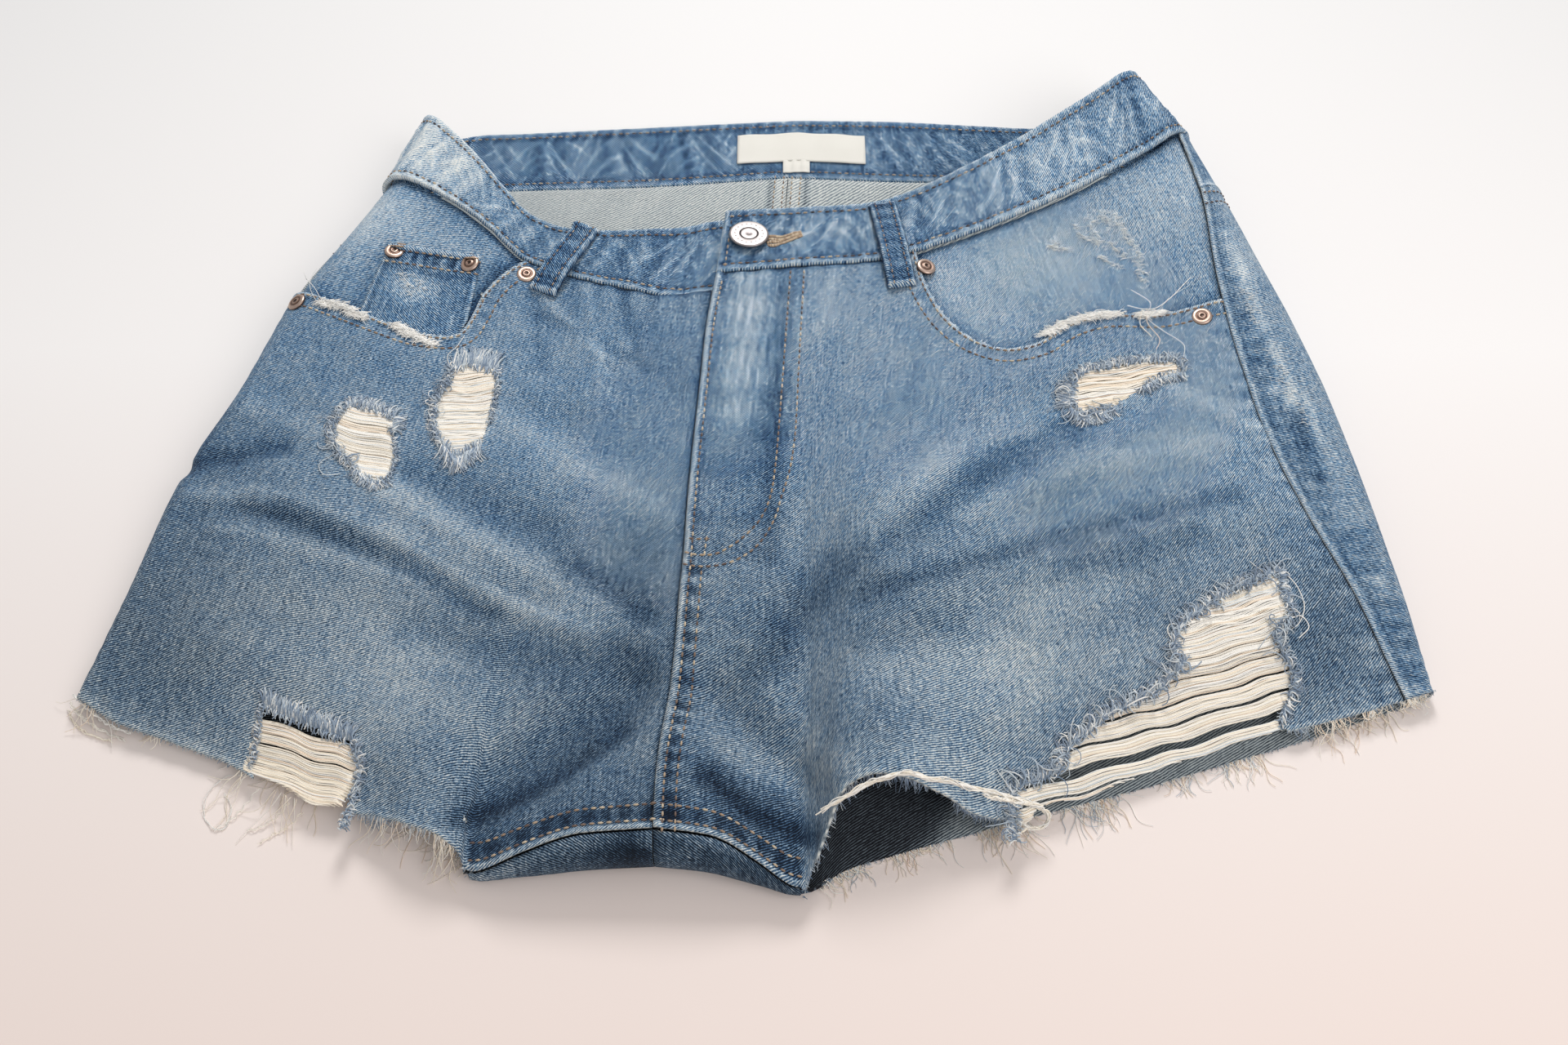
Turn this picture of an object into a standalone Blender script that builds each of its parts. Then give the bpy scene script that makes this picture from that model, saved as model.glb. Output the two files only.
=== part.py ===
"""Cut-off denim shorts, laid flat on their back with the front up.

Sizes in the tables are centimetres in plan: x to the wearer's left, y toward the waist, z up from the
table. "right" is the wearer's right, at -x. Every panel is a wall through one flattened tube: the front
lies on top, rolls over a fold at each side and along the crotch, and goes on as the back underneath.
"""
import math

import bpy
import numpy as np

CM = 0.01
ORIGIN_Y = -0.592        # the tables' plan is moved by this much to stand the box on the origin
WALL = 0.14              # denim panel
BAND_OUT = 0.10          # waistband face above the panels' face
BAND_IN = -0.15          # waistband back below the panels' face
SEAM = 0.018             # half the gap between two pieces
FACING_DEPTH = 0.20      # pocket facing's face below the front panel's face
FACING_WALL = 0.12
COIN_DEPTH = 0.04
COIN_WALL = 0.10
LOOP_WIDTH = 1.3
LOOP_WALL = 0.20
BUTTON_RADIUS = 0.87
BUTTON_HEIGHT = 0.32
RIVET_RADIUS = 0.44
RIVET_HEIGHT = 0.14
POCKET_WALL = 0.15
LABEL_WALL = 0.06
WAIST_LIFT = 0.32        # the back waist stands on its belt loops
POCKET_LIFT = 0.18       # the back panels stand on the patch pockets


def table(names, *rows):
    """Named columns of a short table."""
    return {name: np.array([row[i] for row in rows], float) for i, name in enumerate(names.split())}


# The outermost line of the garment from the waist seam to the hem, and the radius of the side fold.
OUTLINE = {
    "right": table("x y r seam",
                   (-17.4, 13.6, 1.50, -0.2), (-18.7, 10.9, 1.45, 0.0), (-20.3, 7.7, 1.30, 0.1),
                   (-22.2, 2.1, 1.10, -0.3), (-23.7, -1.5, 0.95, -0.5), (-25.2, -7.6, 0.70, -0.5),
                   (-26.5, -12.0, 0.35, -0.3)),
    "left": table("x y r seam",
                  (20.1, 16.2, 1.80, 1.9), (21.2, 13.0, 1.75, 2.6), (22.5, 8.2, 1.60, 3.9),
                  (23.8, 3.0, 1.40, 4.5), (24.8, -1.3, 1.10, 4.2), (25.9, -7.0, 0.80, 2.8),
                  (26.5, -11.8, 0.35, 1.5)),
}
# The waist seam across the front, from the side to the centre.
WAIST_FRONT = {
    "right": table("x y z",
                   (-17.4, 13.6, 3.0), (-15.5, 12.9, 3.1), (-13.6, 11.6, 3.1), (-12.0, 10.2, 2.9),
                   (-10.5, 8.7, 2.6), (-8.2, 7.8, 2.4), (-6.1, 7.3, 2.3), (-4.3, 6.9, 2.3), (-2.1, 7.2, 2.3)),
    "left": table("x y z",
                  (20.1, 16.2, 3.7), (17.1, 13.9, 3.9), (14.6, 12.2, 3.7), (11.7, 10.8, 3.3),
                  (8.2, 9.4, 2.9), (5.6, 8.7, 2.6), (1.8, 8.4, 2.5), (-1.95, 8.0, 2.5)),
}
# The waistband's top edge across the front, from the peak at the side to the centre.
TOP_FRONT = {
    "right": table("x y z",
                   (-16.0, 17.3, 3.5), (-14.2, 15.7, 3.5), (-13.0, 14.4, 3.2), (-11.8, 12.9, 2.8),
                   (-10.6, 11.6, 2.4), (-9.0, 10.9, 2.2), (-6.4, 10.8, 2.1), (-4.2, 11.1, 2.1), (-2.1, 11.7, 2.1)),
    "left": table("x y z",
                  (17.8, 19.2, 4.4), (15.0, 17.1, 4.1), (12.2, 15.5, 3.5), (9.5, 13.9, 3.1),
                  (7.0, 12.7, 2.7), (5.3, 12.3, 2.4), (2.6, 12.1, 2.3), (-1.6, 11.8, 2.35)),
}
WAIST_BACK = {
    "right": table("x y", (-17.4, 13.6), (-14.5, 14.6), (-11.5, 15.0), (-5.2, 15.3), (1.3, 15.9)),
    "left": table("x y", (20.1, 16.2), (17.0, 15.9), (13.5, 15.6), (7.4, 15.6), (1.3, 15.9)),
}
TOP_BACK = {
    "right": table("x y", (-16.0, 17.3), (-14.0, 18.4), (-11.8, 18.8), (-4.2, 19.4), (1.7, 19.8)),
    "left": table("x y", (17.8, 19.2), (13.9, 19.1), (10.8, 19.4), (6.8, 19.7), (1.7, 19.8)),
}
# Centre front, from the waist seam to the crotch's outermost point.
CENTRE_FRONT = table("x y",
                     (-2.3, 4.9), (-2.5, 1.5), (-2.8, -3.5), (-2.95, -7.2), (-3.2, -11.8), (-3.6, -15.5), (-3.6, -19.0))
CENTRE_BACK = table("x y", (1.3, 15.9), (0.8, 9.0), (-0.6, 0.0), (-2.2, -9.0), (-3.3, -15.5), (-3.6, -19.0))
# Front hems from the side to the inner corner, then the outermost line of the inseam fold to the crotch.
HEM_FRONT = {
    "right": table("x y z",
                   (-26.5, -12.0, 0.70), (-24.7, -13.1, 0.60), (-22.7, -13.8, 0.55), (-19.6, -15.0, 0.6),
                   (-18.4, -15.8, 0.7), (-15.8, -16.8, 0.9), (-14.2, -17.1, 1.2), (-12.5, -17.7, 1.8),
                   (-11.2, -18.2, 1.8), (-10.6, -18.8, 1.2), (-10.5, -19.25, 0.6)),
    "left": table("x y z",
                  (26.5, -11.8, 0.70), (23.9, -12.6, 0.60), (20.5, -13.5, 0.60), (17.9, -14.3, 0.6),
                  (14.6, -15.5, 0.7), (10.8, -16.9, 0.9), (9.6, -17.2, 1.0), (8.3, -17.2, 1.4),
                  (6.7, -16.6, 2.3), (5.5, -16.3, 2.9), (4.1, -16.3, 3.1), (3.1, -16.9, 2.7),
                  (2.6, -18.0, 1.9), (2.2, -19.0, 1.2), (1.8, -19.9, 0.6)),
}
INSEAM_FOLD = {
    "right": table("x y r", (-10.5, -19.25, 0.6), (-8.4, -19.3, 0.9), (-6.0, -19.1, 1.1), (-3.6, -19.0, 1.2)),
    "left": table("x y r", (1.8, -19.9, 0.6), (0.2, -19.6, 0.8), (-1.6, -19.2, 1.1), (-3.6, -19.0, 1.2)),
}
HEM_BACK = {
    "right": table("x y", (-26.5, -12.0), (-22.7, -13.3), (-19.0, -14.6), (-15.8, -15.7), (-13.4, -16.2),
                   (-11.6, -17.0), (-10.8, -18.1), (-10.5, -19.25)),
    "left": table("x y", (26.5, -11.8), (21.3, -13.6), (18.0, -14.6), (14.7, -15.6), (11.3, -16.5), (8.1, -17.4),
                  (5.3, -18.2), (3.2, -18.9), (1.8, -19.9)),
}
# Folds of the front: a ridge (or a trough, where the height is negative) along a line, and its half width.
FOLDS = table("x0 y0 x1 y1 height width",
              (-11.5, -17.4, -4.8, -12.4, -0.85, 1.2),
              (2.8, -17.2, -1.6, -12.6, -0.80, 1.1),
              (-13.0, -15.4, -6.5, -9.0, 0.35, 1.9),
              (5.2, -14.8, -0.2, -8.6, 0.35, 1.8),
              (-3.4, -18.0, -3.0, -8.5, 0.30, 1.2),
              (-21.5, -2.5, -9.0, -7.5, 0.20, 1.1),
              (-20.0, 1.5, -8.0, -3.5, 0.16, 1.0),
              (-17.0, 4.0, -7.0, 0.5, 0.14, 1.0),
              (21.0, -4.0, 6.0, -8.0, 0.20, 1.2),
              (18.5, 0.0, 4.5, -4.0, 0.16, 1.0),
              (15.5, 3.0, 4.0, 0.5, 0.14, 1.0),
              (-14.5, 10.0, -19.5, 3.0, 0.18, 1.4),
              (12.0, 8.0, 19.0, 2.0, 0.18, 1.6),
              (-9.0, 6.0, -8.5, 0.0, -0.15, 1.0),
              (5.5, 6.5, 4.5, 0.0, -0.15, 1.0))
SCOOP = {
    "right": table("x y", (-10.1, 8.9), (-11.2, 7.9), (-12.0, 6.7), (-12.4, 5.4), (-12.9, 4.4), (-14.3, 4.4),
                   (-16.0, 5.1), (-17.8, 6.0), (-19.3, 6.7), (-21.4, 7.3)),
    "left": table("x y", (7.0, 9.2), (7.4, 7.1), (8.2, 5.3), (9.2, 4.2), (10.5, 3.6), (11.9, 3.9), (13.2, 4.9),
                  (14.7, 5.4), (16.8, 5.4), (18.3, 5.7), (19.7, 6.0), (22.4, 6.3)),
}
COIN = {"top": ((-16.3, 9.4), (-12.3, 8.7)), "inner": (-12.65, 5.6), "outer": (-17.2, 6.35)}
# Slots in the torn places, between bundles of bare weft: ends and width.
TEARS = table("x0 y0 x1 y1 width",
              (11.8, -15.55, 17.8, -13.30, 0.44),
              (-17.9, -12.90, -15.5, -13.80, 0.42))
# Rivets, and how far each one's seat lies above the front's outer face.
RIVETS = table("x y seat",
               (-20.0, 6.35, 0.03), (-16.0, 9.0, -0.01), (-12.75, 8.3, -0.01), (-10.35, 7.85, 0.03),
               (7.45, 8.1, 0.03), (18.9, 5.2, 0.03))
BUTTON_AT = (-0.5, 10.1)
LABEL = {"x": (-1.2, 5.1), "y": (16.85, 18.85)}
LABEL_TAB = {"x": (1.05, 2.35), "y": (16.0, 16.8)}
FRONT_LOOPS = {"right": ((-7.9, 10.9), (-9.6, 6.75)), "left": ((5.6, 12.15), (6.35, 6.95))}
BACK_LOOPS = (-9.5, 1.5, 11.0)
BACK_POCKETS = {
    "right": ((-16.6, 6.6), (-4.4, 8.2), (-4.2, -1.8), (-9.6, -5.0), (-15.2, -3.4)),
    "left": ((17.6, 6.8), (5.4, 8.2), (4.0, -1.8), (9.2, -5.0), (15.0, -3.2)),
}


# ---------------------------------------------------------------- curves and the plan
def smooth(t):
    t = np.clip(t, 0.0, 1.0)
    return t * t * (3.0 - 2.0 * t)


def curve(columns, steps=24):
    """A smooth line through a table's points: the share of its plan length, then its columns."""
    points = np.stack(list(columns.values()), axis=1)
    padded = np.vstack([2 * points[0] - points[1], points, 2 * points[-1] - points[-2]])
    gap = np.maximum(np.linalg.norm(np.diff(padded[:, :2], axis=0), axis=1) ** 0.5, 1e-6)
    line = []
    for i in range(1, len(padded) - 2):
        p0, p1, p2, p3 = padded[i - 1:i + 3]
        g0, g1, g2 = gap[i - 1:i + 2]
        m1 = (p1 - p0) / g0 - (p2 - p0) / (g0 + g1) + (p2 - p1) / g1
        m2 = (p2 - p1) / g1 - (p3 - p1) / (g1 + g2) + (p3 - p2) / g2
        for t in np.arange(steps) / steps:
            a = 2 * t ** 3 - 3 * t ** 2 + 1
            b = t ** 3 - 2 * t ** 2 + t
            line.append(a * p1 + b * m1 * g1 + (1 - a) * p2 + (t ** 3 - t ** 2) * m2 * g1)
    line = np.array(line + [points[-1]])
    run = np.concatenate([[0.0], np.cumsum(np.linalg.norm(np.diff(line[:, :2], axis=0), axis=1))])
    return run / run[-1], line, run[-1]


def read(line, t, column=None):
    share, points, _ = line
    if column is not None:
        return np.interp(t, share, points[:, column])
    return np.stack([np.interp(t, share, points[:, i]) for i in range(2)], axis=-1)


def join(first, second, keep):
    """One table from two that meet, with only the named columns."""
    return {k: np.concatenate([first[k], second[k][1:]]) for k in keep}


SIDES = ("right", "left")
outline = {s: curve(OUTLINE[s]) for s in SIDES}
edges = {}
corner = {}
for side in SIDES:
    fold = dict(INSEAM_FOLD[side], z=INSEAM_FOLD[side]["r"])
    hem = join(HEM_FRONT[side], fold, ("x", "y", "z"))
    back_hem = join(HEM_BACK[side], fold, ("x", "y"))
    centre = {k: np.concatenate([[WAIST_FRONT[side][k][-1]], CENTRE_FRONT[k]]) for k in ("x", "y")}
    edges[side, "front"] = (curve(WAIST_FRONT[side]), curve(hem), outline[side], curve(centre))
    edges[side, "back"] = (curve(WAIST_BACK[side]), curve(back_hem), outline[side], curve(CENTRE_BACK))
    corner[side, "front"] = curve(HEM_FRONT[side])[2] / edges[side, "front"][1][2]
    corner[side, "back"] = curve(HEM_BACK[side])[2] / edges[side, "back"][1][2]
fold_radius = {s: curve(INSEAM_FOLD[s]) for s in SIDES}


def plan(side, layer, u, s):
    """The plan point at share u from the side to the centre, and s from the waist to the bottom."""
    top, bottom, outer, inner = edges[side, layer]
    t, b, e, c = read(top, u), read(bottom, u), read(outer, s), read(inner, s)
    t0, t1, b0, b1 = read(top, 0.0), read(top, 1.0), read(bottom, 0.0), read(bottom, 1.0)
    u, s = np.asarray(u)[..., None], np.asarray(s)[..., None]
    ruled = (1 - s) * t + s * b + (1 - u) * e + u * c
    return ruled - ((1 - u) * (1 - s) * t0 + u * (1 - s) * t1 + (1 - u) * s * b0 + u * s * b1)


lengths = {}
for key in edges:
    share = np.linspace(0, 1, 61)
    uu, ss = np.meshgrid(share, share, indexing="ij")
    sheet = plan(*key, uu, ss)
    across = np.linalg.norm(np.diff(sheet, axis=0), axis=2).sum(axis=0)
    down = np.linalg.norm(np.diff(sheet, axis=1), axis=2).sum(axis=1)
    lengths[key] = (share, across, down)


def across(side, layer, s):
    return np.interp(s, lengths[side, layer][0], lengths[side, layer][1])


def down(side, layer, u):
    return np.interp(u, lengths[side, layer][0], lengths[side, layer][2])


def bottom_radius(side, layer, u):
    """The inseam fold's radius under column u, and how much of a fold there is (none along the hem)."""
    at = corner[side, layer]
    run = (1 - at) * edges[side, layer][1][2]
    radius = read(fold_radius[side], np.clip((u - at) / (1 - at), 0, 1), 2)
    return radius, smooth((u - at) * run / (1 - at) / 1.2 + 1.0)


def distance_to(x, y, x0, y0, x1, y1):
    dx, dy = x1 - x0, y1 - y0
    t = np.clip(((x - x0) * dx + (y - y0) * dy) / (dx * dx + dy * dy), 0, 1)
    return np.hypot(x - x0 - t * dx, y - y0 - t * dy)


def folds(x, y):
    rise = np.zeros_like(x)
    for i in range(len(FOLDS["x0"])):
        f = {k: v[i] for k, v in FOLDS.items()}
        away = distance_to(x, y, f["x0"], f["y0"], f["x1"], f["y1"])
        rise = rise + f["height"] * np.exp(-((away / f["width"]) ** 2))
    return rise


def polygon_distance(x, y, corners):
    """How far outside a convex outline a point lies (0 inside)."""
    inside = np.full(np.shape(x), True)
    near = np.full(np.shape(x), 1e9)
    area = sum(a[0] * b[1] - b[0] * a[1] for a, b in zip(corners, corners[1:] + corners[:1]))
    for a, b in zip(corners, corners[1:] + corners[:1]):
        cross = (b[0] - a[0]) * (y - a[1]) - (b[1] - a[1]) * (x - a[0])
        inside &= cross * area >= 0
        near = np.minimum(near, distance_to(x, y, a[0], a[1], b[0], b[1]))
    return np.where(inside, 0.0, near)


def under(x, y):
    """How high the back's outer face stands above the table."""
    lift = WAIST_LIFT * smooth((y - 9.0) / 3.5)
    for side in SIDES:
        away = polygon_distance(x, y, BACK_POCKETS[side])
        lift = np.maximum(lift, POCKET_LIFT * smooth((4.2 - away) / 2.0))
    return lift


def roll(distance, radius):
    """Plan distance and height round a fold: distance along the cloth from its outermost line."""
    turn = np.clip(np.abs(distance) / radius, 0, math.pi / 2)
    beyond = np.maximum(np.abs(distance) - radius * math.pi / 2, 0.0)
    return radius * (1 - np.cos(turn)) + beyond, radius * (1 + np.sign(distance) * np.sin(turn))


def front_height(side, u, s, x, y):
    """The front's outer face before the side fold takes over."""
    top, bottom, _, _ = edges[side, "front"]
    inside = 2.55 - 0.85 * smooth((-y - 1.0) / 13.0) + 0.15 * np.exp(-((x / 9.0) ** 2)) + folds(x, y)
    length = down(side, "front", u)
    e = (1 - s) * length
    radius, share = bottom_radius(side, "front", u)
    round_off = np.sqrt(np.maximum(radius ** 2 - (radius - np.minimum(e, radius)) ** 2, 0.0))
    edge = read(bottom, u, 2) + share * round_off
    z = edge + (inside - edge) * smooth(e / 4.5)
    waist = read(top, u, 2)
    return waist + (z - waist) * smooth(s * length / 4.5)


def body(side, s, a):
    """The shorts' outer face: a is the distance along the cloth from the side's outermost line,
    positive on the front and negative on the back."""
    s, a = np.broadcast_arrays(np.asarray(s, float), np.asarray(a, float))
    radius = read(outline[side], s, 2)
    d, rolled = roll(a, radius)
    uf = np.clip(d / across(side, "front", s), 0, 1)
    ub = np.clip(d / across(side, "back", s), 0, 1)
    front, back = plan(side, "front", uf, s), plan(side, "back", ub, s)
    fz = front_height(side, uf, s, front[..., 0], front[..., 1])
    fz = np.where(d > radius, 2 * radius + (fz - 2 * radius) * smooth((d - radius) / 5.0), rolled)
    br, share = bottom_radius(side, "back", ub)
    e = np.minimum((1 - s) * down(side, "back", ub), br)
    curl = share * (br - np.sqrt(np.maximum(br ** 2 - (br - e) ** 2, 0.0)))
    bz = np.maximum(rolled, curl)
    bz = bz + under(back[..., 0], back[..., 1]) * np.clip(1 - bz / radius, 0, 1)
    upper = (a >= 0)[..., None]
    return np.where(upper, np.concatenate([front, fz[..., None]], -1), np.concatenate([back, bz[..., None]], -1))


def centre_run(side, layer, s):
    """The distance along the cloth from the outermost line to the centre seam."""
    radius = read(outline[side], s, 2)
    return across(side, layer, s) - radius + radius * math.pi / 2


band_lines = {(s, layer, end): curve(tables[s]) for s in SIDES for layer, end, tables in (
    ("front", 0, WAIST_FRONT), ("front", 1, TOP_FRONT), ("back", 0, WAIST_BACK), ("back", 1, TOP_BACK))}
TOP_RADIUS = {"right": 1.6, "left": 2.1}


def band(side, h, a):
    """The waistband's middle face: h from the seam (0) to the top (1), a as on the body."""
    h, a = np.broadcast_arrays(np.asarray(h, float), np.asarray(a, float))
    lower = outline[side][1][0, 2]
    radius = lower + (TOP_RADIUS[side] - lower) * h
    d, z = roll(a, radius)
    out = np.zeros(a.shape + (3,))
    for layer in ("front", "back"):
        lo, hi = band_lines[side, layer, 0], band_lines[side, layer, 1]
        u = d / (lo[2] + (hi[2] - lo[2]) * h)
        extra = np.maximum(u - 1, 0.0) * lo[2] * (1.0 if side == "right" else -1.0)
        point = read(lo, u) * (1 - h[..., None]) + read(hi, u) * h[..., None]
        point[..., 0] += extra
        if layer == "front":
            flat = read(lo, u, 2) * (1 - h) + read(hi, u, 2) * h
            dip = -0.34 * smooth((point[..., 0] + 5.5) / 2.5) if side == "right" else 0.0
            height = np.where(d > radius, 2 * radius + (flat - 2 * radius) * smooth((d - radius) / 5.0) + dip, z)
        else:
            height = z + WAIST_LIFT * np.clip(1 - z / radius, 0, 1)
        here = (a >= 0) if layer == "front" else (a < 0)
        out[here] = np.concatenate([point, height[..., None]], -1)[here]
    return out


def band_run(side, layer, h):
    lower = outline[side][1][0, 2]
    radius = lower + (TOP_RADIUS[side] - lower) * h
    length = band_lines[side, layer, 0][2] * (1 - h) + band_lines[side, layer, 1][2] * h
    return length - radius + radius * math.pi / 2


# ---------------------------------------------------------------- solids
scene_objects = list(bpy.data.objects)
for old in scene_objects:
    bpy.data.objects.remove(old, do_unlink=True)

MATERIALS = {}
COLOURS = {
    "denim": (0.16, 0.27, 0.42, 1), "denim_inside": (0.42, 0.46, 0.48, 1), "cream_thread": (0.78, 0.72, 0.60, 1),
    "copper": (0.55, 0.36, 0.25, 1), "nickel": (0.62, 0.60, 0.57, 1), "label_cloth": (0.85, 0.80, 0.70, 1),
}


def material(name):
    if name not in MATERIALS:
        made = bpy.data.materials.new(name)
        made.use_nodes = True
        shader = made.node_tree.nodes["Principled BSDF"]
        shader.inputs["Base Color"].default_value = COLOURS[name]
        shader.inputs["Roughness"].default_value = 0.35 if name in ("copper", "nickel") else 0.9
        shader.inputs["Metallic"].default_value = 1.0 if name in ("copper", "nickel") else 0.0
        MATERIALS[name] = made
    return MATERIALS[name]


def solid(name, points, faces, slot):
    mesh = bpy.data.meshes.new(name)
    placed = (np.asarray(points, float) - (0.0, ORIGIN_Y, 0.0)) * CM
    mesh.from_pydata([tuple(p) for p in placed], [], [tuple(int(i) for i in f) for f in faces])
    mesh.materials.append(material(slot))
    mesh.validate()
    made = bpy.data.objects.new(name, mesh)
    bpy.context.scene.collection.objects.link(made)
    return made


def lattice(column, f, q):
    """Points and unit normals of a face drawn column by column: f across, q down, both from 0 to 1."""
    step = 1e-3
    grid = np.stack([column(share, q) for share in f])
    ahead = np.stack([column(share + step, q) for share in f])
    behind = np.stack([column(share - step, q) for share in f])
    lower = np.stack([column(share, np.minimum(q + step, 1)) for share in f])
    upper = np.stack([column(share, np.maximum(q - step, 0)) for share in f])
    n = np.cross(ahead - behind, lower - upper)
    return grid, n / np.maximum(np.linalg.norm(n, axis=2, keepdims=True), 1e-12)


def sheet_faces(rows, cols):
    """Faces of a closed wall: outer grid first, inner grid second."""
    index = np.arange(rows * cols).reshape(rows, cols)
    a, b, c, d = index[:-1, :-1], index[1:, :-1], index[1:, 1:], index[:-1, 1:]
    outer = np.stack([a, b, c, d], -1).reshape(-1, 4)
    inner = outer[:, ::-1] + rows * cols
    ring = np.concatenate([index[:-1, 0], index[-1, :-1], index[:0:-1, -1], index[0, :0:-1]])
    after = np.roll(ring, -1)
    rim = np.stack([after, ring, ring + rows * cols, after + rows * cols], -1)
    return np.vstack([outer, inner, rim])


def wall(name, face, top, bottom, slot, facing):
    """A wall between two offsets of a face; facing is +1 for a front and -1 for a back."""
    grid, n = face
    middle = n[n.shape[0] // 2, n.shape[1] // 2, 2]
    sign = 1.0 if middle * facing > 0 else -1.0
    outer, inner = grid + sign * n * top, grid + sign * n * bottom
    faces = sheet_faces(*grid.shape[:2])
    i, j = grid.shape[0] // 2, grid.shape[1] // 2
    turn = np.cross(grid[i, j] - grid[i - 1, j], grid[i, j] - grid[i, j - 1])
    if np.dot(turn, n[i, j]) * sign < 0:
        faces = faces[:, ::-1]
    return solid(name, np.vstack([outer.reshape(-1, 3), inner.reshape(-1, 3)]), faces, slot)


def prism(name, corners, low, high):
    """An upright cutter over a plan outline."""
    n = len(corners)
    area = sum(a[0] * b[1] - b[0] * a[1] for a, b in zip(corners, corners[1:] + corners[:1]))
    ring = list(corners) if area > 0 else list(corners)[::-1]
    points = [(x, y, low) for x, y in ring] + [(x, y, high) for x, y in ring]
    faces = [tuple(range(n))[::-1], tuple(range(n, 2 * n))]
    faces += [(i, (i + 1) % n, (i + 1) % n + n, i + n) for i in range(n)]
    made = solid(name, points, faces, "denim")
    made.hide_render = True
    made.display_type = "WIRE"
    return made


def cut(target, cutter):
    change = target.modifiers.new(cutter.name, "BOOLEAN")
    change.operation = "DIFFERENCE"
    change.solver = "EXACT"
    change.object = cutter


# ---------------------------------------------------------------- panels
def seam_at(side, s):
    return read(outline[side], s, 3)


def inseam_s(side, u):
    """Where the inseam stitching runs on the front, as a share s of column u (1 along the hem)."""
    at = corner[side, "front"]
    t = np.clip((u - at) / (1 - at), 0, 1)
    e = 0.15 + 0.80 * smooth(t * 1.6)
    return np.where(u > at, 1 - e / down(side, "front", u), 1.0)


def front_face(side, columns, rows):
    """The front panel's face: columns from the side seam to the centre."""
    top = 0.03 / down(side, "front", 0.5)

    def column(share, q):
        end = 1.0
        for _ in range(4):
            first, last = seam_at(side, end) + SEAM, centre_run(side, "front", end) - SEAM
            d = roll(first + share * (last - first), read(outline[side], end, 2))[0]
            end = float(inseam_s(side, d / across(side, "front", end)))
        end -= 2 * SEAM / 22.0 if end < 1.0 else 0.0
        s = top + (end - top) * q
        first, last = seam_at(side, s) + SEAM, centre_run(side, "front", s) - SEAM
        return body(side, s, first + share * (last - first))

    grid, n = lattice(column, columns, np.linspace(0, 1, rows) ** 0.95)
    n[-1, :, 0] = 0.0
    return grid, n / np.linalg.norm(n, axis=2, keepdims=True)


def yoke_s(f):
    """The yoke seam, from the side (f 0) to the centre back (f 1)."""
    return 0.115 + 0.095 * f


def back_at(side, s, share):
    first, last = seam_at(side, s) - SEAM, -centre_run(side, "back", s) + SEAM
    return body(side, s, first + share * (last - first))


def yoke_face(side, columns, rows):
    top = 0.03 / down(side, "back", 0.5)

    def column(share, q):
        return back_at(side, top + (yoke_s(share) - SEAM / 33.0 - top) * q, share)

    return lattice(column, columns, np.linspace(0, 1, rows))


def back_face(side, columns, rows):
    """The back panel's face: below the yoke, and round the inseam fold to its stitching in front."""
    at, front_at = corner[side, "back"], corner[side, "front"]

    def column(share, q):
        first = yoke_s(share) + SEAM / 33.0
        start, stop = seam_at(side, 1.0) - SEAM, -centre_run(side, "back", 1.0) + SEAM
        a = start + share * (stop - start)
        u = min(float(roll(a, read(outline[side], 1.0, 2))[0] / across(side, "back", 1.0)), 1 - SEAM / 23)
        if a > 0 or u <= at:
            return back_at(side, first + (1 - first) * q, share)
        t = (u - at) / (1 - at)
        radius = float(bottom_radius(side, "back", u)[0])
        reach = 0.15 + 0.80 * float(smooth(t * 1.6)) - 2.5 * SEAM
        over = radius * math.acos(1 - min(reach, radius) / radius)
        length = float(down(side, "back", u))
        total = length * (1 - first) - radius + radius * math.pi / 2
        run = -total + (total + over) * q
        e = roll(run, radius)[0]
        behind = back_at(side, 1 - e / length, share)
        # past the outermost line the column goes on over the front
        fu = np.full(len(run), front_at + t * (1 - front_at))
        fs = 1 - e / down(side, "front", fu)
        ahead = plan(side, "front", fu, fs)
        z = front_height(side, fu, fs, ahead[:, 0], ahead[:, 1])
        return np.where((run > 0)[:, None], np.concatenate([ahead, z[:, None]], -1), behind)

    grid, n = lattice(column, columns, np.linspace(0, 1, rows) ** 0.9)
    n[-1, :, 0] = 0.0
    return grid, n / np.linalg.norm(n, axis=2, keepdims=True)


FRONT_ACROSS = np.interp(np.linspace(0, 1, 23), (0, 0.18, 0.58, 1), (0, 0.09, 0.62, 1))
BACK_ACROSS = np.interp(np.linspace(0, 1, 21), (0, 0.38, 1), (0, 0.20, 1))
fronts = {}
hems = {}
for side in SIDES:
    front, back = front_face(side, FRONT_ACROSS, 24), back_face(side, BACK_ACROSS, 19)
    fronts[side] = wall("front_" + side, front, 0.0, -WALL, "denim", 1)
    fronts[side].modifiers.new("triangles", "TRIANGULATE")
    wall("yoke_" + side, yoke_face(side, BACK_ACROSS, 4), 0.0, -WALL, "denim", -1)
    wall("back_" + side, back, 0.0, -WALL, "denim", -1)
    hems[side, "front"] = front[0][:, -1], front[1][:, -1]
    hems[side, "back"] = back[0][:, -1], back[1][:, -1]


# ---------------------------------------------------------------- waistband
UNDERLAP = 3.0


def band_at(w, h):
    """Round the ring: w 0 at the end under the button, 1 and 3 at the side folds, 2 at the centre back,
    4 at the lapping end."""
    side = "right" if w < 2 else "left"
    if w <= 1:
        a = (1 - w) * (band_run(side, "front", h) + UNDERLAP)
    elif w >= 3:
        a = (w - 3) * band_run(side, "front", h)
    else:
        a = (abs(w - 2) - 1) * band_run(side, "back", h)
    return band(side, h, a)


def band_face(count, rows):
    w = np.interp(np.linspace(0, 1, count),
                  (0, 0.17, 0.31, 0.5, 0.66, 0.80, 1), (0, 0.80, 1.16, 2, 2.84, 3.20, 4))
    return lattice(lambda place, q: band_at(min(max(place, 0), 4), q), w, np.linspace(0.008, 1, rows))


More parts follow.
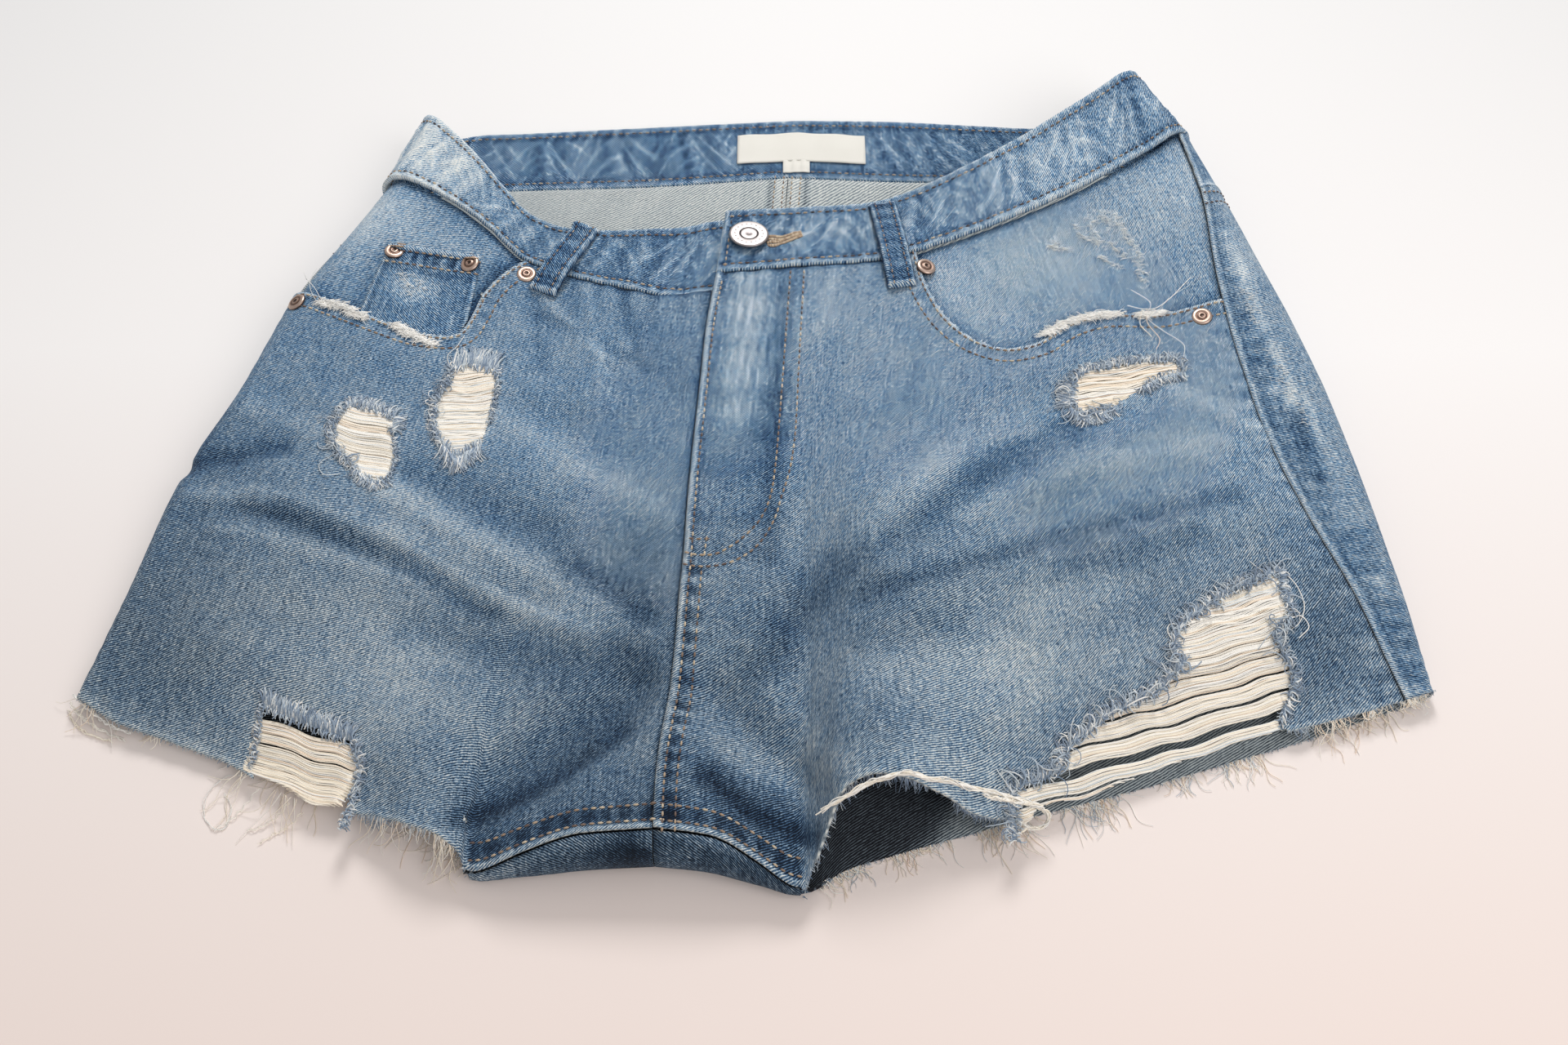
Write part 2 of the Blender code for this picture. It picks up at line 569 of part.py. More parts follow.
wall("waistband", band_face(60, 4), BAND_OUT, BAND_IN, "denim", -1)


# ---------------------------------------------------------------- finding places on the front
def place(face, x, y, start):
    """Solve face(p, q) for the plan point x, y; gives p and q."""
    x, y = np.broadcast_arrays(np.asarray(x, float), np.asarray(y, float))
    p, q = np.full(x.shape, float(start[0])), np.full(x.shape, float(start[1]))
    for _ in range(40):
        here, along, over = face(p, q), face(p + 1e-4, q), face(p, q + 1e-3)
        j = np.stack([(along - here)[..., :2] / 1e-4, (over - here)[..., :2] / 1e-3], -1)
        miss = np.stack([x, y], -1) - here[..., :2]
        det = j[..., 0, 0] * j[..., 1, 1] - j[..., 0, 1] * j[..., 1, 0]
        det = np.where(np.abs(det) < 1e-6, 1e-6, det)
        p = p + np.clip((miss[..., 0] * j[..., 1, 1] - miss[..., 1] * j[..., 0, 1]) / det, -0.2, 0.2)
        q = q + np.clip((miss[..., 1] * j[..., 0, 0] - miss[..., 0] * j[..., 1, 0]) / det, -4, 4)
        p, q = np.clip(p, -0.5, 1.2), np.clip(q, 0.05, 60)
    return p, q


def top_point(side, x, y):
    """The front's outer face over a plan point: the panel, or the waistband past the waist seam."""
    h, a = place(lambda p, q: band(side, p, q), x, y, (0.5, 8.0))
    s, b = place(lambda p, q: body(side, np.clip(p, 0, 1), q), x, y, (0.3, 8.0))
    return np.where((h > 0)[..., None], band(side, h, a), body(side, np.clip(s, 0, 1), b))


def top_face(side, x, y):
    """Points and normals of the front's outer face over a grid of plan points."""
    step = 0.02
    here = top_point(side, x, y)
    here[..., 0], here[..., 1] = x, y
    zx = top_point(side, x + step, y)[..., 2] - top_point(side, x - step, y)[..., 2]
    zy = top_point(side, x, y + step)[..., 2] - top_point(side, x, y - step)[..., 2]
    n = np.stack([-zx / (2 * step), -zy / (2 * step), np.ones_like(zx)], -1)
    return here, n / np.linalg.norm(n, axis=-1, keepdims=True)


# ---------------------------------------------------------------- pockets
def inside(x, y, corners):
    hit = np.zeros(np.shape(x), bool)
    for (ax, ay), (bx, by) in zip(corners, corners[1:] + corners[:1]):
        crosses = ((ay > y) != (by > y)) & (x < (bx - ax) * (y - ay) / (by - ay + 1e-12) + ax)
        hit ^= crosses
    return hit


def scoop_line(side, count):
    line = read(curve(SCOOP[side]), np.linspace(0, 1, count))
    return [tuple(p) for p in line]


def scoop_region(side):
    out = -27.0 if side == "right" else 27.0
    line = scoop_line(side, 18)
    return line + [(out, line[-1][1]), (out, 22.0), (line[0][0], 22.0)]


def facing_face(side, columns, rows):
    region = scoop_region(side)
    top = 0.03 / down(side, "front", 0.5)
    inner = abs(SCOOP[side]["x"][0] - OUTLINE[side]["x"][0])
    reach = inner * 1.16 + 1.0 - float(seam_at(side, 0.0))
    trial = np.linspace(0.0, 0.6, 241)

    def column(share, q):
        a = seam_at(side, trial) + SEAM + share * reach
        points = body(side, trial, a)
        held = inside(points[:, 0], points[:, 1], region)
        low = trial[held].max() if held.any() else 0.0
        s = top + (low + 0.9 / 26.0 - top) * q
        return body(side, s, seam_at(side, s) + SEAM + share * reach)

    return lattice(column, np.linspace(0, 1, columns), np.linspace(0, 1, rows))


for side in SIDES:
    cut(fronts[side], prism("cutter_scoop_" + side, scoop_region(side), 0.25, 6.0))
    wall("pocket_facing_" + side, facing_face(side, 13, 7), -FACING_DEPTH, -FACING_DEPTH - FACING_WALL, "denim", 1)

scoop = curve(SCOOP["right"])
xs = np.linspace(COIN["outer"][0], COIN["inner"][0], 8)
order = np.argsort(scoop[1][:, 0])
bottom = np.interp(xs, scoop[1][order, 0], scoop[1][order, 1]) + 0.14
head = np.linspace(COIN["top"][0], COIN["top"][1], 8)
t = np.linspace(0, 1, 6)[None, :]
coin_x = head[:, :1] * (1 - t) + xs[:, None] * t
coin_y = head[:, 1:] * (1 - t) + bottom[:, None] * t
wall("coin_pocket", top_face("right", coin_x, coin_y), -COIN_DEPTH, -COIN_DEPTH - COIN_WALL, "denim", 1)

for side in SIDES:
    made = prism("back_pocket_" + side, list(BACK_POCKETS[side]), 0.0, POCKET_WALL)
    made.hide_render = False
    made.display_type = "TEXTURED"

for i in range(len(TEARS["x0"])):
    tear = {k: v[i] for k, v in TEARS.items()}
    along = np.array([tear["x1"] - tear["x0"], tear["y1"] - tear["y0"]])
    along = along / np.linalg.norm(along)
    over = np.array([-along[1], along[0]]) * tear["width"] / 2
    ends = [np.array([tear["x0"], tear["y0"]]), np.array([tear["x1"], tear["y1"]])]
    middle = (ends[0] + ends[1]) / 2
    outline_of = [ends[0], ends[0] * 0.85 + middle * 0.15 - over, ends[1] * 0.85 + middle * 0.15 - over,
                  ends[1], ends[1] * 0.85 + middle * 0.15 + over, ends[0] * 0.85 + middle * 0.15 + over]
    target = fronts["left" if tear["x0"] > 0 else "right"]
    cut(target, prism("cutter_tear_%d" % i, [tuple(c) for c in outline_of], 0.2, 3.0))


# ---------------------------------------------------------------- belt loops
def loop_face(side, start, stop, rows):
    t = np.linspace(0, 1, rows)[:, None]
    cross = np.array([-0.5, 0.0, 0.5])[None, :] * LOOP_WIDTH
    direction = np.array([stop[0] - start[0], stop[1] - start[1]])
    direction = direction / np.linalg.norm(direction)
    x = start[0] + (stop[0] - start[0]) * t - direction[1] * cross
    y = start[1] + (stop[1] - start[1]) * t + direction[0] * cross
    return top_face(side, x, y)


for number, side in enumerate(SIDES, 1):
    grid, n = loop_face(side, *FRONT_LOOPS[side], 9)
    seat = np.interp(np.linspace(0, 1, 9), (0, 0.78, 0.95, 1), (0.13, 0.13, 0.05, 0.05))[:, None, None]
    wall("belt_loop_%d" % number, (grid + n * seat, n), LOOP_WALL, 0.0, "denim", 1)
for number, x in enumerate(BACK_LOOPS, 3):
    y = float(np.interp(x, (-14, 1.5, 14), (14.7, 15.9, 15.6)))
    half = LOOP_WIDTH / 2
    made = prism("belt_loop_%d" % number, [(x - half, y - 0.9), (x + half, y - 0.9), (x + half, y + 3.2), (x - half, y + 3.2)],
                 0.0, 0.19)
    made.hide_render = False
    made.display_type = "TEXTURED"


# ---------------------------------------------------------------- metal
def turned(name, centre, axis, profile, sides, slot):
    """A turned solid: profile rows are radius and height along the axis."""
    axis = axis / np.linalg.norm(axis)
    first = np.cross(axis, (0.0, 1.0, 0.0))
    first = first / np.linalg.norm(first)
    second = np.cross(axis, first)
    points, faces = [centre + axis * profile[0][1]], []
    for radius, height in profile:
        for k in range(sides):
            turn = 2 * math.pi * k / sides
            points.append(centre + axis * height + radius * (math.cos(turn) * first + math.sin(turn) * second))
    points.append(centre + axis * profile[-1][1])
    for k in range(sides):
        after = (k + 1) % sides
        faces.append((0, 1 + after, 1 + k))
        for ring in range(len(profile) - 1):
            low, high = 1 + ring * sides, 1 + (ring + 1) * sides
            faces.append((low + k, low + after, high + after, high + k))
        faces.append((1 + (len(profile) - 1) * sides + k, 1 + (len(profile) - 1) * sides + after, len(points) - 1))
    return solid(name, points, faces, slot)


def seat(side, x, y, above):
    point, n = top_face(side, np.array([[x]]), np.array([[y]]))
    return point[0, 0] + n[0, 0] * above, n[0, 0]


centre, axis = seat("left", *BUTTON_AT, BAND_OUT + 0.03)
turned("button", centre, axis,
       ((0.50, 0.0), (0.50, 0.12), (0.84, 0.14), (BUTTON_RADIUS, 0.20), (0.82, 0.27), (0.62, 0.29), (0.56, 0.26),
        (0.32, 0.26), (0.24, 0.30), (0.10, BUTTON_HEIGHT)), 24, "nickel")
for i in range(len(RIVETS["x"])):
    x, y, above = (RIVETS[k][i] for k in ("x", "y", "seat"))
    centre, axis = seat("right" if x < 0 else "left", x, y, above)
    turned("rivet_%d" % (i + 1), centre, axis,
           ((RIVET_RADIUS, 0.0), (RIVET_RADIUS, 0.05), (0.36, 0.10), (0.20, 0.09), (0.14, 0.13), (0.05, RIVET_HEIGHT)),
           10, "copper")

inner_face = WAIST_LIFT - BAND_IN + 0.03
for name, box in (("label", LABEL), ("label_tab", LABEL_TAB)):
    (x0, x1), (y0, y1) = box["x"], box["y"]
    made = prism(name, [(x0, y0), (x1, y0), (x1, y1), (x0, y1)], inner_face, inner_face + LABEL_WALL)
    made.hide_render = False
    made.display_type = "TEXTURED"
    made.data.materials[0] = material("label_cloth")


# ---------------------------------------------------------------- hem fringe
STRIP_WIDTH = 0.14
STRIP_HEIGHT = 0.10
STRAND = 0.09
FRINGE = {"front_right": 30, "front_left": 44, "back_right": 18, "back_left": 40}
# where each strip runs along its hem, measured from the side seam
FRINGE_RUN = {"front_right": (0.8, 16.2), "front_left": (0.8, 24.6), "back_right": (1.0, 16.0), "back_left": (3.0, 27.6)}


def fringe(name, side, layer, count, seed):
    """Loose threads fused to a thin strip along a panel's own hem."""
    chance = np.random.default_rng(seed)
    line, lean = hems[side, layer]
    run = np.concatenate([[0.0], np.cumsum(np.linalg.norm(np.diff(line[:, :2], axis=0), axis=1))])
    low, high = FRINGE_RUN[layer + "_" + side]
    base = np.linspace(low, high, count) + chance.uniform(-0.12, 0.12, count)
    u = np.sort(np.concatenate([[low - 0.3], base - STRAND / 2, base + STRAND / 2, [high + 0.3]]))
    edge = np.stack([np.interp(u, run, line[:, i]) for i in range(3)], -1)
    lean = np.stack([np.interp(u, run, lean[:, i]) for i in range(3)], -1)
    tangent = np.stack([np.interp(u + 0.4, run, line[:, i]) - np.interp(u - 0.4, run, line[:, i]) for i in (0, 1)], -1)
    tangent = tangent / np.linalg.norm(tangent, axis=1, keepdims=True)
    out = np.stack([tangent[:, 1], -tangent[:, 0]], -1)
    out = out * (-1.0 if out[len(u) // 2, 1] > 0 else 1.0)
    slant = np.abs((lean[:, :2] * out).sum(axis=1, keepdims=True)) * WALL
    z = edge[:, 2] - WALL / 2 * (1 if layer == "front" else -1)
    near = edge[:, :2] + out * (0.03 + slant)
    far = near + out * STRIP_WIDTH
    points, faces = [], []
    for k in range(len(u)):
        for spot, rise in ((near[k], 1), (near[k], -1), (far[k], -1), (far[k], 1)):
            points.append((*spot, z[k] + rise * STRIP_HEIGHT / 2))
    for k in range(len(u) - 1):
        a, b = 4 * k, 4 * (k + 1)
        for i in range(4):
            j = (i + 1) % 4
            if i == 2 and k % 2 == 1:
                continue
            faces.append((a + i, a + j, b + j, b + i))
    faces += [(3, 2, 1, 0), tuple(4 * (len(u) - 1) + i for i in range(4))]
    floor = 0.24 if layer == "front" else 0.07
    for k in range(1, len(u) - 2, 2):
        ring = [4 * k + 2, 4 * k + 3, 4 * (k + 1) + 3, 4 * (k + 1) + 2]
        heading = out[k] + tangent[k] * chance.uniform(-0.55, 0.55)
        heading = heading / np.linalg.norm(heading)
        bend = chance.uniform(-0.5, 0.5)
        reach = chance.uniform(0.45, 1.5)
        side_way = np.array([-heading[1], heading[0]])
        start = (far[k] + far[k + 1]) / 2
        start_z = (z[k] + z[k + 1]) / 2
        for step in (0.4, 0.75, 1.0):
            middle = start + heading * reach * step + side_way * bend * reach * step ** 2 * 0.5
            droop = start_z + (max(floor, start_z - 0.4 * reach) - start_z) * step ** 1.5
            thick = STRAND * (1 - 0.45 * step) / 2
            fresh = []
            for index, (lateral, rise) in enumerate(((-1, -1), (-1, 1), (1, 1), (1, -1))):
                flip = 1.0 if np.dot(far[k + 1] - far[k], side_way) > 0 else -1.0
                spot = middle + side_way * flip * lateral * thick
                fresh.append(len(points))
                points.append((*spot, droop + rise * thick * 0.9))
            for i in range(4):
                j = (i + 1) % 4
                faces.append((ring[i], ring[j], fresh[j], fresh[i]))
            ring = fresh
        faces.append(tuple(ring))
    points = np.array(points)
    volume = 0.0
    for f in faces:
        for i in range(1, len(f) - 1):
            volume += np.dot(points[f[0]], np.cross(points[f[i]], points[f[i + 1]]))
    if volume < 0:
        faces = [f[::-1] for f in faces]
    solid(name, points, faces, "cream_thread")


for seed, (name, count) in enumerate(FRINGE.items(), 11):
    layer, side = name.split("_")
    fringe("fringe_" + name, side, layer, count, seed)
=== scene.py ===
# %% [markdown]
# # Cut-off denim shorts, laid flat with the front up
# The real garment is one flattened tube of washed denim: two fronts on top, two backs underneath, yokes,
# a waistband, pocket parts, loops, metal and a lot of loose thread. The solids of the frame already have
# the tube's form, so this lesson dresses them: every panel becomes a fine thin shell on the same form,
# with its creases, seams, wash and torn places, and the sewing is laid on top of it.

# %% Load the frame
import math

import bpy
import numpy as np
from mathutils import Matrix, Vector
from mathutils.bvhtree import BVHTree


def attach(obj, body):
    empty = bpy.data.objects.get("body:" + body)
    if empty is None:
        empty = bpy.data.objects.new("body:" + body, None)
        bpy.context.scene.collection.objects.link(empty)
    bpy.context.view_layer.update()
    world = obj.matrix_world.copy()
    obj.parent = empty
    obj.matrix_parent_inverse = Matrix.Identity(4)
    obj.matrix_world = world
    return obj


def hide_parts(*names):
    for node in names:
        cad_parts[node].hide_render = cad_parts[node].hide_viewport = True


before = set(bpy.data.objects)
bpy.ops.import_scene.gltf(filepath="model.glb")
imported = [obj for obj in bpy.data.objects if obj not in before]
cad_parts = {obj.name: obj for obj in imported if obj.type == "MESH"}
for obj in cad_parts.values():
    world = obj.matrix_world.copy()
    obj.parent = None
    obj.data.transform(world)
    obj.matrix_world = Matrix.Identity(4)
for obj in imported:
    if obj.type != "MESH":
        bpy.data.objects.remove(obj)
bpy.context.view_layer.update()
print("solids in the frame:", len(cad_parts))

# %% [markdown]
# ## Sizes
# All garment sizes are centimetres in plan: x to the wearer's left, y toward the waist, z up from the
# table. They are the sizes that the solids were made from, because a shell can only lie on a form
# whose sizes it knows. Meshes are turned into metres at the very end, by one function.

# %% Garment sizes
CM = 0.01
ORIGIN_Y = -0.592        # the plan's shift, so that the box of the garment stands on the origin
SEAM = 0.018             # half the gap between two pieces
CLOTH = 0.10             # wall of one layer of denim
BAND_OUT = 0.10          # from the waistband's middle to its outer face
BAND_WALL = 0.22         # wall of the waistband, which is folded double
FACING_DEPTH = 0.20      # how deep the pocket facings lie under the face of the front
WAIST_LIFT = 0.32        # the back stands this high off the table at the waist
POCKET_LIFT = 0.18       # and this high over its patch pockets
UNDERLAP = 3.0           # the end of the waistband that lies under the button
TOP_RADIUS = {"right": 1.6, "left": 2.1}       # turn of the waistband's top edge at each side
FRONT_LENGTH, BACK_LENGTH = 26.0, 33.0         # usual runs of cloth from the waist to the hem
SIDES = ("right", "left")
TURN = {"right": -1, "left": 1}                # the sign of x on each side


def table(names, *rows):
    """Named columns of a short table."""
    return {name: np.array([row[i] for row in rows], float) for i, name in enumerate(names.split())}


OUTLINE = {
    "right": table("x y r seam", (-17.4, 13.6, 1.50, -0.2), (-18.7, 10.9, 1.45, 0.0),
        (-20.3, 7.7, 1.30, 0.1), (-22.2, 2.1, 1.10, -0.3), (-23.7, -1.5, 0.95, -0.5),
        (-25.2, -7.6, 0.70, -0.5), (-26.5, -12.0, 0.35, -0.3)),
    "left": table("x y r seam", (20.1, 16.2, 1.80, 1.9), (21.2, 13.0, 1.75, 2.6), (22.5, 8.2, 1.60, 3.9),
        (23.8, 3.0, 1.40, 4.5), (24.8, -1.3, 1.10, 4.2), (25.9, -7.0, 0.80, 2.8), (26.5, -11.8, 0.35, 1.5)),
}
WAIST_FRONT = {
    "right": table("x y z", (-17.4, 13.6, 3.0), (-15.5, 12.9, 3.1), (-13.6, 11.6, 3.1), (-12.0, 10.2, 2.9),
        (-10.5, 8.7, 2.6), (-8.2, 7.8, 2.4), (-6.1, 7.3, 2.3), (-4.3, 6.9, 2.3), (-2.1, 7.2, 2.3)),
    "left": table("x y z", (20.1, 16.2, 3.7), (17.1, 13.9, 3.9), (14.6, 12.2, 3.7), (11.7, 10.8, 3.3),
        (8.2, 9.4, 2.9), (5.6, 8.7, 2.6), (1.8, 8.4, 2.5), (-1.95, 8.0, 2.5)),
}
TOP_FRONT = {
    "right": table("x y z", (-16.0, 17.3, 3.5), (-14.2, 15.7, 3.5), (-13.0, 14.4, 3.2), (-11.8, 12.9, 2.8),
        (-10.6, 11.6, 2.4), (-9.0, 10.9, 2.2), (-6.4, 10.8, 2.1), (-4.2, 11.1, 2.1), (-2.1, 11.7, 2.1)),
    "left": table("x y z", (17.8, 19.2, 4.4), (15.0, 17.1, 4.1), (12.2, 15.5, 3.5), (9.5, 13.9, 3.1),
        (7.0, 12.7, 2.7), (5.3, 12.3, 2.4), (2.6, 12.1, 2.3), (-1.6, 11.8, 2.35)),
}
WAIST_BACK = {
    "right": table("x y", (-17.4, 13.6), (-14.5, 14.6), (-11.5, 15.0), (-5.2, 15.3), (1.3, 15.9)),
    "left": table("x y", (20.1, 16.2), (17.0, 15.9), (13.5, 15.6), (7.4, 15.6), (1.3, 15.9)),
}
TOP_BACK = {
    "right": table("x y", (-16.0, 17.3), (-14.0, 18.4), (-11.8, 18.8), (-4.2, 19.4), (1.7, 19.8)),
    "left": table("x y", (17.8, 19.2), (13.9, 19.1), (10.8, 19.4), (6.8, 19.7), (1.7, 19.8)),
}
CENTRE_FRONT = table("x y", (-2.3, 4.9), (-2.5, 1.5), (-2.8, -3.5), (-2.95, -7.2), (-3.2, -11.8),
    (-3.6, -15.5), (-3.6, -19.0))
CENTRE_BACK = table("x y", (1.3, 15.9), (0.8, 9.0), (-0.6, 0.0), (-2.2, -9.0), (-3.3, -15.5), (-3.6, -19.0))
HEM_FRONT = {
    "right": table("x y z", (-26.5, -12.0, 0.70), (-24.7, -13.1, 0.60), (-22.7, -13.8, 0.55),
        (-19.6, -15.0, 0.6), (-18.4, -15.8, 0.7), (-15.8, -16.8, 0.9), (-14.2, -17.1, 1.2),
        (-12.5, -17.7, 1.8), (-11.2, -18.2, 1.8), (-10.6, -18.8, 1.2), (-10.5, -19.25, 0.6)),
    "left": table("x y z", (26.5, -11.8, 0.70), (23.9, -12.6, 0.60), (20.5, -13.5, 0.60),
        (17.9, -14.3, 0.6), (14.6, -15.5, 0.7), (10.8, -16.9, 0.9), (9.6, -17.2, 1.0), (8.3, -17.2, 1.4),
        (6.7, -16.6, 2.3), (5.5, -16.3, 2.9), (4.1, -16.3, 3.1), (3.1, -16.9, 2.7), (2.6, -18.0, 1.9),
        (2.2, -19.0, 1.2), (1.8, -19.9, 0.6)),
}
INSEAM_FOLD = {
    "right": table("x y r", (-10.5, -19.25, 0.6), (-8.4, -19.3, 0.9), (-6.0, -19.1, 1.1),
        (-3.6, -19.0, 1.2)),
    "left": table("x y r", (1.8, -19.9, 0.6), (0.2, -19.6, 0.8), (-1.6, -19.2, 1.1), (-3.6, -19.0, 1.2)),
}
HEM_BACK = {
    "right": table("x y", (-26.5, -12.0), (-22.7, -13.3), (-19.0, -14.6), (-15.8, -15.7), (-13.4, -16.2),
        (-11.6, -17.0), (-10.8, -18.1), (-10.5, -19.25)),
    "left": table("x y", (26.5, -11.8), (21.3, -13.6), (18.0, -14.6), (14.7, -15.6), (11.3, -16.5),
        (8.1, -17.4), (5.3, -18.2), (3.2, -18.9), (1.8, -19.9)),
}
# Folds of the front: a ridge, or a trough where the height is negative, along a line, and its half width.
FOLDS = table("x0 y0 x1 y1 height width", (-11.5, -17.4, -4.8, -12.4, -0.85, 1.2),
    (2.8, -17.2, -1.6, -12.6, -0.80, 1.1), (-13.0, -15.4, -6.5, -9.0, 0.35, 1.9),
    (5.2, -14.8, -0.2, -8.6, 0.35, 1.8), (-3.4, -18.0, -3.0, -8.5, 0.30, 1.2),
    (-21.5, -2.5, -9.0, -7.5, 0.20, 1.1), (-20.0, 1.5, -8.0, -3.5, 0.16, 1.0),
    (-17.0, 4.0, -7.0, 0.5, 0.14, 1.0), (21.0, -4.0, 6.0, -8.0, 0.20, 1.2),
    (18.5, 0.0, 4.5, -4.0, 0.16, 1.0), (15.5, 3.0, 4.0, 0.5, 0.14, 1.0),
    (-14.5, 10.0, -19.5, 3.0, 0.18, 1.4), (12.0, 8.0, 19.0, 2.0, 0.18, 1.6),
    (-9.0, 6.0, -8.5, 0.0, -0.15, 1.0), (5.5, 6.5, 4.5, 0.0, -0.15, 1.0))
SCOOP = {
    "right": table("x y", (-10.1, 8.9), (-11.2, 7.9), (-12.0, 6.7), (-12.4, 5.4), (-12.9, 4.4),
        (-14.3, 4.4), (-16.0, 5.1), (-17.8, 6.0), (-19.3, 6.7), (-21.4, 7.3)),
    "left": table("x y", (7.0, 9.2), (7.4, 7.1), (8.2, 5.3), (9.2, 4.2), (10.5, 3.6), (11.9, 3.9),
        (13.2, 4.9), (14.7, 5.4), (16.8, 5.4), (18.3, 5.7), (19.7, 6.0), (22.4, 6.3)),
}
COIN = {"top": ((-16.3, 9.4), (-12.3, 8.7)), "inner": (-12.65, 5.6), "outer": (-17.2, 6.35)}
BACK_POCKETS = {
    "right": ((-16.6, 6.6), (-4.4, 8.2), (-4.2, -1.8), (-9.6, -5.0), (-15.2, -3.4)),
    "left": ((17.6, 6.8), (5.4, 8.2), (4.0, -1.8), (9.2, -5.0), (15.0, -3.2)),
}
print("largest folds of the front:", len(FOLDS["x0"]))

# %% [markdown]
# ## The form of the garment
# One function, `body`, gives the outer face of the flattened tube. Its two coordinates are those of the
# cloth: `s` runs down from the waist seam (0) to the hem (1), and `a` is the distance along the cloth
# from the garment's outermost line, positive on the front and negative on the back. A surface with cloth
# coordinates beats sculpting here, because seams, weave and wash all follow the cloth.


# %% Smooth lines and the plan
def smooth(t):
    t = np.clip(t, 0.0, 1.0)
    return t * t * (3.0 - 2.0 * t)


def curve(columns, steps=24):
    """A smooth line through a table's points: the share of its plan length, then its columns."""
    points = np.stack(list(columns.values()), axis=1)
    padded = np.vstack([2 * points[0] - points[1], points, 2 * points[-1] - points[-2]])
    gap = np.maximum(np.linalg.norm(np.diff(padded[:, :2], axis=0), axis=1) ** 0.5, 1e-6)
    line = []
    for i in range(1, len(padded) - 2):
        p0, p1, p2, p3 = padded[i - 1:i + 3]
        g0, g1, g2 = gap[i - 1:i + 2]
        m1 = (p1 - p0) / g0 - (p2 - p0) / (g0 + g1) + (p2 - p1) / g1
        m2 = (p2 - p1) / g1 - (p3 - p1) / (g1 + g2) + (p3 - p2) / g2
        for t in np.arange(steps) / steps:
            w = 2 * t ** 3 - 3 * t ** 2 + 1
            v1, v2 = t ** 3 - 2 * t ** 2 + t, t ** 3 - t ** 2
            line.append(w * p1 + v1 * m1 * g1 + (1 - w) * p2 + v2 * m2 * g1)
    line = np.array(line + [points[-1]])
    run = np.concatenate([[0.0], np.cumsum(np.linalg.norm(np.diff(line[:, :2], axis=0), axis=1))])
    return run / run[-1], line, run[-1]


def read(line, t, column=None):
    """Plan points of a smooth line at shares of its length, or one of its columns there."""
    share, points, _ = line
    if column is not None:
        return np.interp(t, share, points[:, column])
    return np.stack([np.interp(t, share, points[:, i]) for i in range(2)], axis=-1)


def join(first, second, keep):
    return {k: np.concatenate([first[k], second[k][1:]]) for k in keep}


outline = {s: curve(OUTLINE[s]) for s in SIDES}
fold_radius = {s: curve(INSEAM_FOLD[s]) for s in SIDES}
edges, corner = {}, {}
for side in SIDES:
    fold = dict(INSEAM_FOLD[side], z=INSEAM_FOLD[side]["r"])
    hem = join(HEM_FRONT[side], fold, ("x", "y", "z"))
    back_hem = join(HEM_BACK[side], fold, ("x", "y"))
    centre = {k: np.concatenate([[WAIST_FRONT[side][k][-1]], CENTRE_FRONT[k]]) for k in ("x", "y")}
    edges[side, "front"] = (curve(WAIST_FRONT[side]), curve(hem), outline[side], curve(centre))
    edges[side, "back"] = (curve(WAIST_BACK[side]), curve(back_hem), outline[side], curve(CENTRE_BACK))
    corner[side, "front"] = curve(HEM_FRONT[side])[2] / edges[side, "front"][1][2]
    corner[side, "back"] = curve(HEM_BACK[side])[2] / edges[side, "back"][1][2]


def plan(side, layer, u, s):
    """The plan point at share u from the side to the centre, and s from the waist to the bottom."""
    top, bottom, outer, inner = edges[side, layer]
    t, b, e, c = read(top, u), read(bottom, u), read(outer, s), read(inner, s)
    t0, t1, b0, b1 = read(top, 0.0), read(top, 1.0), read(bottom, 0.0), read(bottom, 1.0)
    u, s = np.asarray(u)[..., None], np.asarray(s)[..., None]
    ruled = (1 - s) * t + s * b + (1 - u) * e + u * c
    return ruled - ((1 - u) * (1 - s) * t0 + u * (1 - s) * t1 + (1 - u) * s * b0 + u * s * b1)


lengths = {}
for key in edges:
    share = np.linspace(0, 1, 61)
    flat_sheet = plan(*key, *np.meshgrid(share, share, indexing="ij"))
    lengths[key] = (share, np.linalg.norm(np.diff(flat_sheet, axis=0), axis=2).sum(axis=0),
                    np.linalg.norm(np.diff(flat_sheet, axis=1), axis=2).sum(axis=1))


def across(side, layer, s):
    """Width of a panel in plan, at s from the waist to the hem."""
    return np.interp(s, lengths[side, layer][0], lengths[side, layer][1])


def down(side, layer, u):
    """Length of a panel in plan, at u from its side to its centre."""
    return np.interp(u, lengths[side, layer][0], lengths[side, layer][2])


def distance_to(x, y, x0, y0, x1, y1):
    dx, dy = x1 - x0, y1 - y0
    t = np.clip(((x - x0) * dx + (y - y0) * dy) / (dx * dx + dy * dy), 0, 1)
    return np.hypot(x - x0 - t * dx, y - y0 - t * dy)


def sides_of(corners):
    """Pairs of neighbouring corners round an outline."""
    return zip(corners, corners[1:] + corners[:1])


def inside(x, y, corners):
    hit = np.zeros(np.shape(x), bool)
    for (ax, ay), (bx, by) in sides_of(corners):
        hit ^= ((ay > y) != (by > y)) & (x < (bx - ax) * (y - ay) / (by - ay + 1e-12) + ax)
    return hit


def edge_distance(x, y, corners):
    return np.minimum.reduce([distance_to(x, y, *a, *b) for a, b in sides_of(corners)])


def ridges(lines, x, y):
    """Sum of soft ridges and troughs along the lines of a table."""
    rise = np.zeros_like(x)
    for x0, y0, x1, y1, height, width in zip(*lines.values()):
        rise = rise + height * np.exp(-((distance_to(x, y, x0, y0, x1, y1) / width) ** 2))
    return rise


print("front widths at the hem, cm:", {s: round(float(across(s, "front", 1.0)), 1) for s in SIDES})


